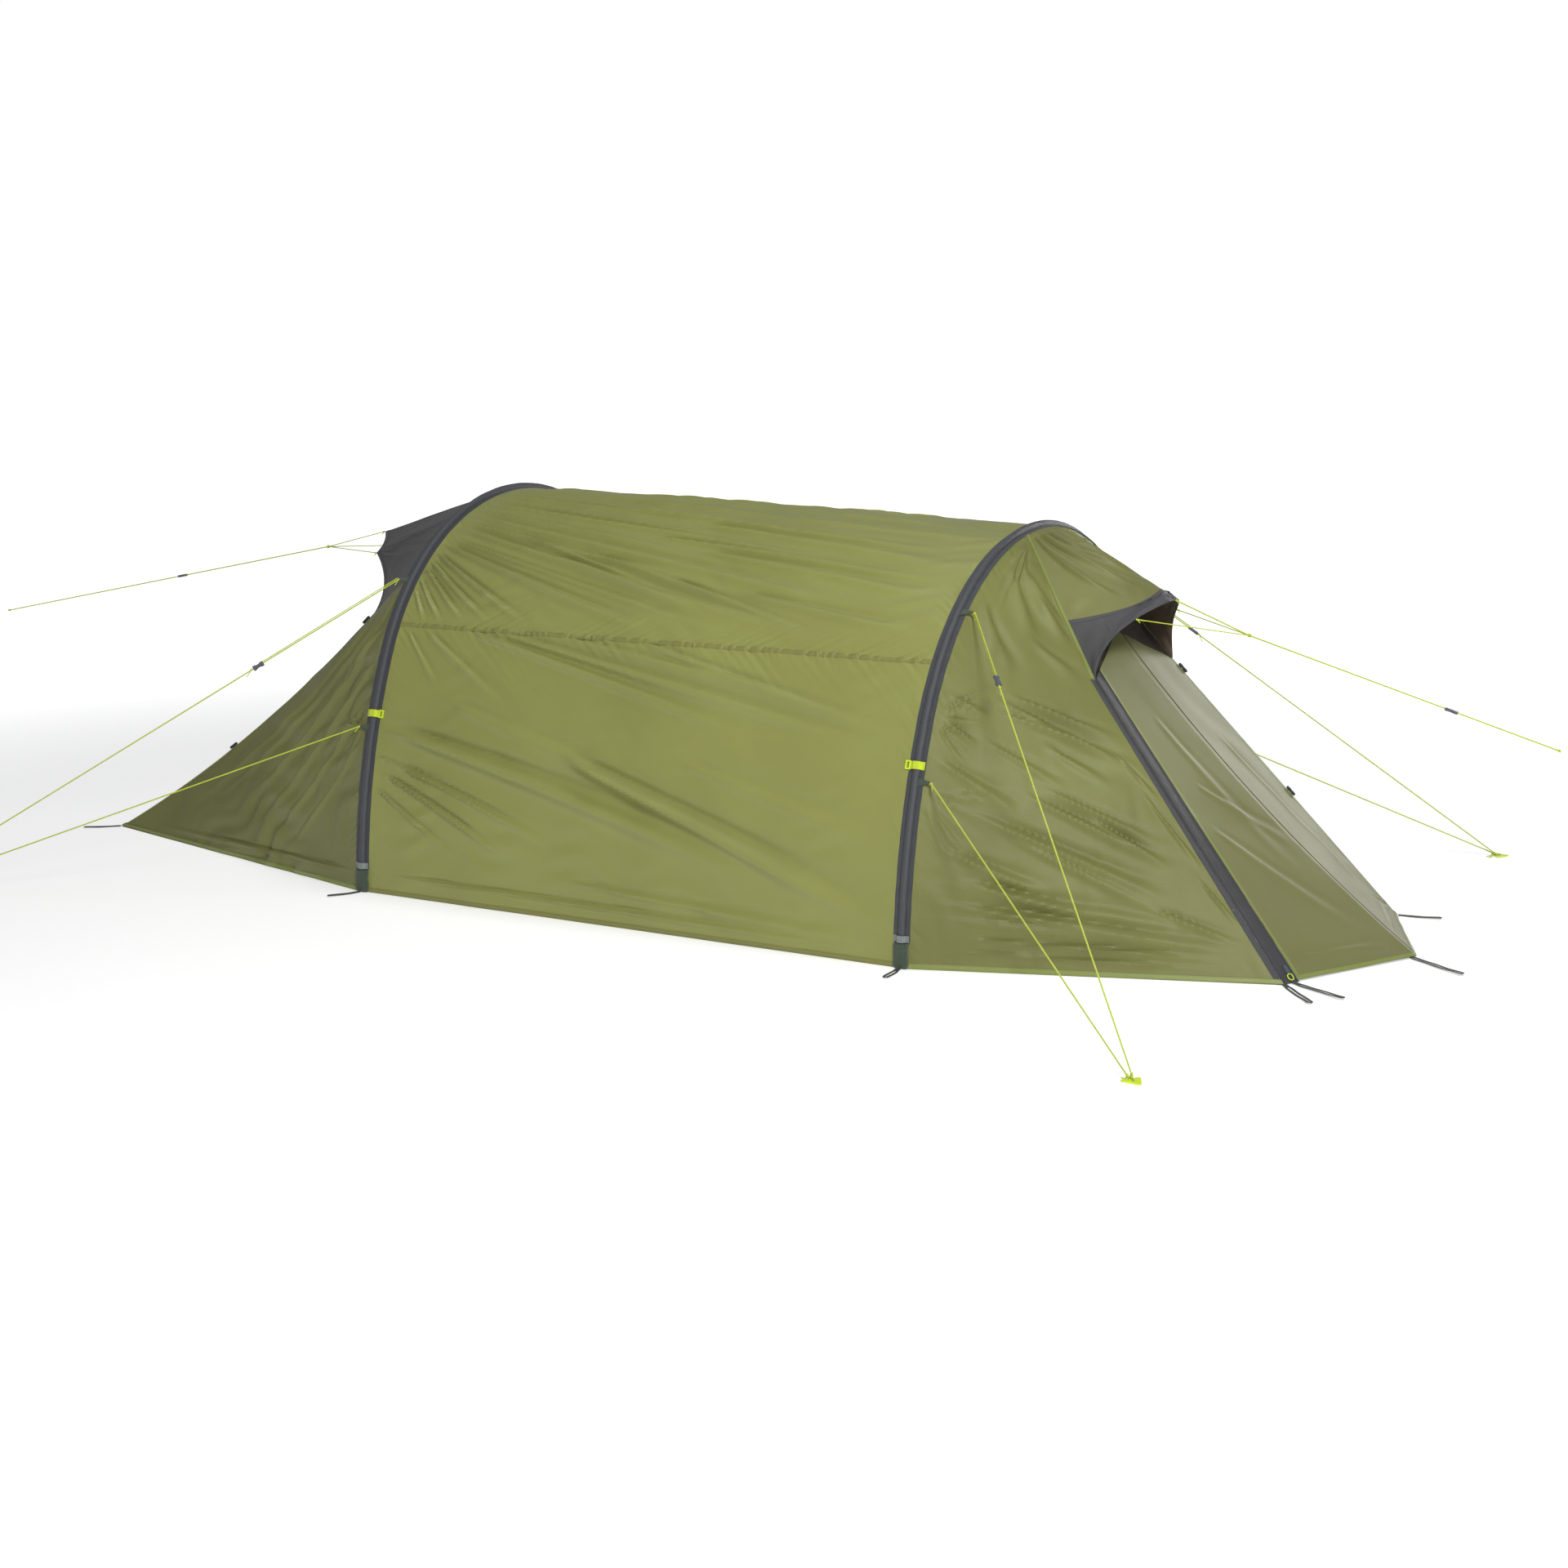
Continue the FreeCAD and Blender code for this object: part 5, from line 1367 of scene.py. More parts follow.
    def make_hood(self) -> None:
        """Dark hood with its hemmed arch."""
        across = np.linspace(0, 1, 190)[:, None]
        down = np.linspace(0, 1, 60)[None]
        points = between(self.hood_back(across[:, 0])[:, None], self.hood_rim(across[:, 0])[:, None], down)
        chart = pairs((across - 0.5) * self.hood_chart[0], down * self.hood_chart[1])
        folds: list[Fold] = [
            Billow(90.0, 0.09, 0.0012, 61, 2.0), Billow(0.0, 0.06, 0.0006, 63, 3.0),
        ] + creases([
            (-0.30, 0.02, -0.22, 0.15, 0.010, 0.0016), (-0.12, 0.02, -0.08, 0.15, 0.012, 0.0014),
        ])
        held = smooth((self.hood_chart[0] / 2 - np.abs(chart[..., 0])) / 0.02) * smooth(chart[..., 1] / 0.01)
        # The hood's inner side is coloured brown as painted light showing through the cloth.
        panel = Panel("front_hood_cloth", points, chart, self.heart, folds, held, HOOD_LINING_PAINTED_BACKLIGHT, HOOD)
        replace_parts(panel.make(), "front_hood")
        edge_tapes("front_hood_hem", panel, (("last_column", 0.0145, 0.027), ("first_column", 0.006, 0.010)),
                   0.0, HOOD_EDGE, GREY_THREAD)

    def make_cover(self) -> None:
        """Dark cover band over the zip."""
        down = np.linspace(0, 1, 260)[:, None]
        edge = np.linspace(0, 1, 26)[None]
        points = self.door_point(self.cover_share(down, edge), down)
        points[..., 2] = np.maximum(points[..., 2], 0.0012)
        chart = pairs(edge * self.cover_width, down * 0.96)
        folds: list[Fold] = [
            Billow(0.0, 0.05, 0.0006, 71, 5.0), Billow(90.0, 0.13, 0.0008, 73, 2.0),
        ] + creases([
            (0.012, 0.0, 0.012, 0.96, 0.004, 0.0012, 0.0, 0.05, 0.05),
        ])
        held = smooth(chart[..., 0] / 0.004)
        panel = Panel("zip_cover_cloth", points, chart, self.heart, folds, held, HOOD_LINING_PAINTED_BACKLIGHT, HOOD,
                      0.0012, -0.0016)
        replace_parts(panel.make(), "zip_cover")
        edge_tapes("zip_cover_hem", panel, (("last_column", 0.004, 0.006), ("first_column", 0.004, 0.006)),
                   0.0, HOOD, GREY_THREAD)

    def make_door(self) -> None:
        """Door cloth in one piece that stands for both the fixed top and the moving flap; it rides on no
        body.
        """
        across = np.linspace(0, 1, 2 * self.door_middle + 1)[None]
        down = np.linspace(0, 1, 200)[:, None]
        bottom = 1 - 0.0057 / self.door_top[1]
        depth = down * bottom
        start = self.cover_share(depth, 1.0) + 0.0035
        points = self.door_point(start + (1 - 0.0035 - start) * across, depth)
        half = np.linalg.norm(points[:, self.door_middle] - points[:, 0], axis=-1)[:, None]
        chart = pairs((across * 2 - 1) * half, down * 1.05)
        folds: list[Fold] = creases([
            (-0.30, 0.55, -0.10, 0.98, 0.030, 0.0030), (-0.16, 0.20, -0.12, 0.80, 0.030, 0.0024),
            (-0.22, 0.42, -0.02, 0.70, 0.024, 0.0026), (0.12, 0.30, 0.28, 0.95, 0.030, 0.0030),
            (-0.40, 0.98, -0.05, 1.00, 0.012, 0.0024), (0.05, 0.99, 0.40, 0.97, 0.012, 0.0030),
        ]) + [
            Fan((-0.46, 1.02), -60.0, -15.0, 5, 0.22, 0.010, 0.0016, 81),
            Fan((0.46, 1.02), 195.0, 245.0, 6, 0.26, 0.012, 0.0022, 85),
            Billow(70.0, 0.20, 0.0016, 83, 3.0), Billow(15.0, 0.30, 0.0014, 87, 2.0),
        ]
        held = smooth((half - np.abs(chart[..., 0])) / 0.02) * smooth(np.abs(chart[..., 0]) / 0.02)
        # The door takes the darker copy of the fly cloth, whose colour is painted shade.
        panel = Panel("door_cloth", points, chart, self.heart, folds, held, FLY_INSIDE, DOOR_PAINTED_SHADE)
        made = panel.make(None, declare=False)
        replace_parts(made, "door_top", "door_flap")
        panel.declare(made)
        self.bend(made)
        self.door_tapes(panel)

    def bend(self, made: bpy.types.Object, width: float = 0.0) -> None:
        """Bake a door piece's transform into its mesh; the turn from the fixed top into the moving flap is
        worked out but not applied.

        Args:
            made: the piece.
            width: width of the tape, or 0 for a piece that is no tape.
        """
        start, end = (tuple(self.door_point(*place)) for place in (self.bend_start, self.bend_end))
        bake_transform(made)
        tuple(start)
        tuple(end)
        if width:
            declare_tape(made, width)

    def door_tapes(self, panel: Panel) -> None:
        """Seam down the door's ridge and its hems."""
        raised, normal = panel.surface()
        tapes, threads, ridge = Bundle(), Bundle(), Bundle()
        middle = self.door_middle
        side = unit(raised[:, middle + 4] - raised[:, middle - 4])
        line, up = raised[:, middle], normal[:, middle]
        # The ridge seam's strip is coloured dark as painted shadow along the fold.
        ridge.add(*ribbon(line + up * 0.0001, side, up, 0.0034, 0.0011))
        for offset in (-0.004, 0.004):
            stitch_row(threads, line + side * offset + up * 0.0004, up)
        down = unit(raised[-1] - raised[-4])
        tapes.add(*ribbon(raised[-1] - down * 0.007 + normal[-1] * 0.0001, down, normal[-1], 0.013, 0.0007))
        stitch_row(threads, raised[-1] - down * 0.012 + normal[-1] * 0.001, normal[-1])
        for column, step in ((0, 6), (-1, -7)):
            aside = unit(raised[:, column + step] - raised[:, column])
            path = raised[:, column] + aside * 0.005 + normal[:, column] * 0.0001
            tapes.add(*ribbon(path, aside, normal[:, column], 0.009, 0.0007))
            stitch_row(threads, path + aside * 0.002 + normal[:, column] * 0.0007, normal[:, column])
        self.bend(tapes.make("door_tapes", (HEM,), None), 0.0101)
        self.bend(threads.make("door_stitches", (THREAD,), None))
        self.bend(ridge.make("door_ridge_seam_painted_shadow", (SEAM_PAINTED_SHADOW,), None))

    def make_vent(self) -> None:
        """Net between the door's top edge and the roof."""
        share = np.linspace(0, 1, 120)
        side = np.abs(2 * share - 1)
        seam_part, crown_z = 0.25, self.seam_top[2] - 0.075
        low = self.door_point(share, np.zeros_like(share))
        near = between(self.hood_low, self.hood_corner, np.clip((1 - side) / seam_part, 0, 1))
        reach = np.clip(side / (1 - seam_part), 0, 1)
        far = np.stack([np.full_like(reach, self.hood_corner[0]), self.hood_corner[1] * reach,
                        self.hood_corner[2] + (crown_z - self.hood_corner[2]) * (1 - reach ** 2)], axis=-1)
        high = np.where((side > 1 - seam_part)[:, None], near, far)
        high = np.where((share > 0.5)[:, None], flipped(high), high)
        net_panel("front_vent_net", low, high, self.heart, (0.62, 0.30))

    def make(self) -> None:
        """Build the whole porch."""
        self.make_sides()
        self.make_roof()
        self.make_hood()
        self.make_cover()
        self.make_door()
        self.make_vent()


def net_panel(name: str, low: Array, high: Array, heart: Triple, flat: Pair) -> None:
    """Net between two edges, just inside the cloth that it is sewn to.

    Args:
        name: the piece's name.
        low: lower edge.
        high: upper edge.
        heart: point on the inner side.
        flat: size of its weave.
    """
    share = np.linspace(0.02, 0.97, 50)[None]
    points = between(low[:, None], high[:, None], share)
    inward = unit(np.array(heart) - points)
    points = points + inward * 0.0045
    run = np.linspace(0, flat[0], len(low))[:, None]
    chart = pairs(run, share * flat[1])
    panel = Panel(name, points, chart, heart, (Billow(90.0, 0.11, 0.0020, 91, 2.0),), None, NET, NET)
    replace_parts(panel.make(), "vent_meshes")


def declare_tape(made: bpy.types.Object, width: float) -> None:
    """Work out the whole length of sewn tapes as one sheet of their width; the result is not used."""
    wide = max(width, 0.0101)
    sum(face.area for face in made.data.polygons) / 2 / wide


def edge_tapes(name: str, panel: Panel, edges: Sequence[tuple[str, float, float]], floor: float = 0.0,
               finish: Finish = HEM, thread: Finish = THREAD, part: slice = slice(None)) -> None:
    """Sewn tapes along edges of a panel, with a row of stitches on each side.

    Args:
        name: name of the tapes; their stitches add a word.
        panel: the cloth.
        edges: which edge, distance of the tape's middle from it, and tape width.
        floor: lowest height of the tape's middle.
        finish: finish of the tape.
        thread: finish of the stitches.
        part: which points of the edge they cover.
    """
    raised, normal = panel.surface()
    tapes, threads = Bundle(), Bundle()
    for edge, inset, width in edges:
        index, next_in = (0, 3) if edge.startswith("first") else (-1, -5)
        if edge.endswith("column"):
            line, near, up = raised[:, index], raised[:, next_in], normal[:, index]
        else:
            line, near, up = raised[index], raised[next_in], normal[index]
        line, near, up = line[part], near[part], up[part]
        far = np.linalg.norm(near - line, axis=-1) > 1e-5
        line, near, up = line[far], near[far], up[far]
        inner = unit(near - line)
        path = line + inner * inset
        path[:, 2] = np.maximum(path[:, 2], floor)
        tapes.add(*ribbon(path + up * 0.0001, inner, up, width, 0.0007))
        for offset in (-width * 0.32, width * 0.32):
            stitch_row(threads, path + inner * offset + up * 0.0009, up)
    declare_tape(tapes.make(name, (finish,)), max(width for _, _, width in edges))
    threads.make(name + "_stitches", (thread,))


# ---------------------------------------------------------------- rear end

@dataclass
class RearEnd:
    """Closed rear end: two side panels, the back, and a scalloped hood."""

    low: Triple = (0.322, -0.330, 0.762)
    corner: Triple = (1.352, -0.430, 0.0)
    anchor: Triple = (0.417, -0.200, 0.935)
    tip: Pair = (0.545, 0.985)
    seam_z: float = 0.905
    edge_sag: float = 0.042
    low_scallop: float = 0.026
    top_scallop: float = 0.010
    sleeve_half: float = 0.020
    side_drop: float = 1.15
    back_drop: float = 1.28
    hood_chart: Pair = (1.3, 0.5)

    def __post_init__(self) -> None:
        """Work out the corners from the hoop's place."""
        self.hood_low = np.array([REAR.x - self.low[0], self.low[1], self.low[2]])
        self.foot = np.array([REAR.x - self.corner[0], self.corner[1], 0.0])
        self.side_point = np.array([REAR.x - self.anchor[0], self.anchor[1], self.anchor[2]])
        self.top = np.array([REAR.x - self.tip[0], 0.0, self.tip[1]])
        self.seam_run = REAR.run_at_height(self.seam_z)
        self.heart = (REAR.x - 0.15, 0.0, 0.2)

    def side_edge(self, share: Array) -> Array:
        """Hoop side of a side panel."""
        return REAR.points(self.seam_run + (REAR.half_length - self.seam_run) * share, 0.0, -self.sleeve_half)

    def edge(self, share: Array) -> Array:
        """Hollow corner edge from the hood to the peg."""
        share = np.asarray(share, float)
        dip = self.edge_sag * 4 * share * (1 - share)
        return between(self.hood_low, self.foot, share) + dip[..., None] * np.array([0.6, 0.0, -0.8])

    def scallop(self, a: Array, b: Array, share: Array, depth: float) -> Array:
        """Hollow edge between two pulled points."""
        middle = np.array([REAR.x, 0.0, (a[2] + b[2]) / 2])
        pull = unit(middle - (a + b) / 2)
        return between(a, b, share) + pull * (depth * 4 * share * (1 - share))[..., None]

    def rim(self, share: Array) -> Array:
        """Free edge of the hood, from right to left."""
        share = np.asarray(share, float)
        side = np.abs(2 * share - 1)
        lower = self.scallop(self.side_point, self.hood_low, np.clip(2 * side - 1, 0, 1), self.low_scallop)
        upper = self.scallop(self.top, self.side_point, np.clip(2 * side, 0, 1), self.top_scallop)
        points = np.where((side > 0.5)[:, None], lower, upper)
        return np.where((share < 0.5)[:, None], points, flipped(points))

    def crown(self, share: Array) -> Array:
        """Hoop side of the hood, from right to left."""
        return REAR.points(self.seam_run * (1 - 2 * np.asarray(share, float)), 0.0, -self.sleeve_half)

    def make_sides(self) -> None:
        """Side panels with folds pulled toward the corner pegs."""
        down = np.linspace(0, 1, 190)[:, None]
        across = np.linspace(0, 1, 200)[None]
        first, last = self.side_edge(down[:, 0]), self.edge(down[:, 0])
        points = between(first[:, None], last[:, None], across)
        wide = np.linalg.norm(last - first, axis=-1)[:, None]
        chart = pairs(across * wide, down * self.side_drop)
        folds: list[Fold] = creases([
            (0.02, 0.16, 0.75, 0.98, 0.024, 0.0070), (0.02, 0.30, 0.60, 1.02, 0.022, 0.0064),
            (0.02, 0.45, 0.50, 1.06, 0.020, 0.0056), (0.10, 0.10, 0.95, 0.98, 0.022, 0.0056),
            (0.20, 0.06, 1.05, 1.00, 0.018, 0.0044), (0.02, 0.62, 0.40, 1.08, 0.014, 0.0036),
            (0.03, 0.05, 0.30, 0.42, 0.012, 0.0040), (0.02, 1.08, 1.25, 1.10, 0.012, 0.0036),
        ]) + [
            Fan((0.0, 0.52), 5.0, 65.0, 7, 0.30, 0.012, 0.0030, 101), Billow(48.0, 0.12, 0.0024, 103, 4.0),
            Billow(20.0, 0.24, 0.0024, 105, 3.0), Pucker(0.0, 0.022, 0.032, 0.0016, 107, 0.8, True),
        ]
        held = smooth(chart[..., 0] / 0.012) * smooth((wide - chart[..., 0]) / 0.020)
        held = held * (0.25 + 0.75 * smooth((self.side_drop - chart[..., 1]) / 0.03))
        held = held * smooth(chart[..., 1] / 0.015)
        for name, node, mirror in (("rear_right_cloth", "rear_right_panel", False),
                                   ("rear_left_cloth", "rear_left_panel", True)):
            placed = flipped(points) if mirror else points
            # The rear sides take the darker copy of the fly cloth, whose colour is painted shade.
            panel = Panel(name, placed, chart, self.heart, folds, held, FLY_INSIDE, FLY_PAINTED_SHADE, gain=2.4)
            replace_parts(panel.make(), node)
            edge_tapes(name.replace("cloth", "hem"), panel, (("last_row", 0.007, 0.014),), 0.0075)
            edge_tapes(name.replace("cloth", "seam"), panel, (("last_column", 0.0060, 0.0105),))

    def make_back(self) -> None:
        """Back panel between the two corner edges."""
        down = np.linspace(0, 1, 190)[:, None]
        across = np.linspace(0, 1, 150)[None]
        edge = self.edge(down[:, 0])
        points = between(edge[:, None], flipped(edge)[:, None], across)
        chart = pairs((across - 0.5) * 2 * -edge[:, None, 1], down * self.back_drop)
        folds: list[Fold] = [
            Fan((-0.30, 0.02), 55.0, 88.0, 5, 0.9, 0.022, 0.0044, 111),
            Fan((0.30, 0.02), 92.0, 125.0, 5, 0.9, 0.022, 0.0044, 113),
            Fan((-0.42, 1.26), -70.0, -10.0, 6, 0.5, 0.018, 0.0036, 115),
            Fan((0.42, 1.26), 190.0, 250.0, 6, 0.5, 0.018, 0.0036, 117),
            Billow(80.0, 0.16, 0.0024, 119, 3.0),
        ]
        held = smooth((-edge[:, None, 1] - np.abs(chart[..., 0])) / 0.02) * smooth(chart[..., 1] / 0.015)
        panel = Panel("rear_back_cloth", points, chart, self.heart, folds,
                      held * (0.25 + 0.75 * smooth((self.back_drop - chart[..., 1]) / 0.03)))
        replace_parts(panel.make(), "rear_back_panel")
        edge_tapes("rear_back_hem", panel, (("last_row", 0.007, 0.014),), 0.0075)

    def make_hood(self) -> None:
        """Dark hood from the rear hoop to its scalloped edge."""
        share = np.linspace(0, 1, 240)[:, None]
        down = np.linspace(0, 1, 110)[None]
        points = between(self.crown(share[:, 0])[:, None], self.rim(share[:, 0])[:, None], down)
        chart = pairs((share - 0.5) * self.hood_chart[0], down * self.hood_chart[1])
        folds: list[Fold] = creases([
            (-0.02, 0.02, -0.005, 0.46, 0.012, 0.0030), (-0.50, 0.02, -0.34, 0.44, 0.018, 0.0044),
            (-0.36, 0.02, -0.30, 0.44, 0.016, 0.0036), (0.50, 0.02, 0.34, 0.44, 0.018, 0.0044),
            (0.36, 0.02, 0.30, 0.44, 0.016, 0.0036),
        ]) + [
            Fan((-0.325, 0.50), -120.0, -60.0, 5, 0.3, 0.012, 0.0024, 121),
            Fan((0.325, 0.50), -120.0, -60.0, 5, 0.3, 0.012, 0.0024, 123),
            Billow(90.0, 0.12, 0.0016, 125, 3.0),
        ]
        held = smooth((self.hood_chart[0] / 2 - np.abs(chart[..., 0])) / 0.02) * smooth(chart[..., 1] / 0.012)
        # The hood's inner side is coloured brown as painted light showing through the cloth.
        panel = Panel("rear_hood_cloth", points, chart, self.heart, folds, held, HOOD_LINING_PAINTED_BACKLIGHT, HOOD)
        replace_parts(panel.make(), "rear_hood")
        edge_tapes("rear_hood_hem", panel, (("last_column", 0.009, 0.016), ("first_row", 0.006, 0.010),
                                            ("last_row", 0.006, 0.010)), 0.0, HOOD, GREY_THREAD)

    def make_vent(self) -> None:
        """Net behind the hood, above the back panel."""
        share = np.linspace(0, 1, 120)
        low = between(self.hood_low, flipped(self.hood_low), share)
        high = between(self.crown(share), self.rim(share), 1 - 0.35 * np.sin(math.pi * share))
        net_panel("rear_vent_net", low, high, self.heart, (0.66, 0.26))

    def make(self) -> None:
        """Build the whole rear end."""
        self.make_sides()
        self.make_back()
        self.make_hood()
        self.make_vent()


# ---------------------------------------------------------------- sleeves and feet

@dataclass
class Sleeves:
    """Pole sleeves of one hoop with their foot pockets, bands, straps and guy tabs."""

    end: str
    hoop: Hoop
    ahead: int
    half_flange: float = 0.0235
    half_channel: float = 0.0108
    rise: float = 0.0105
    crown_swell: float = 0.5
    flange_top: float = 0.0011
    end_height: float = 0.067
    strap_height: float = 0.520
    band_height: float = 0.078
    wrap_half: float = 0.0222
    wrap_gap: float = 0.0004
    band: Pair = (0.018, 0.0015)
    strap: Pair = (0.021, 0.0016)
    pocket_height: float = 0.066
    tab_heights: Pair = (0.897, 0.480)

    def cover_height(self, place: Array) -> Array:
        """Height of the sleeve's outer side over the pole's middle, across the sleeve."""
        share = np.clip(np.abs(place) / self.half_channel, 0, 1)
        bulge = (1 - share ** 2.4) ** 0.62
        return self.flange_top + (self.rise - self.flange_top) * bulge

    def profile(self) -> tuple[Array, Array]:
        """Closed outline of the sleeve: distance ahead and outward."""
        side = self.half_flange
        top = np.concatenate([np.linspace(-side, -self.half_channel - 0.0006, 5),
                              -self.half_channel * np.cos(np.linspace(0, math.pi, 17)),
                              np.linspace(self.half_channel + 0.0006, side, 5)])
        under = np.linspace(side, -side, 21)
        sag = np.clip(1 - (under / self.half_channel) ** 2, 0, 1) ** 0.5
        return np.concatenate([top, under]), np.concatenate([self.cover_height(top), -0.0012 - 0.0058 * sag])

    def make_sleeve(self) -> None:
        """Sleeve swept along the hoop, lightly puckered beside its seams."""
        ahead, out = self.profile()
        limit = self.hoop.run_at_height(self.end_height)
        runs = np.linspace(-limit, limit, 520)[:, None]
        seed = 3 if self.ahead > 0 else 5
        ripple = wave_mix(runs / 0.034, seed) * 0.00035 + wave_mix(runs / 0.11, seed + 1) * 0.0004
        taper = np.exp(-((np.abs(ahead) - self.half_channel) / 0.006) ** 2)[None]
        tilt = wave_mix(runs / 0.05, seed + 2) * np.sign(ahead)[None] * 0.00025
        swell = 1 + self.crown_swell * (1 - (runs / limit) ** 2) ** 5
        height = np.where(out > 0, out * swell, out) + (ripple + tilt) * (0.35 + 0.65 * taper)
        place = ahead[None] + wave_mix(runs / 0.09, seed + 3) * 0.00035
        points = self.hoop.points(runs, height, place)
        arc = np.concatenate([[0], np.cumsum(np.hypot(np.diff(ahead), np.diff(out)))])
        chart = pairs(runs, arc[None])
        made = new_object(f"{self.end}_sleeve_cloth", points, tube_faces(len(runs), len(ahead)), (SLEEVE,),
                          "tent", None, chart)
        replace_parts(made, f"{self.end}_sleeve")
        2 * limit
        threads = Bundle()
        path_runs = np.linspace(-limit, limit, 900)
        for aside in (-0.0214, -0.0128, 0.0128, 0.0214):
            path = self.hoop.points(path_runs, self.flange_top + 0.0004, aside)
            stitch_row(threads, path, self.hoop.outward(path_runs), 0.0055, 0.0038, 0.0008)
        threads.make(f"{self.end}_sleeve_stitches", (GREY_THREAD,))

    def wrap(self, run: float, length: float, thickness: float) -> tuple[Array, Array, Array]:
        """Tape over the sleeve, following its shape.

        Args:
            run: where its middle lies along the hoop.
            length: tape width along the hoop.
            thickness: tape thickness.

        Returns:
            Outer grid, inner grid and chart.
        """
        place = np.linspace(-self.wrap_half, self.wrap_half, 41)[None]
        runs = run + np.linspace(-length / 2, length / 2, 13)[:, None]
        reach = np.clip((np.abs(place) - 0.0070) / 0.0085, 0, 1)
        base = self.flange_top + (self.rise + 0.0003 - self.flange_top) * (1 - smooth(reach)) + self.wrap_gap
        crown = 0.0004 * np.cos(np.linspace(-1, 1, 13) * math.pi / 2)[:, None]
        outer = self.hoop.points(runs, base + thickness + crown, place)
        inner = self.hoop.points(runs, base, place)
        return outer, inner, pairs(place, runs)

    def make_bands(self) -> None:
        """Pale bands above the foot pockets and lime straps half way up."""
        bands, straps, threads = Bundle(), Bundle(), Bundle()
        band_run = self.hoop.run_at_height(self.band_height)
        strap_run = self.hoop.run_at_height(self.strap_height)
        for sign in (1, -1):
            for bundle, run, size in ((bands, band_run, self.band), (straps, strap_run, self.strap)):
                outer, inner, chart = self.wrap(sign * run, *size)
                bundle.add_sheet(outer, inner, chart, sign < 0)
            for row in (1, -2):
                outer, _, _ = self.wrap(sign * strap_run, *self.strap)
                up = np.broadcast_to(self.hoop.outward(np.array(sign * strap_run)), outer[row].shape)
                stitch_row(threads, outer[row] + up * 0.0002, up, 0.0045, 0.003, 0.0007)
        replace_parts(bands.make(f"{self.end}_foot_band_tape", (BAND,)), "foot_bands")
        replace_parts(straps.make(f"{self.end}_strap_webbing", (LIME_TAPE,)), "sleeve_straps")
        threads.make(f"{self.end}_strap_stitches", (LIME_TAPE,))

    def make_tabs(self) -> None:
        """Guy tabs of folded webbing that taper to their tips."""
        tabs, threads = Bundle(), Bundle()
        for height in self.tab_heights:
            for sign in (1, -1):
                run = sign * self.hoop.run_at_height(height)
                share = np.linspace(0, 1, 26)
                reach = self.ahead * (0.0100 + 0.0345 * share)
                path = self.hoop.points(np.full_like(share, run), 0.0014 + 0.0004 * share, reach)
                up = self.hoop.outward(np.full_like(share, run))
                side = np.cross(up, (1.0, 0.0, 0.0))
                tabs.add(*ribbon(path, side, up, 0.022 - 0.015 * smooth(share / 0.95), 0.0024))
                for aside in (-1, 1):
                    line = path + side * (aside * (0.0090 - 0.0062 * smooth(share / 0.95)))[:, None]
                    stitch_row(threads, line + up * 0.0025, up, 0.004, 0.0028, 0.0007)
                eye = np.linspace(0, 2 * math.pi, 25)
                middle = self.hoop.points(np.full_like(eye, run), 0.0026, self.ahead * 0.0435)
                ring = middle + side[0] * (np.sin(eye) * 0.0026)[:, None]
                ring = ring + np.array([1.0, 0, 0]) * (np.cos(eye) * 0.0022 * self.ahead)[:, None]
                tabs.add(*tube(ring, 0.0008, 8))
        made = tabs.make(f"{self.end}_guy_tab_webbing", (POCKET,))
        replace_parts(made, "guy_tabs")
        threads.make(f"{self.end}_guy_tab_stitches", (GREY_THREAD,))

    def make_pockets(self) -> None:
        """Foot pockets sewn flat round the pole ends, with a hem at the top."""
        for side, sign in (("right", -1), ("left", 1)):
            share = np.linspace(0, 1, 40)[:, None]
            angle = np.linspace(0, 2 * math.pi, 64, endpoint=False)[None]
            cos, sin = np.cos(angle), np.sin(angle)
            wide = 0.0215 - 0.0010 * share - 0.0030 * (1 - smooth(share / 0.14))
            deep = 0.0122 - 0.0022 * share ** 2 - 0.0030 * (1 - smooth(share / 0.14))
            lumps = 0.0005 * np.sin(3 * angle + 5 * share) * smooth(share * 4) * (1 - share)
            hem = 0.0006 * (smooth((share - 0.84) / 0.03) - smooth((share - 0.975) / 0.02))
            x = (wide + lumps + hem) * np.sign(cos) * np.abs(cos) ** 0.62
            y = (deep + lumps + hem) * np.sign(sin) * np.abs(sin) ** 0.62
            z = np.broadcast_to(self.pocket_height * share, x.shape)
            points = np.stack([self.hoop.x + x, sign * self.hoop.half_width + y, z], axis=-1)
            chart = pairs(angle * 0.018, share * self.pocket_height)
            made = new_object(f"{self.end}_{side}_pocket_canvas", points, tube_faces(40, 64), (POCKET,),
                              "tent", None, chart, 60.0)
            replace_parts(made, f"{self.end}_{side}_foot_pocket")
            threads = Bundle()
            for row in (33, 37):
                ring = np.concatenate([points[row], points[row, :1]])
                up = unit(ring - points[row].mean(axis=0))
                stitch_row(threads, ring + up * 0.0003, up, 0.0045, 0.003, 0.0007)
            threads.make(f"{self.end}_{side}_pocket_stitches", (GREY_THREAD,))

    def make(self) -> None:
        """Build everything on this hoop."""
        self.make_sleeve()
        self.make_bands()
        self.make_tabs()
        self.make_pockets()


# ---------------------------------------------------------------- inner tent

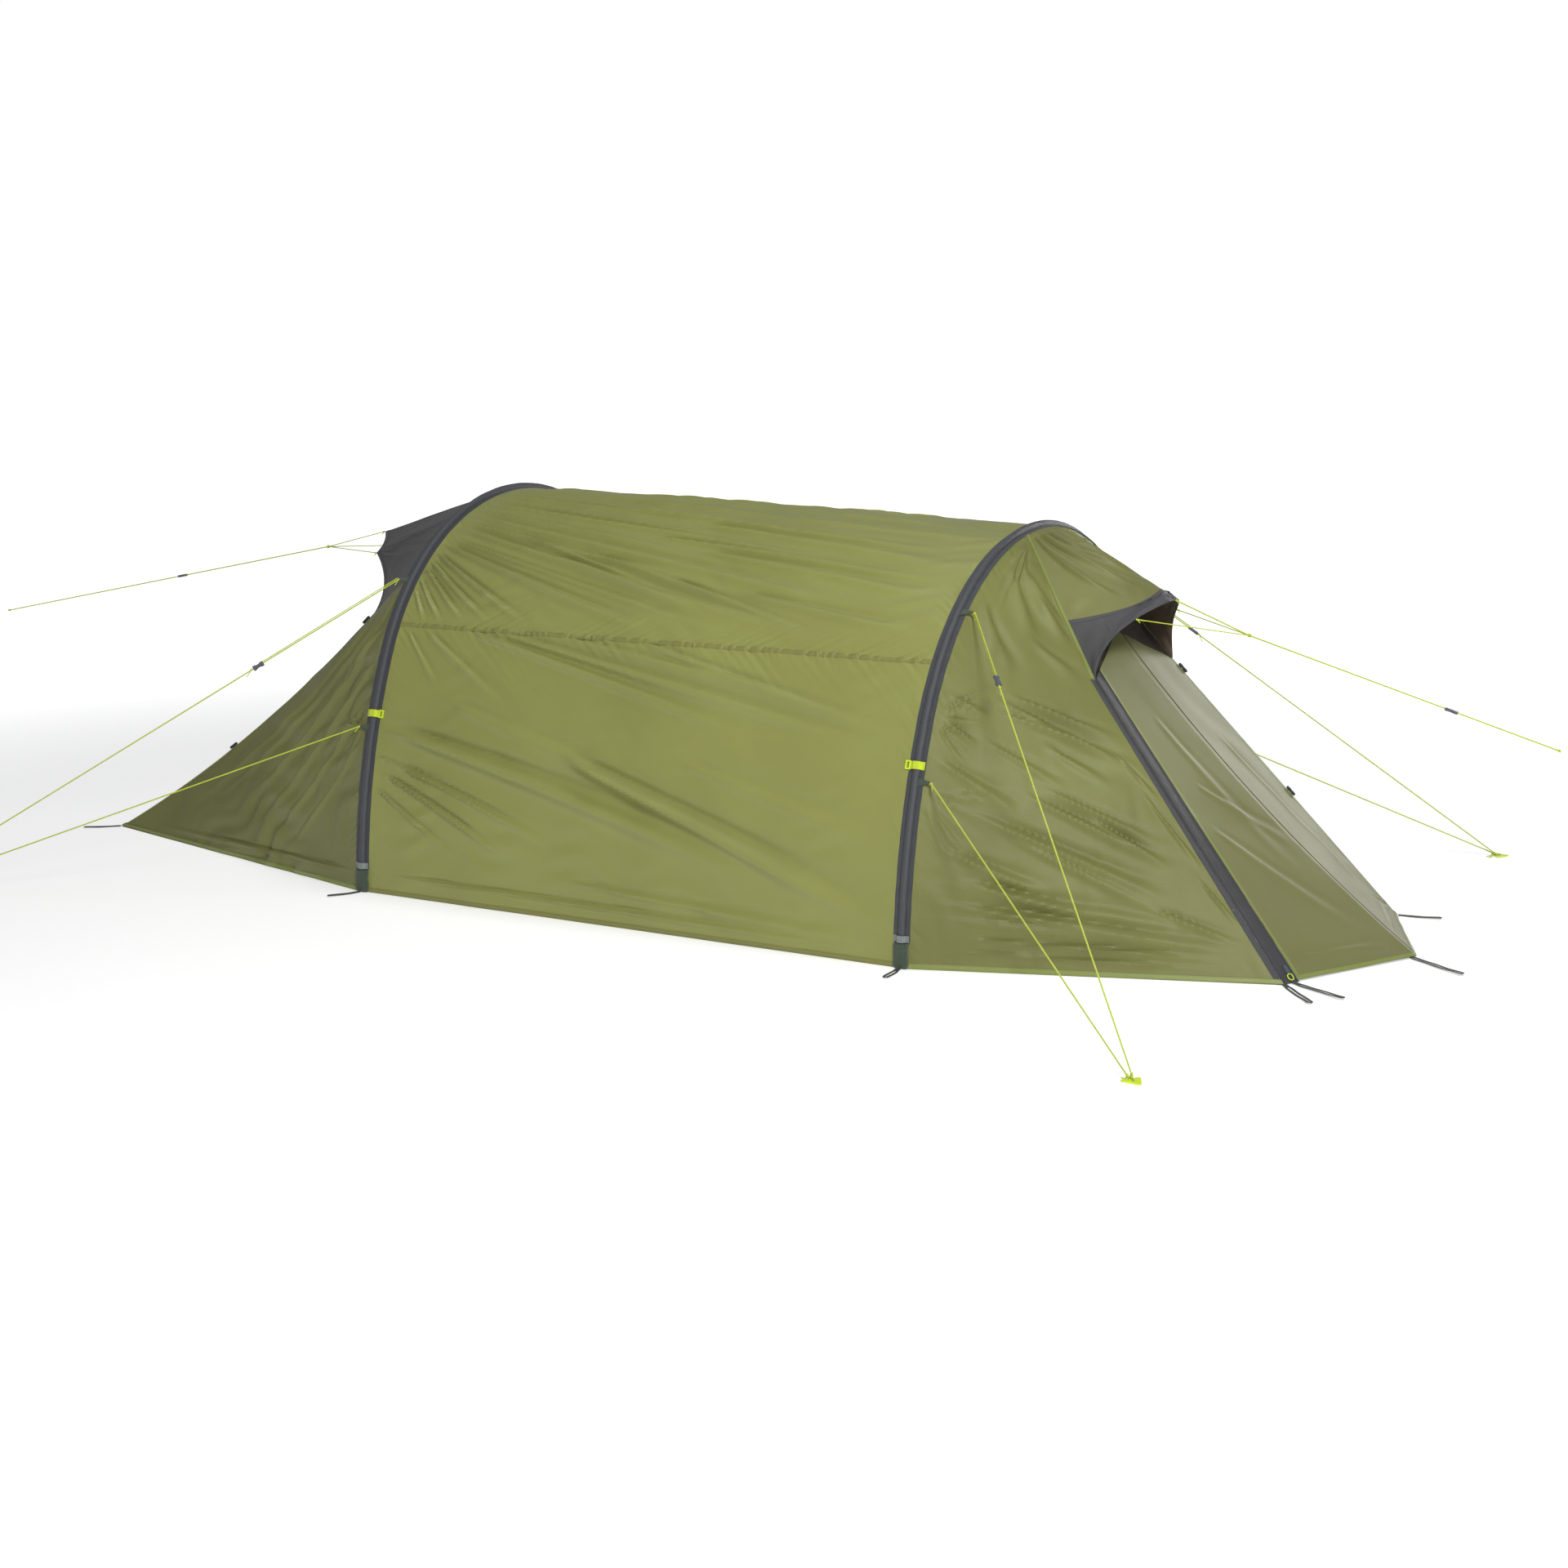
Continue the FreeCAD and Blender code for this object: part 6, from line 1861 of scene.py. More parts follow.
@dataclass
class InnerTent:
    """Canopy, end walls, door, groundsheet and hangers inside the fly."""

    gap: float = 0.065
    inset: float = 0.070
    low: float = 0.1003
    door_half: float = 0.260
    sill: float = 0.1243
    door_height: float = 0.560
    tub_height: float = 0.100
    cloth: float = 0.0016

    def __post_init__(self) -> None:
        """Place the two end walls."""
        self.front_x = FRONT.x - self.inset
        self.rear_x = REAR.x + self.inset
        self.heart = (0.0, 0.0, 0.4)

    def half_at(self, hoop: Hoop, height: Array) -> Array:
        """Half width of an end wall at each height."""
        out = -self.gap - 0.0031
        runs = np.array([hoop.run_at_height(float(z), out) for z in np.ravel(height)])
        return np.abs(hoop.points(runs, out)[:, 1])

    def top_of(self, hoop: Hoop) -> float:
        """Crown height of an end wall."""
        return hoop.height - self.gap - 0.0035

    def make_canopy(self) -> None:
        """Canopy that hangs between the hangers."""
        out = -self.gap - 0.0012
        rows, columns = 170, 130
        step = np.linspace(-1, 1, rows)
        front_limit, rear_limit = FRONT.run_at_height(self.low, out), REAR.run_at_height(self.low, out)
        rear = REAR.points(step * rear_limit, out, self.inset)
        front = FRONT.points(step * front_limit, out, -self.inset)
        share = np.linspace(0, 1, columns)
        points = between(rear[:, None], front[:, None], share[None])
        inward = unit(np.array([0.0, 0.0, 0.35]) - points)
        sag = 0.010 * np.sin(math.pi * share)[None] * (1 - step ** 6)[:, None]
        points = points + inward * sag[..., None]
        chart = pairs(share[None] * 1.66, (step * 1.45)[:, None])
        folds: list[Fold] = [
            Billow(8.0, 0.16, 0.0030, 201, 3.0), Billow(75.0, 0.30, 0.0020, 203, 3.0),
        ]
        held = smooth((1 - np.abs(step)) / 0.04)[:, None] * smooth(share / 0.02) * smooth((1 - share) / 0.02)
        panel = Panel("inner_canopy_cloth", points, chart, self.heart, folds, held, INNER, INNER)
        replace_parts(panel.make(), "inner_canopy")

    def wall(self, hoop: Hoop, x: float, low: float, high: float, left: Union[float, None],
             right: Union[float, None], seed: int, rows: int = 50, columns: int = 60) -> tuple[Array, Array]:
        """Part of an end wall between two heights.

        Args:
            hoop: the hoop in front of it.
            x: where it stands.
            low: lowest height.
            high: greatest height.
            left: its +Y edge, or the wall's own edge for None.
            right: its -Y edge, or the wall's own edge for None.
            seed: number that sets its folds.
            rows: rows of points.
            columns: points in a row.

        Returns:
            Points and chart.
        """
        height = np.linspace(low, high, rows)
        half = self.half_at(hoop, height)
        first = -half if right is None else np.full(rows, right)
        last = half if left is None else np.full(rows, left)
        share = np.linspace(0, 1, columns)
        y = first[:, None] + (last - first)[:, None] * share[None]
        z = np.broadcast_to(height[:, None], y.shape)
        chart = np.stack([y, z], axis=-1)
        edge = np.sin(math.pi * share)[None] * np.sin(math.pi * np.linspace(0, 1, rows))[:, None]
        lift = Billow(70.0, 0.14, 0.0030, seed, 3.0).height(chart) * edge
        return np.stack([x + lift, y, z], axis=-1), chart

    def make_walls(self) -> None:
        """Rear wall, front wall round its doorway, and the door that laps over it."""
        rear = Bundle()
        front = Bundle()
        top = self.sill + self.door_height
        front_x = self.front_x - 0.0014
        pieces = [(rear, REAR, self.rear_x + 0.0012, self.low, self.top_of(REAR), None, None),
                  (front, FRONT, front_x, self.low, self.sill, self.door_half, -self.door_half),
                  (front, FRONT, front_x, self.low, top, None, self.door_half),
                  (front, FRONT, front_x, self.low, top, -self.door_half, None),
                  (front, FRONT, front_x, top, self.top_of(FRONT), None, None)]
        areas = {id(rear): 0.0, id(front): 0.0}
        for index, (bundle, hoop, x, low, high, left, right) in enumerate(pieces):
            points, chart = self.wall(hoop, x, low, high, left, right, 211 + index)
            bundle.add_sheet(points, points - np.array([self.cloth, 0, 0]), chart)
            areas[id(bundle)] += grid_area(points)
        for bundle, name, node in ((rear, "inner_rear_cloth", "inner_rear_wall"),
                                   (front, "inner_front_cloth", "inner_front_wall")):
            made = bundle.make(name, (INNER,))
            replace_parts(made, node)
            areas[id(bundle)]
        lap = 0.012
        y, z = np.meshgrid(np.linspace(-self.door_half - lap, self.door_half + lap, 90),
                           np.linspace(self.sill - lap, top + lap, 90))
        chart = np.stack([y, z], axis=-1)
        edge = smooth((self.door_half + lap - np.abs(y)) / 0.05) * smooth((top + lap - z) / 0.05)
        edge = edge * smooth((z - self.sill + lap) / 0.05)
        x = self.front_x + 0.0014 + np.abs(Billow(80.0, 0.12, 0.0016, 221, 3.0).height(chart)) * edge
        points = np.stack([x, y, z], axis=-1)
        leaf, faces, _ = closed_sheet(points, points - np.array([0.0009, 0, 0]), False)
        door = new_object("inner_door_cloth", leaf, faces.tolist(), (INNER,), "inner_door", None,
                          twice(chart))
        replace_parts(door, "inner_door")
        tapes = Bundle()
        outline = [(-1, -1), (1, -1), (1, 1), (-1, 1), (-1, -1)]
        middle = np.array([self.front_x + 0.0027, 0.0, (self.sill + top) / 2])
        reach = np.array([0.0, self.door_half + 0.004, self.door_height / 2 + 0.004])
        for (a, b), (c, d) in zip(outline, outline[1:]):
            start = middle + np.array([0.0, a, b]) * reach
            stop = middle + np.array([0.0, c, d]) * reach
            path = start + (stop - start) * np.linspace(0, 1, 40)[:, None]
            way = unit(stop - start)
            side = np.broadcast_to(np.cross((1.0, 0, 0), way), path.shape)
            tapes.add(*ribbon(path, side, np.broadcast_to((1.0, 0, 0), path.shape), 0.010, 0.0008))
        tapes.make("inner_door_tape", (SLEEVE,), "inner_door")

    def make_tub(self) -> None:
        """Groundsheet floor and its low walls."""
        half_y = FRONT.half_width - self.gap
        tub = Bundle()
        x, y = np.meshgrid(np.linspace(self.rear_x, self.front_x, 120), np.linspace(-half_y, half_y, 100))
        chart = np.stack([x, y], axis=-1)
        z = 0.0016 + 0.0004 * np.clip(Billow(20.0, 0.16, 1.0, 231, 3.0).height(chart), -1, 1)
        floor = np.stack([x, y, z], axis=-1)
        tub.add_sheet(floor, floor * [1, 1, 0] + [0, 0, 0.0004], chart)
        corners = [(self.rear_x, -half_y), (self.front_x, -half_y),
                   (self.front_x, half_y), (self.rear_x, half_y)]
        for index, (a, b) in enumerate(zip(corners, corners[1:] + corners[:1])):
            start, stop = np.array([*a, 0.0]), np.array([*b, 0.0])
            length = float(np.linalg.norm(stop - start))
            share = np.linspace(0, 1, 130)[None]
            height = np.linspace(0.0006, self.tub_height - 0.0002, 16)[:, None]
            line = between(start, stop, share)
            inside = unit(np.array([0.08, 0, 0]) - (start + stop) / 2)
            inside = unit(inside * [1, 1, 0])
            chart = pairs(share * length, height)
            wave = 0.0008 + 0.0007 * np.abs(Billow(90.0, 0.10, 1.0, 233 + index, 2.0).height(chart))
            wave = wave * np.sin(math.pi * np.clip(height / self.tub_height, 0, 1))
            outer = line + inside * wave[..., None] + np.array([0, 0, 1.0]) * height[..., None]
            tub.add_sheet(outer, outer + inside * 0.0014, chart)
        made = tub.make("groundsheet_cloth", (GROUND,))
        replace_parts(made, "groundsheet_tub")

    def make_hangers(self) -> None:
        """Elastic hangers from the poles down to the canopy, each with a small toggle."""
        elastic, toggles = Bundle(), Bundle()
        for hoop, ahead in ((FRONT, -1), (REAR, 1)):
            for share in (-0.8, -0.45, 0.0, 0.45, 0.8):
                run = share * hoop.half_length
                top = hoop.points(np.array(run), -0.0095)
                low = hoop.points(np.array(run), 0.0015 - self.gap, ahead * (self.inset + 0.002))
                step = np.linspace(0, 1, 20)
                path = between(top, low, step)
                elastic.add(*tube(path, 0.0015, 10))
                middle = between(top, low, np.linspace(0.42, 0.62, 16))
                wide = 0.0016 + 0.0028 * np.sin(np.linspace(0.1, math.pi - 0.1, 16)) ** 0.5
                toggles.add(*tube(middle, wide, 14))
        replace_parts(elastic.make("hanger_elastic", (GREY_THREAD,)), "inner_hangers")
        toggles.make("hanger_toggles", (BLACK_PLASTIC,))

    def make(self) -> None:
        """Build the whole inner tent."""
        self.make_canopy()
        self.make_walls()
        self.make_tub()
        self.make_hangers()


# ---------------------------------------------------------------- guy lines

def cord_object(name: str, points: Sequence[Array], diameter: float) -> bpy.types.Object:
    """Cord as one smooth curve through control points.

    Args:
        name: the cord's name.
        points: control points.
        diameter: cord diameter.

    Returns:
        The curve object.
    """
    curve = bpy.data.curves.new(name, "CURVE")
    curve.dimensions = "3D"
    curve.bevel_depth = diameter / 2
    curve.bevel_resolution = 3
    curve.use_fill_caps = True
    curve.resolution_u = 16
    spline = curve.splines.new("NURBS")
    spline.points.add(len(points) - 1)
    for control, place in zip(spline.points, points):
        control.co = (*[float(v) for v in place], 1.0)
    spline.order_u = 3
    spline.use_endpoint_u = True
    curve.materials.append(material_of(LIME_CORD))
    made = bpy.data.objects.new(name, curve)
    bpy.context.scene.collection.objects.link(made)
    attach(made, "tent")
    LOG.info("%s: cord", name)
    return made


@dataclass
class GuyLines:
    """Side guys with rings and runners, and the two end guys with their legs."""

    cord: float = 0.004
    leg: float = 0.003
    tab_reach: float = 0.046
    tab_out: float = 0.002
    tab_heights: Pair = (0.897, 0.480)
    front_ring: Pair = (0.926, 1.439)
    rear_ring: Pair = (1.152, 1.577)
    runner_shares: Pair = (0.17, 0.28)
    ring_side: float = 0.058
    ring_thickness: float = 0.004
    knots: Bundle = field(default_factory=Bundle)

    def tie(self, place: Array, way: Array, radius: float = 0.0042, thick: float = 0.0017,
            tail: float = 0.016) -> None:
        """Small knot with a short tail."""
        self.knots.add(*tube(knot_path(place, radius, way), thick, 8))
        way = unit(np.asarray(way, float))
        droop = unit(way * 0.5 + np.array([0.15, -0.35, -0.8]))
        share = np.linspace(0, 1, 8)
        path = np.asarray(place) + droop * (share * tail)[:, None] + way * (0.25 * tail * share ** 2)[:, None]
        path[:, 2] = np.maximum(path[:, 2], thick + 0.0004)
        self.knots.add(*tube(path, thick * 0.85, 8))

    def line(self, name: str, start: Array, stop: Array, diameter: float, nodes: Sequence[str],
             far_end: str = "object", with_pieces: Sequence = ()) -> bpy.types.Object:
        """Taut straight cord; its real length is worked out but not used.

        Args:
            name: the cord's name.
            start: where it leaves its fixing.
            stop: its far end.
            diameter: cord diameter.
            nodes: CAD nodes that it stands for.
            far_end: what its far end is; not used.
            with_pieces: pieces on it; not used.

        Returns:
            The cord.
        """
        start, stop = np.asarray(start, float), np.asarray(stop, float)
        made = cord_object(name, [start, (start + stop) / 2, stop], diameter)
        if nodes:
            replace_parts(made, *nodes)
        float(np.linalg.norm(stop - start))
        return made

    def side_lines(self) -> None:
        """Two lines on each side of each hoop, meeting in a ring on the floor."""
        for end, hoop, ahead, (reach, wide), runner in (
                ("front", FRONT, 1, self.front_ring, self.runner_shares[0]),
                ("rear", REAR, -1, self.rear_ring, self.runner_shares[1])):
            ring = np.array([hoop.x + ahead * reach, -wide, 0.0])
            upper, lower = (hoop.points(np.array(hoop.run_at_height(z)), self.tab_out, ahead * self.tab_reach)
                            for z in self.tab_heights)
            back = unit(np.array([hoop.x - ring[0], -hoop.half_width - ring[1], 0.0]))
            aside = np.cross((0, 0, 1.0), back)
            if aside @ (upper - lower) < 0:
                aside = -aside
            over = self.ring_thickness + self.cord * 0.4 + 0.0005
            meet = ring + back * self.ring_side / 5 + np.array([0, 0, over])
            for side, turn in (("right", np.asarray), ("left", flipped)):
                self.side_pair(f"{end}_{side}", turn(upper), turn(lower), turn(meet + aside * 0.005),
                               turn(meet - aside * 0.005), runner, turn(back))

    def side_pair(self, name: str, upper: Array, lower: Array, high_meet: Array, low_meet: Array,
                  runner: float, back: Array) -> None:
        """Upper and lower line of one side, the doubled strand to the runner, and their knots."""
        self.line(f"{name}_upper_cord", upper, high_meet, self.cord, [f"{name}_upper_guy"])
        self.line(f"{name}_lower_cord", lower, low_meet, self.cord, [f"{name}_lower_guy"])
        way = unit(high_meet - upper)
        lift = unit(np.cross(way, np.cross((0, 0, 1.0), way)))
        stop = between(upper, high_meet, runner) - way * 0.016
        self.line(f"{name}_return_cord", upper + lift * 0.0052 + way * 0.004, stop + lift * 0.0044,
                  self.leg, [])
        self.tie(upper + way * 0.004, way)
        self.tie(lower + unit(low_meet - lower) * 0.004, unit(low_meet - lower))
        bend = stop + way * 0.034 + lift * 0.001
        self.tie(bend + way * 0.006, way, 0.0034, 0.0015, 0.020)
        for place, start in ((high_meet, upper), (low_meet, lower)):
            line = unit(start - place)
            self.tie(place + line * 0.010, line, 0.0040, 0.0017, 0.030)
        turns = np.linspace(0, 2 * math.pi, 26)
        middle = (high_meet + low_meet) / 2 - np.array([0, 0, 0.0022])
        out = -np.asarray(back)
        loop = middle + out * (np.cos(turns) * 0.0125 + 0.0015)[:, None] + np.array([0, 0, 1.0]) * (
            np.sin(turns) * 0.0036 + 0.0010)[:, None]
        loop[:, 2] = np.maximum(loop[:, 2], 0.0019)
        self.knots.add(*tube(loop, 0.0017, 8))

    def end_lines(self) -> None:
        """Legs from each hood into a knot, and the line that leaves it."""
        porch, rear = Porch(), RearEnd()
        rim = porch.hood_rim(np.array([0.5, 0.3]))
        tips = {"front": [rim[0], rim[1], flipped(rim[1])],
                "rear": [rear.top, rear.side_point, flipped(rear.side_point)]}
        places = {"front": (np.array([FRONT.x + 0.619, 0, 0.823]), np.array([FRONT.x + 1.455, 0, 0.579])),
                  "rear": (np.array([REAR.x - 0.789, 0, 0.925]), np.array([REAR.x - 2.310, 0, 0.630]))}
        for end in ("front", "rear"):
            knot, free = places[end]
            for index, start in enumerate(tips[end]):
                way = unit(knot - start)
                spreads = (-0.0024, 0.0024) if end == "front" and index == 0 else (0.0,)
                for strand, spread in enumerate(spreads):
                    shift = np.array([0.0, spread, 0.0])
                    self.line(f"{end}_leg_{index}_{strand}", start + way * 0.0011 + shift,
                              knot - way * 0.0060 + shift * 0.6, self.leg, [f"{end}_bridle"])
                self.tie(start + way * 0.006, way, 0.0034, 0.0015, 0.010)
            way = unit(free - knot)
            last = Bundle()
            last.add(*tube(knot_path(free - way * 0.004, 0.0046, way), 0.0019, 8))
            stopper = last.make(f"{end}_end_knot", (LIME_CORD,))
            self.line(f"{end}_centre_cord", knot + way * 0.006, free, self.cord, [f"{end}_centre_guy"],
                      "knot", [stopper])
            self.knots.add(*tube(knot_path(knot, 0.0052, way), 0.0020, 8))
            crossed = np.cross(way, (0, 1.0, 0))
            self.knots.add(*tube(knot_path(knot + way * 0.001, 0.0044, crossed), 0.0018, 8))

    def make(self) -> None:
        """Build all lines and the knots on them."""
        self.side_lines()
        self.end_lines()
        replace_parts(self.knots.make("line_knots", (LIME_CORD,)), "guy_knots")


# ---------------------------------------------------------------- loops and toggles

@dataclass
class PegLoops:
    """Webbing loops on the floor at the feet and the corners."""

    width: float = 0.018
    slot: float = 0.009
    gap: float = 0.0004
    foot_edge: float = 0.012

    def loop(self, bundle: Bundle, threads: Bundle, root: Array, length: float, degrees: float, lean: float,
             lift: float, curl: float) -> None:
        """One loop: a sewn root, two strands and a curled tip.

        Args:
            bundle: what takes the webbing.
            threads: what takes the stitches.
            root: corner of the cloth.
            length: whole length of the loop.
            degrees: the way that it points.
            lean: its angle away from square to the cloth.
            lift: height of its lower face.
            curl: how far its tip stands up.
        """
        way = np.array([math.cos(math.radians(degrees)), math.sin(math.radians(degrees)), 0.0])
        side = np.array([-way[1], way[0], 0.0])
        start = np.asarray(root) + way * (self.width / 2 + self.gap) / math.cos(math.radians(lean))
        base, tip = -self.width / 2, length - self.width
        half = (self.width + self.slot / 2) / 4
        turn = np.linspace(-math.pi / 2, math.pi / 2, 15)[1:-1]
        run = np.concatenate([np.linspace(base + 0.004, tip, 34), tip + np.cos(turn) * half,
                              np.linspace(tip, base + 0.004, 34)])
        aside = np.concatenate([np.full(34, -1.0), np.sin(turn), np.full(34, 1.0)])
        pinch = 0.45 + 0.55 * smooth((run - base - 0.010) / 0.030)
        bow = 1 + 0.28 * np.sin(np.clip((run - base) / (tip - base), 0, 1) * math.pi) * 0.5
        twist = 0.0012 * np.sin(run * 55 + degrees)
        share = np.clip((run - base) / (tip - base), 0, 1)
        height = lift + 0.0002 + curl * share ** 3 + 0.0005 * np.abs(np.sin(run * 34 + aside))
        path = start + way * run[:, None] + side * (aside * half * pinch * bow + twist * share)[:, None]
        path[:, 2] = height
        ahead = unit(np.gradient(path, axis=0))
        up = np.broadcast_to(np.array([0, 0, 1.0]), path.shape)
        across = unit(np.cross(up, ahead))
        bundle.add(*ribbon(path, across, unit(np.cross(ahead, across)), 0.0068, 0.0016))
        patch = start + way * np.linspace(base + 0.001, base + 0.024, 12)[:, None]
        patch[:, 2] = lift + 0.0016
        bundle.add(*ribbon(patch, np.broadcast_to(side, patch.shape), up[:12], 0.0150, 0.0012))
        for offset in (-0.0055, 0.0055):
            row = patch + side * offset + np.array([0, 0, 0.0013])
            stitch_row(threads, row, up[:12], 0.004, 0.003, 0.0007)

    def make(self) -> None:
        """Lay all the loops."""
        porch, rear = Porch(), RearEnd()
        webbing, threads = Bundle(), Bundle()
        door_webbing, door_threads = Bundle(), Bundle()
        foot = FRONT.half_width + self.foot_edge
        places = [((FRONT.x, -foot, 0.0), 0.106, -81.0, 9.0), ((REAR.x, -foot, 0.0), 0.106, -112.0, 22.0),
                  (tuple(rear.foot), 0.122, -134.0, 0.0)]
        for root, length, degrees, lean in places:
            self.loop(webbing, threads, np.array(root), length, degrees, lean, 0.0, 0.0022)
            self.loop(webbing, threads, flipped(np.array(root)), length, -degrees, lean, 0.0, 0.0022)
        along = unit(porch.door_foot - porch.foot)
        self.loop(webbing, threads, porch.foot, 0.190, -50.0, 0.0, 0.0, 0.0030)
        self.loop(webbing, threads, porch.foot + along * 0.030, 0.190, -29.0, 5.0, 0.0016, 0.0030)
        self.loop(webbing, threads, flipped(porch.foot), 0.122, 8.0, 16.0, 0.0, 0.0026)
        made = webbing.make("peg_loop_webbing", (LOOP_TAPE,))
        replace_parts(made, "peg_loops")
        threads.make("peg_loop_stitches", (GREY_THREAD,))
        root = porch.door_foot + np.array([-0.036, 0.0, 0.0])
        self.loop(door_webbing, door_threads, root, 0.232, -35.0, 0.0, 0.0015, 0.0030)
        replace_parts(door_webbing.make("door_loop_webbing", (LOOP_TAPE,), "fly_door"), "door_peg_loop")
        door_threads.make("door_loop_stitches", (GREY_THREAD,), "fly_door")


@dataclass
class Toggles:
    """Small turned bars with elastic, along the edges where panels are rolled up."""

    length: float = 0.034
    radius: float = 0.0045
    gap: float = 0.0008

    def toggle(self, bars: Bundle, elastic: Bundle, corner: Array, direction: Array, first: Array,
               second: Array) -> None:
        """Add one toggle outside a convex edge."""
        way = unit(direction)
        sides = []
        for side in (first, second):
            rest = side - corner
            sides.append(unit(rest - way * (rest @ way)))
        out = -unit(sides[0] + sides[1])
        middle = corner + out * (self.radius + self.gap)
        share = np.linspace(-1, 1, 33)
        path = middle + way * (share * self.length / 2)[:, None]
        wide = self.radius * (np.clip(1 - np.abs(share) ** 9, 0.02, 1) ** 0.5)
        waist, groove = np.exp(-(share / 0.16) ** 2), np.exp(-((np.abs(share) - 0.72) / 0.05) ** 2)
        wide = wide * (1 - 0.26 * waist - 0.10 * groove)
        bars.add(*tube(path, wide, 24))
        turn = np.linspace(0, 2 * math.pi, 30)
        across = np.cross(way, out)
        loop = middle + out * (np.cos(turn) * 0.0040 - 0.0006)[:, None]
        loop = loop + across * (np.sin(turn) * 0.0040)[:, None]
        elastic.add(*tube(loop, 0.0009, 8))
        tail = middle + out * (-0.0006) - out * (np.linspace(0, 0.004, 6))[:, None]
        elastic.add(*tube(tail, 0.0010, 8))

    def make(self) -> None:
        """Place the toggles along the door edge and the rear edges."""
        porch, rear = Porch(), RearEnd()
        bars, elastic = Bundle(), Bundle()
        for share in (0.04, 0.52):
            corner = flipped(between(porch.hood_low, porch.foot, share))
            side = flipped(porch.side_edge(np.array(0.45 + share / 2)))
            self.toggle(bars, elastic, corner, flipped(porch.foot - porch.hood_low), side,
                        porch.ridge(np.array(share)))
        for share in (0.03, 0.56):
            corner, ahead = rear.edge(np.array(share)), rear.edge(np.array(share + 0.03))
            side = rear.side_edge(np.array(share))
            for turn in (np.asarray, flipped):
                self.toggle(bars, elastic, turn(corner), turn(ahead - corner), turn(side),
                            turn(flipped(corner)))
        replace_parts(bars.make("toggle_bars", (BLACK_PLASTIC,)), "toggles")
        elastic.make("toggle_elastic", (GREY_THREAD,))


# ---------------------------------------------------------------- kept parts and the stage

@dataclass
class KeptParts:
    """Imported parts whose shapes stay: poles, runners, rings, buckles, slider and pull."""

    bevel: float = 0.0006

    def dress(self, node: str, finish: Finish, bevel: float) -> None:
        """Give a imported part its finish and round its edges.

        Args:
            node: name of the CAD node.
            finish: the finish.
            bevel: width of the rounded edges, or 0 for none.
        """
        item = bpy.data.objects[self.object_name(node)]
        for place in item.material_slots:
            place.link = "OBJECT"
            place.material = material_of(finish)
        if bevel:
            rounding = item.modifiers.new("rounded", "BEVEL")
            rounding.width, rounding.segments, rounding.limit_method = bevel, 3, "ANGLE"
            rounding.harden_normals = False
        LOG.info("%s: %s", node, finish.name)

    def object_name(self, node: str) -> str:
        """Name of the object that shows a CAD node."""
        return frame["nodes"][node].name

    def make(self) -> None:
        """Dress every part that stays."""
        finishes: dict[str, tuple[Finish, float]] = {
            "front_pole": (ALLOY, 0.0), "rear_pole": (ALLOY, 0.0), "pole_ferrules": (ALLOY, 0.0),
            "pole_tips": (BLACK_PLASTIC, 0.0), "strap_buckles": (LIME_PLASTIC, self.bevel),
            "guy_rings": (LIME_PLASTIC, 0.0010), "zip_slider": (GREY_PLASTIC, 0.0010),
            "zip_pull": (LIME_PLASTIC, 0.0),
        }
        for end in ("front", "rear"):
            for side in ("left", "right", "centre"):
                finishes[f"{end}_{side}_runner"] = (GREY_PLASTIC, 0.0012)
        for node, (finish, bevel) in finishes.items():
            self.dress(node, finish, bevel)


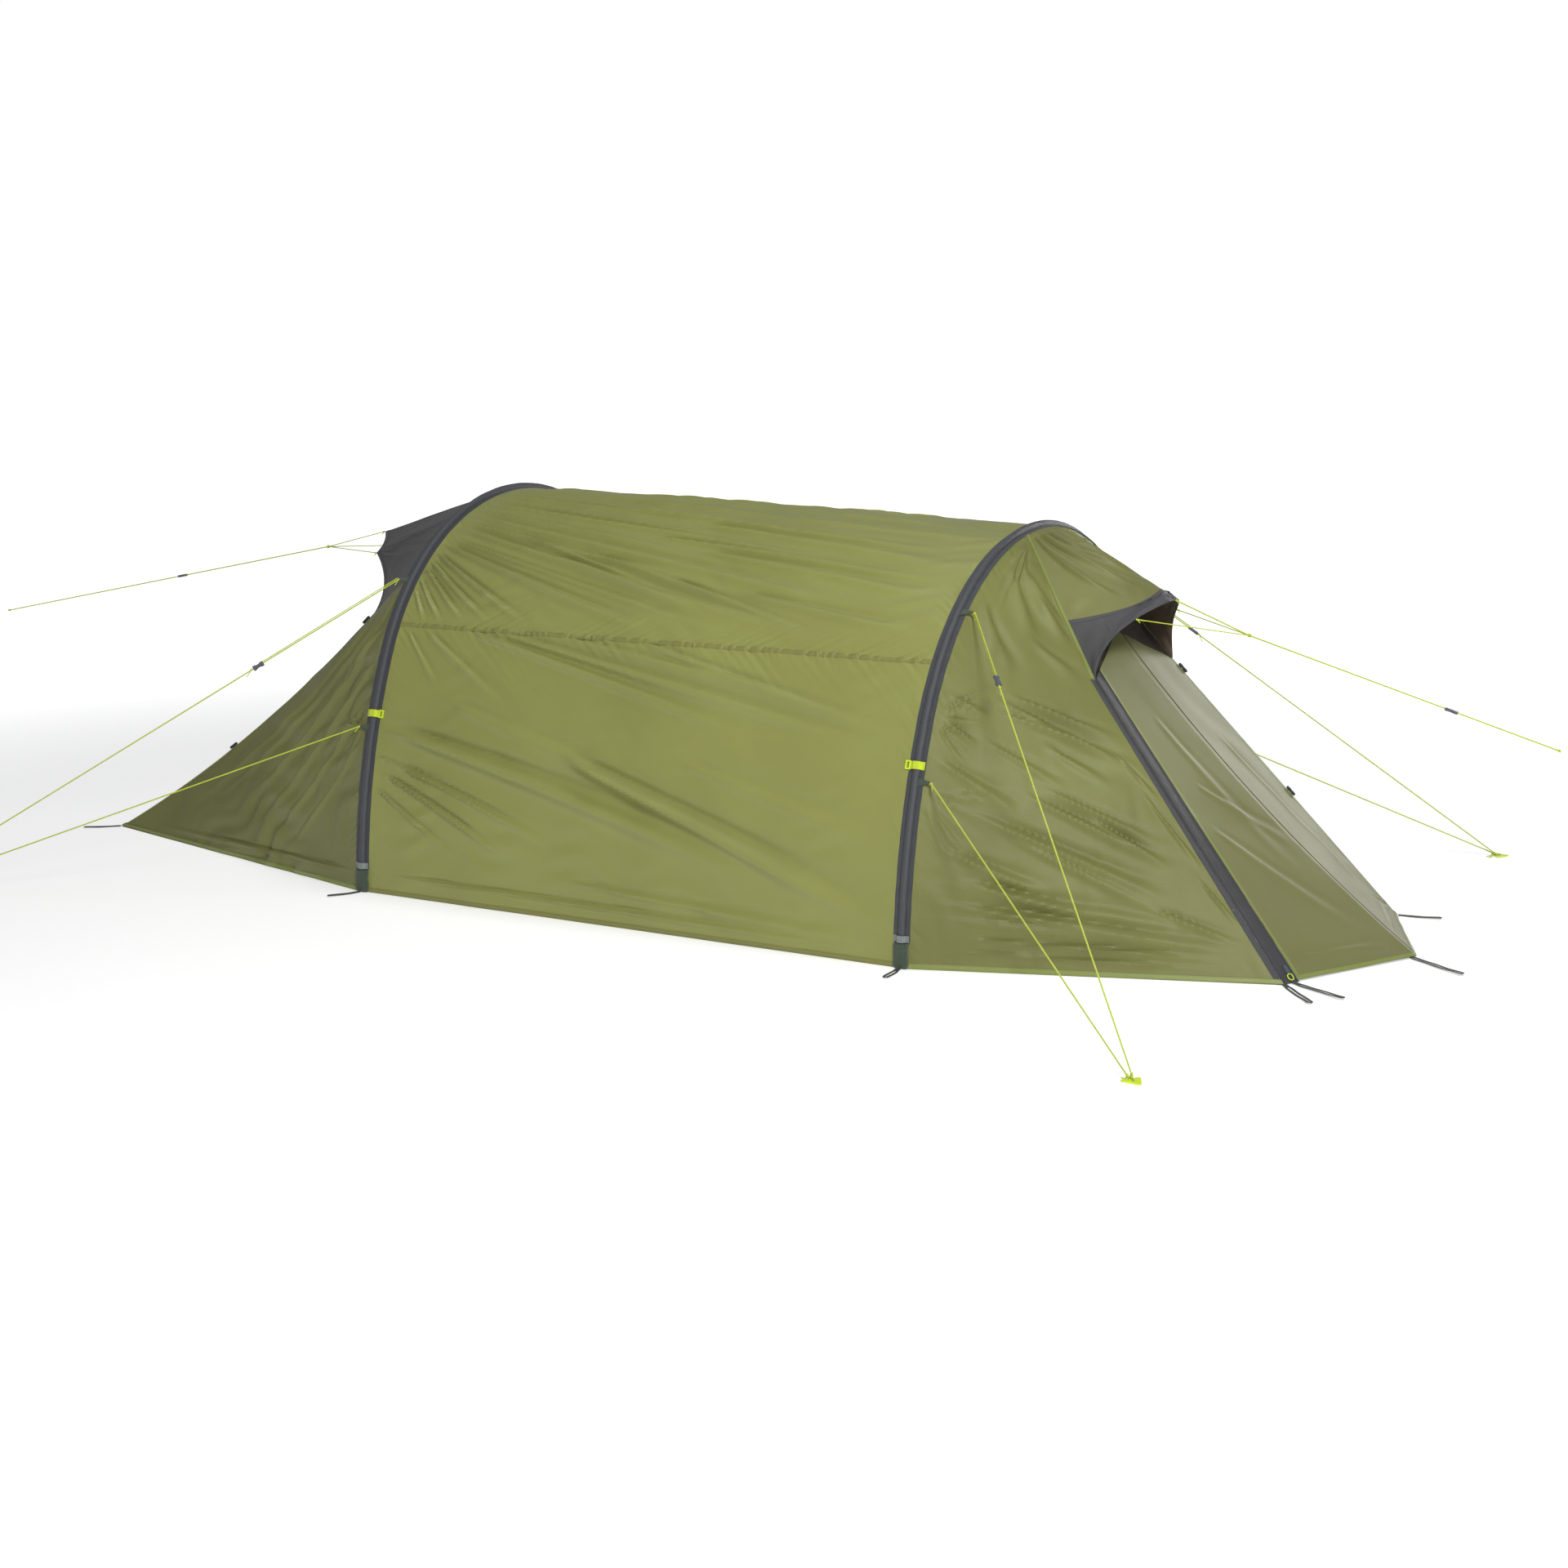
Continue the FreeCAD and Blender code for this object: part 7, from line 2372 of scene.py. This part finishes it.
@dataclass
class Studio:
    """Pale floor, soft lights, the world and the camera."""

    place: Triple = (4.051, -6.499, 1.623)
    turn: Triple = (80.012, 0.0, 30.981)
    lens: float = 58.93
    glow: float = 0.22
    floor_glow: float = 0.40
    near: float = 2.6
    far: float = 7.0

    def make_floor(self) -> None:
        """Pale floor under the tent."""
        mesh = bpy.data.meshes.new("studio_floor")
        mesh.from_pydata([(-30, -30, -0.0005), (30, -30, -0.0005), (30, 30, -0.0005), (-30, 30, -0.0005)], [],
                         [(0, 1, 2, 3)])
        shader = Shader("studio_paper")
        grain = shader.noise(3.0, 2.0)
        parts = shader.node("ShaderNodeSeparateXYZ", {}, {0: shader.place()})
        x, y = parts.out("X"), parts.out("Y")
        away = shader.node("ShaderNodeMapRange", {"interpolation_type": "SMOOTHSTEP"},
                           {0: (x * x + y * y) ** 0.5, 1: self.near, 2: self.far})
        near, far = (self.floor_glow,) * 3 + (1.0,), (1.0, 1.0, 1.0, 1.0)
        shader.surface(Base_Color=shader.mixed(grain * 0.3, linear((226, 226, 226)), linear((222, 222, 222))),
                       Roughness=0.95, Specular_IOR_Level=0.1, Emission_Color=shader.mixed(away, near, far),
                       Emission_Strength=1.0)
        mesh.materials.append(shader.material)
        floor = bpy.data.objects.new("studio_floor", mesh)
        bpy.context.scene.collection.objects.link(floor)

    def make_lights(self) -> None:
        """Large soft lights and a pale world."""
        world = bpy.data.worlds.new("studio")
        world.use_nodes = True
        nodes, links = world.node_tree.nodes, world.node_tree.links
        seen = nodes["Background"]
        seen.inputs[0].default_value, seen.inputs[1].default_value = (1.0, 1.0, 1.0, 1.0), 1.0
        glow = nodes.new("ShaderNodeBackground")
        glow.inputs[0].default_value, glow.inputs[1].default_value = (0.97, 0.98, 1.0, 1.0), self.glow
        choice, path = nodes.new("ShaderNodeMixShader"), nodes.new("ShaderNodeLightPath")
        links.new(path.outputs["Is Camera Ray"], choice.inputs[0])
        links.new(glow.outputs[0], choice.inputs[1])
        links.new(seen.outputs[0], choice.inputs[2])
        links.new(choice.outputs[0], nodes["World Output"].inputs["Surface"])
        bpy.context.scene.world = world
        for name, place, aim, size, power in (("key", (4.8, -5.0, 4.7), (0.0, -0.2, 0.3), 1.8, 430.0),
                                              ("top", (0.5, 0.5, 6.5), (0, 0, 0.5), 2.6, 90.0),
                                              ("far", (1.8, 6.0, 2.1), (1.8, 0, 0.2), 1.6, 80.0)):
            light = bpy.data.lights.new(name, "AREA")
            light.shape, light.size, light.energy = "DISK", size, power
            lamp = bpy.data.objects.new(name, light)
            bpy.context.scene.collection.objects.link(lamp)
            lamp.location = place
            lamp.rotation_euler = (Vector(aim) - Vector(place)).to_track_quat("-Z", "Y").to_euler()

    def make_camera(self) -> None:
        """Camera at standing height off the porch's right side."""
        data = bpy.data.cameras.new("camera")
        data.lens, data.sensor_width = self.lens, 36.0
        data.clip_end = 200.0
        camera = bpy.data.objects.new("camera", data)
        bpy.context.scene.collection.objects.link(camera)
        camera.location = self.place
        camera.rotation_euler = [math.radians(v) for v in self.turn]
        bpy.context.scene.camera = camera

    def make(self) -> None:
        """Set up the studio."""
        self.make_floor()
        self.make_lights()
        self.make_camera()


def main() -> None:
    """Build the tent piece by piece."""
    logging.basicConfig(level=logging.INFO, format="%(name)s %(message)s")
    Studio().make()
    GuyLines().make()
    Tunnel().make()
    for sleeves in (Sleeves("front", FRONT, 1), Sleeves("rear", REAR, -1)):
        sleeves.make()
    Porch().make()
    RearEnd().make()
    InnerTent().make()
    PegLoops().make()
    Toggles().make()
    KeptParts().make()
    bpy.context.scene.view_settings.view_transform = "Standard"


if __name__ == "__main__":
    main()
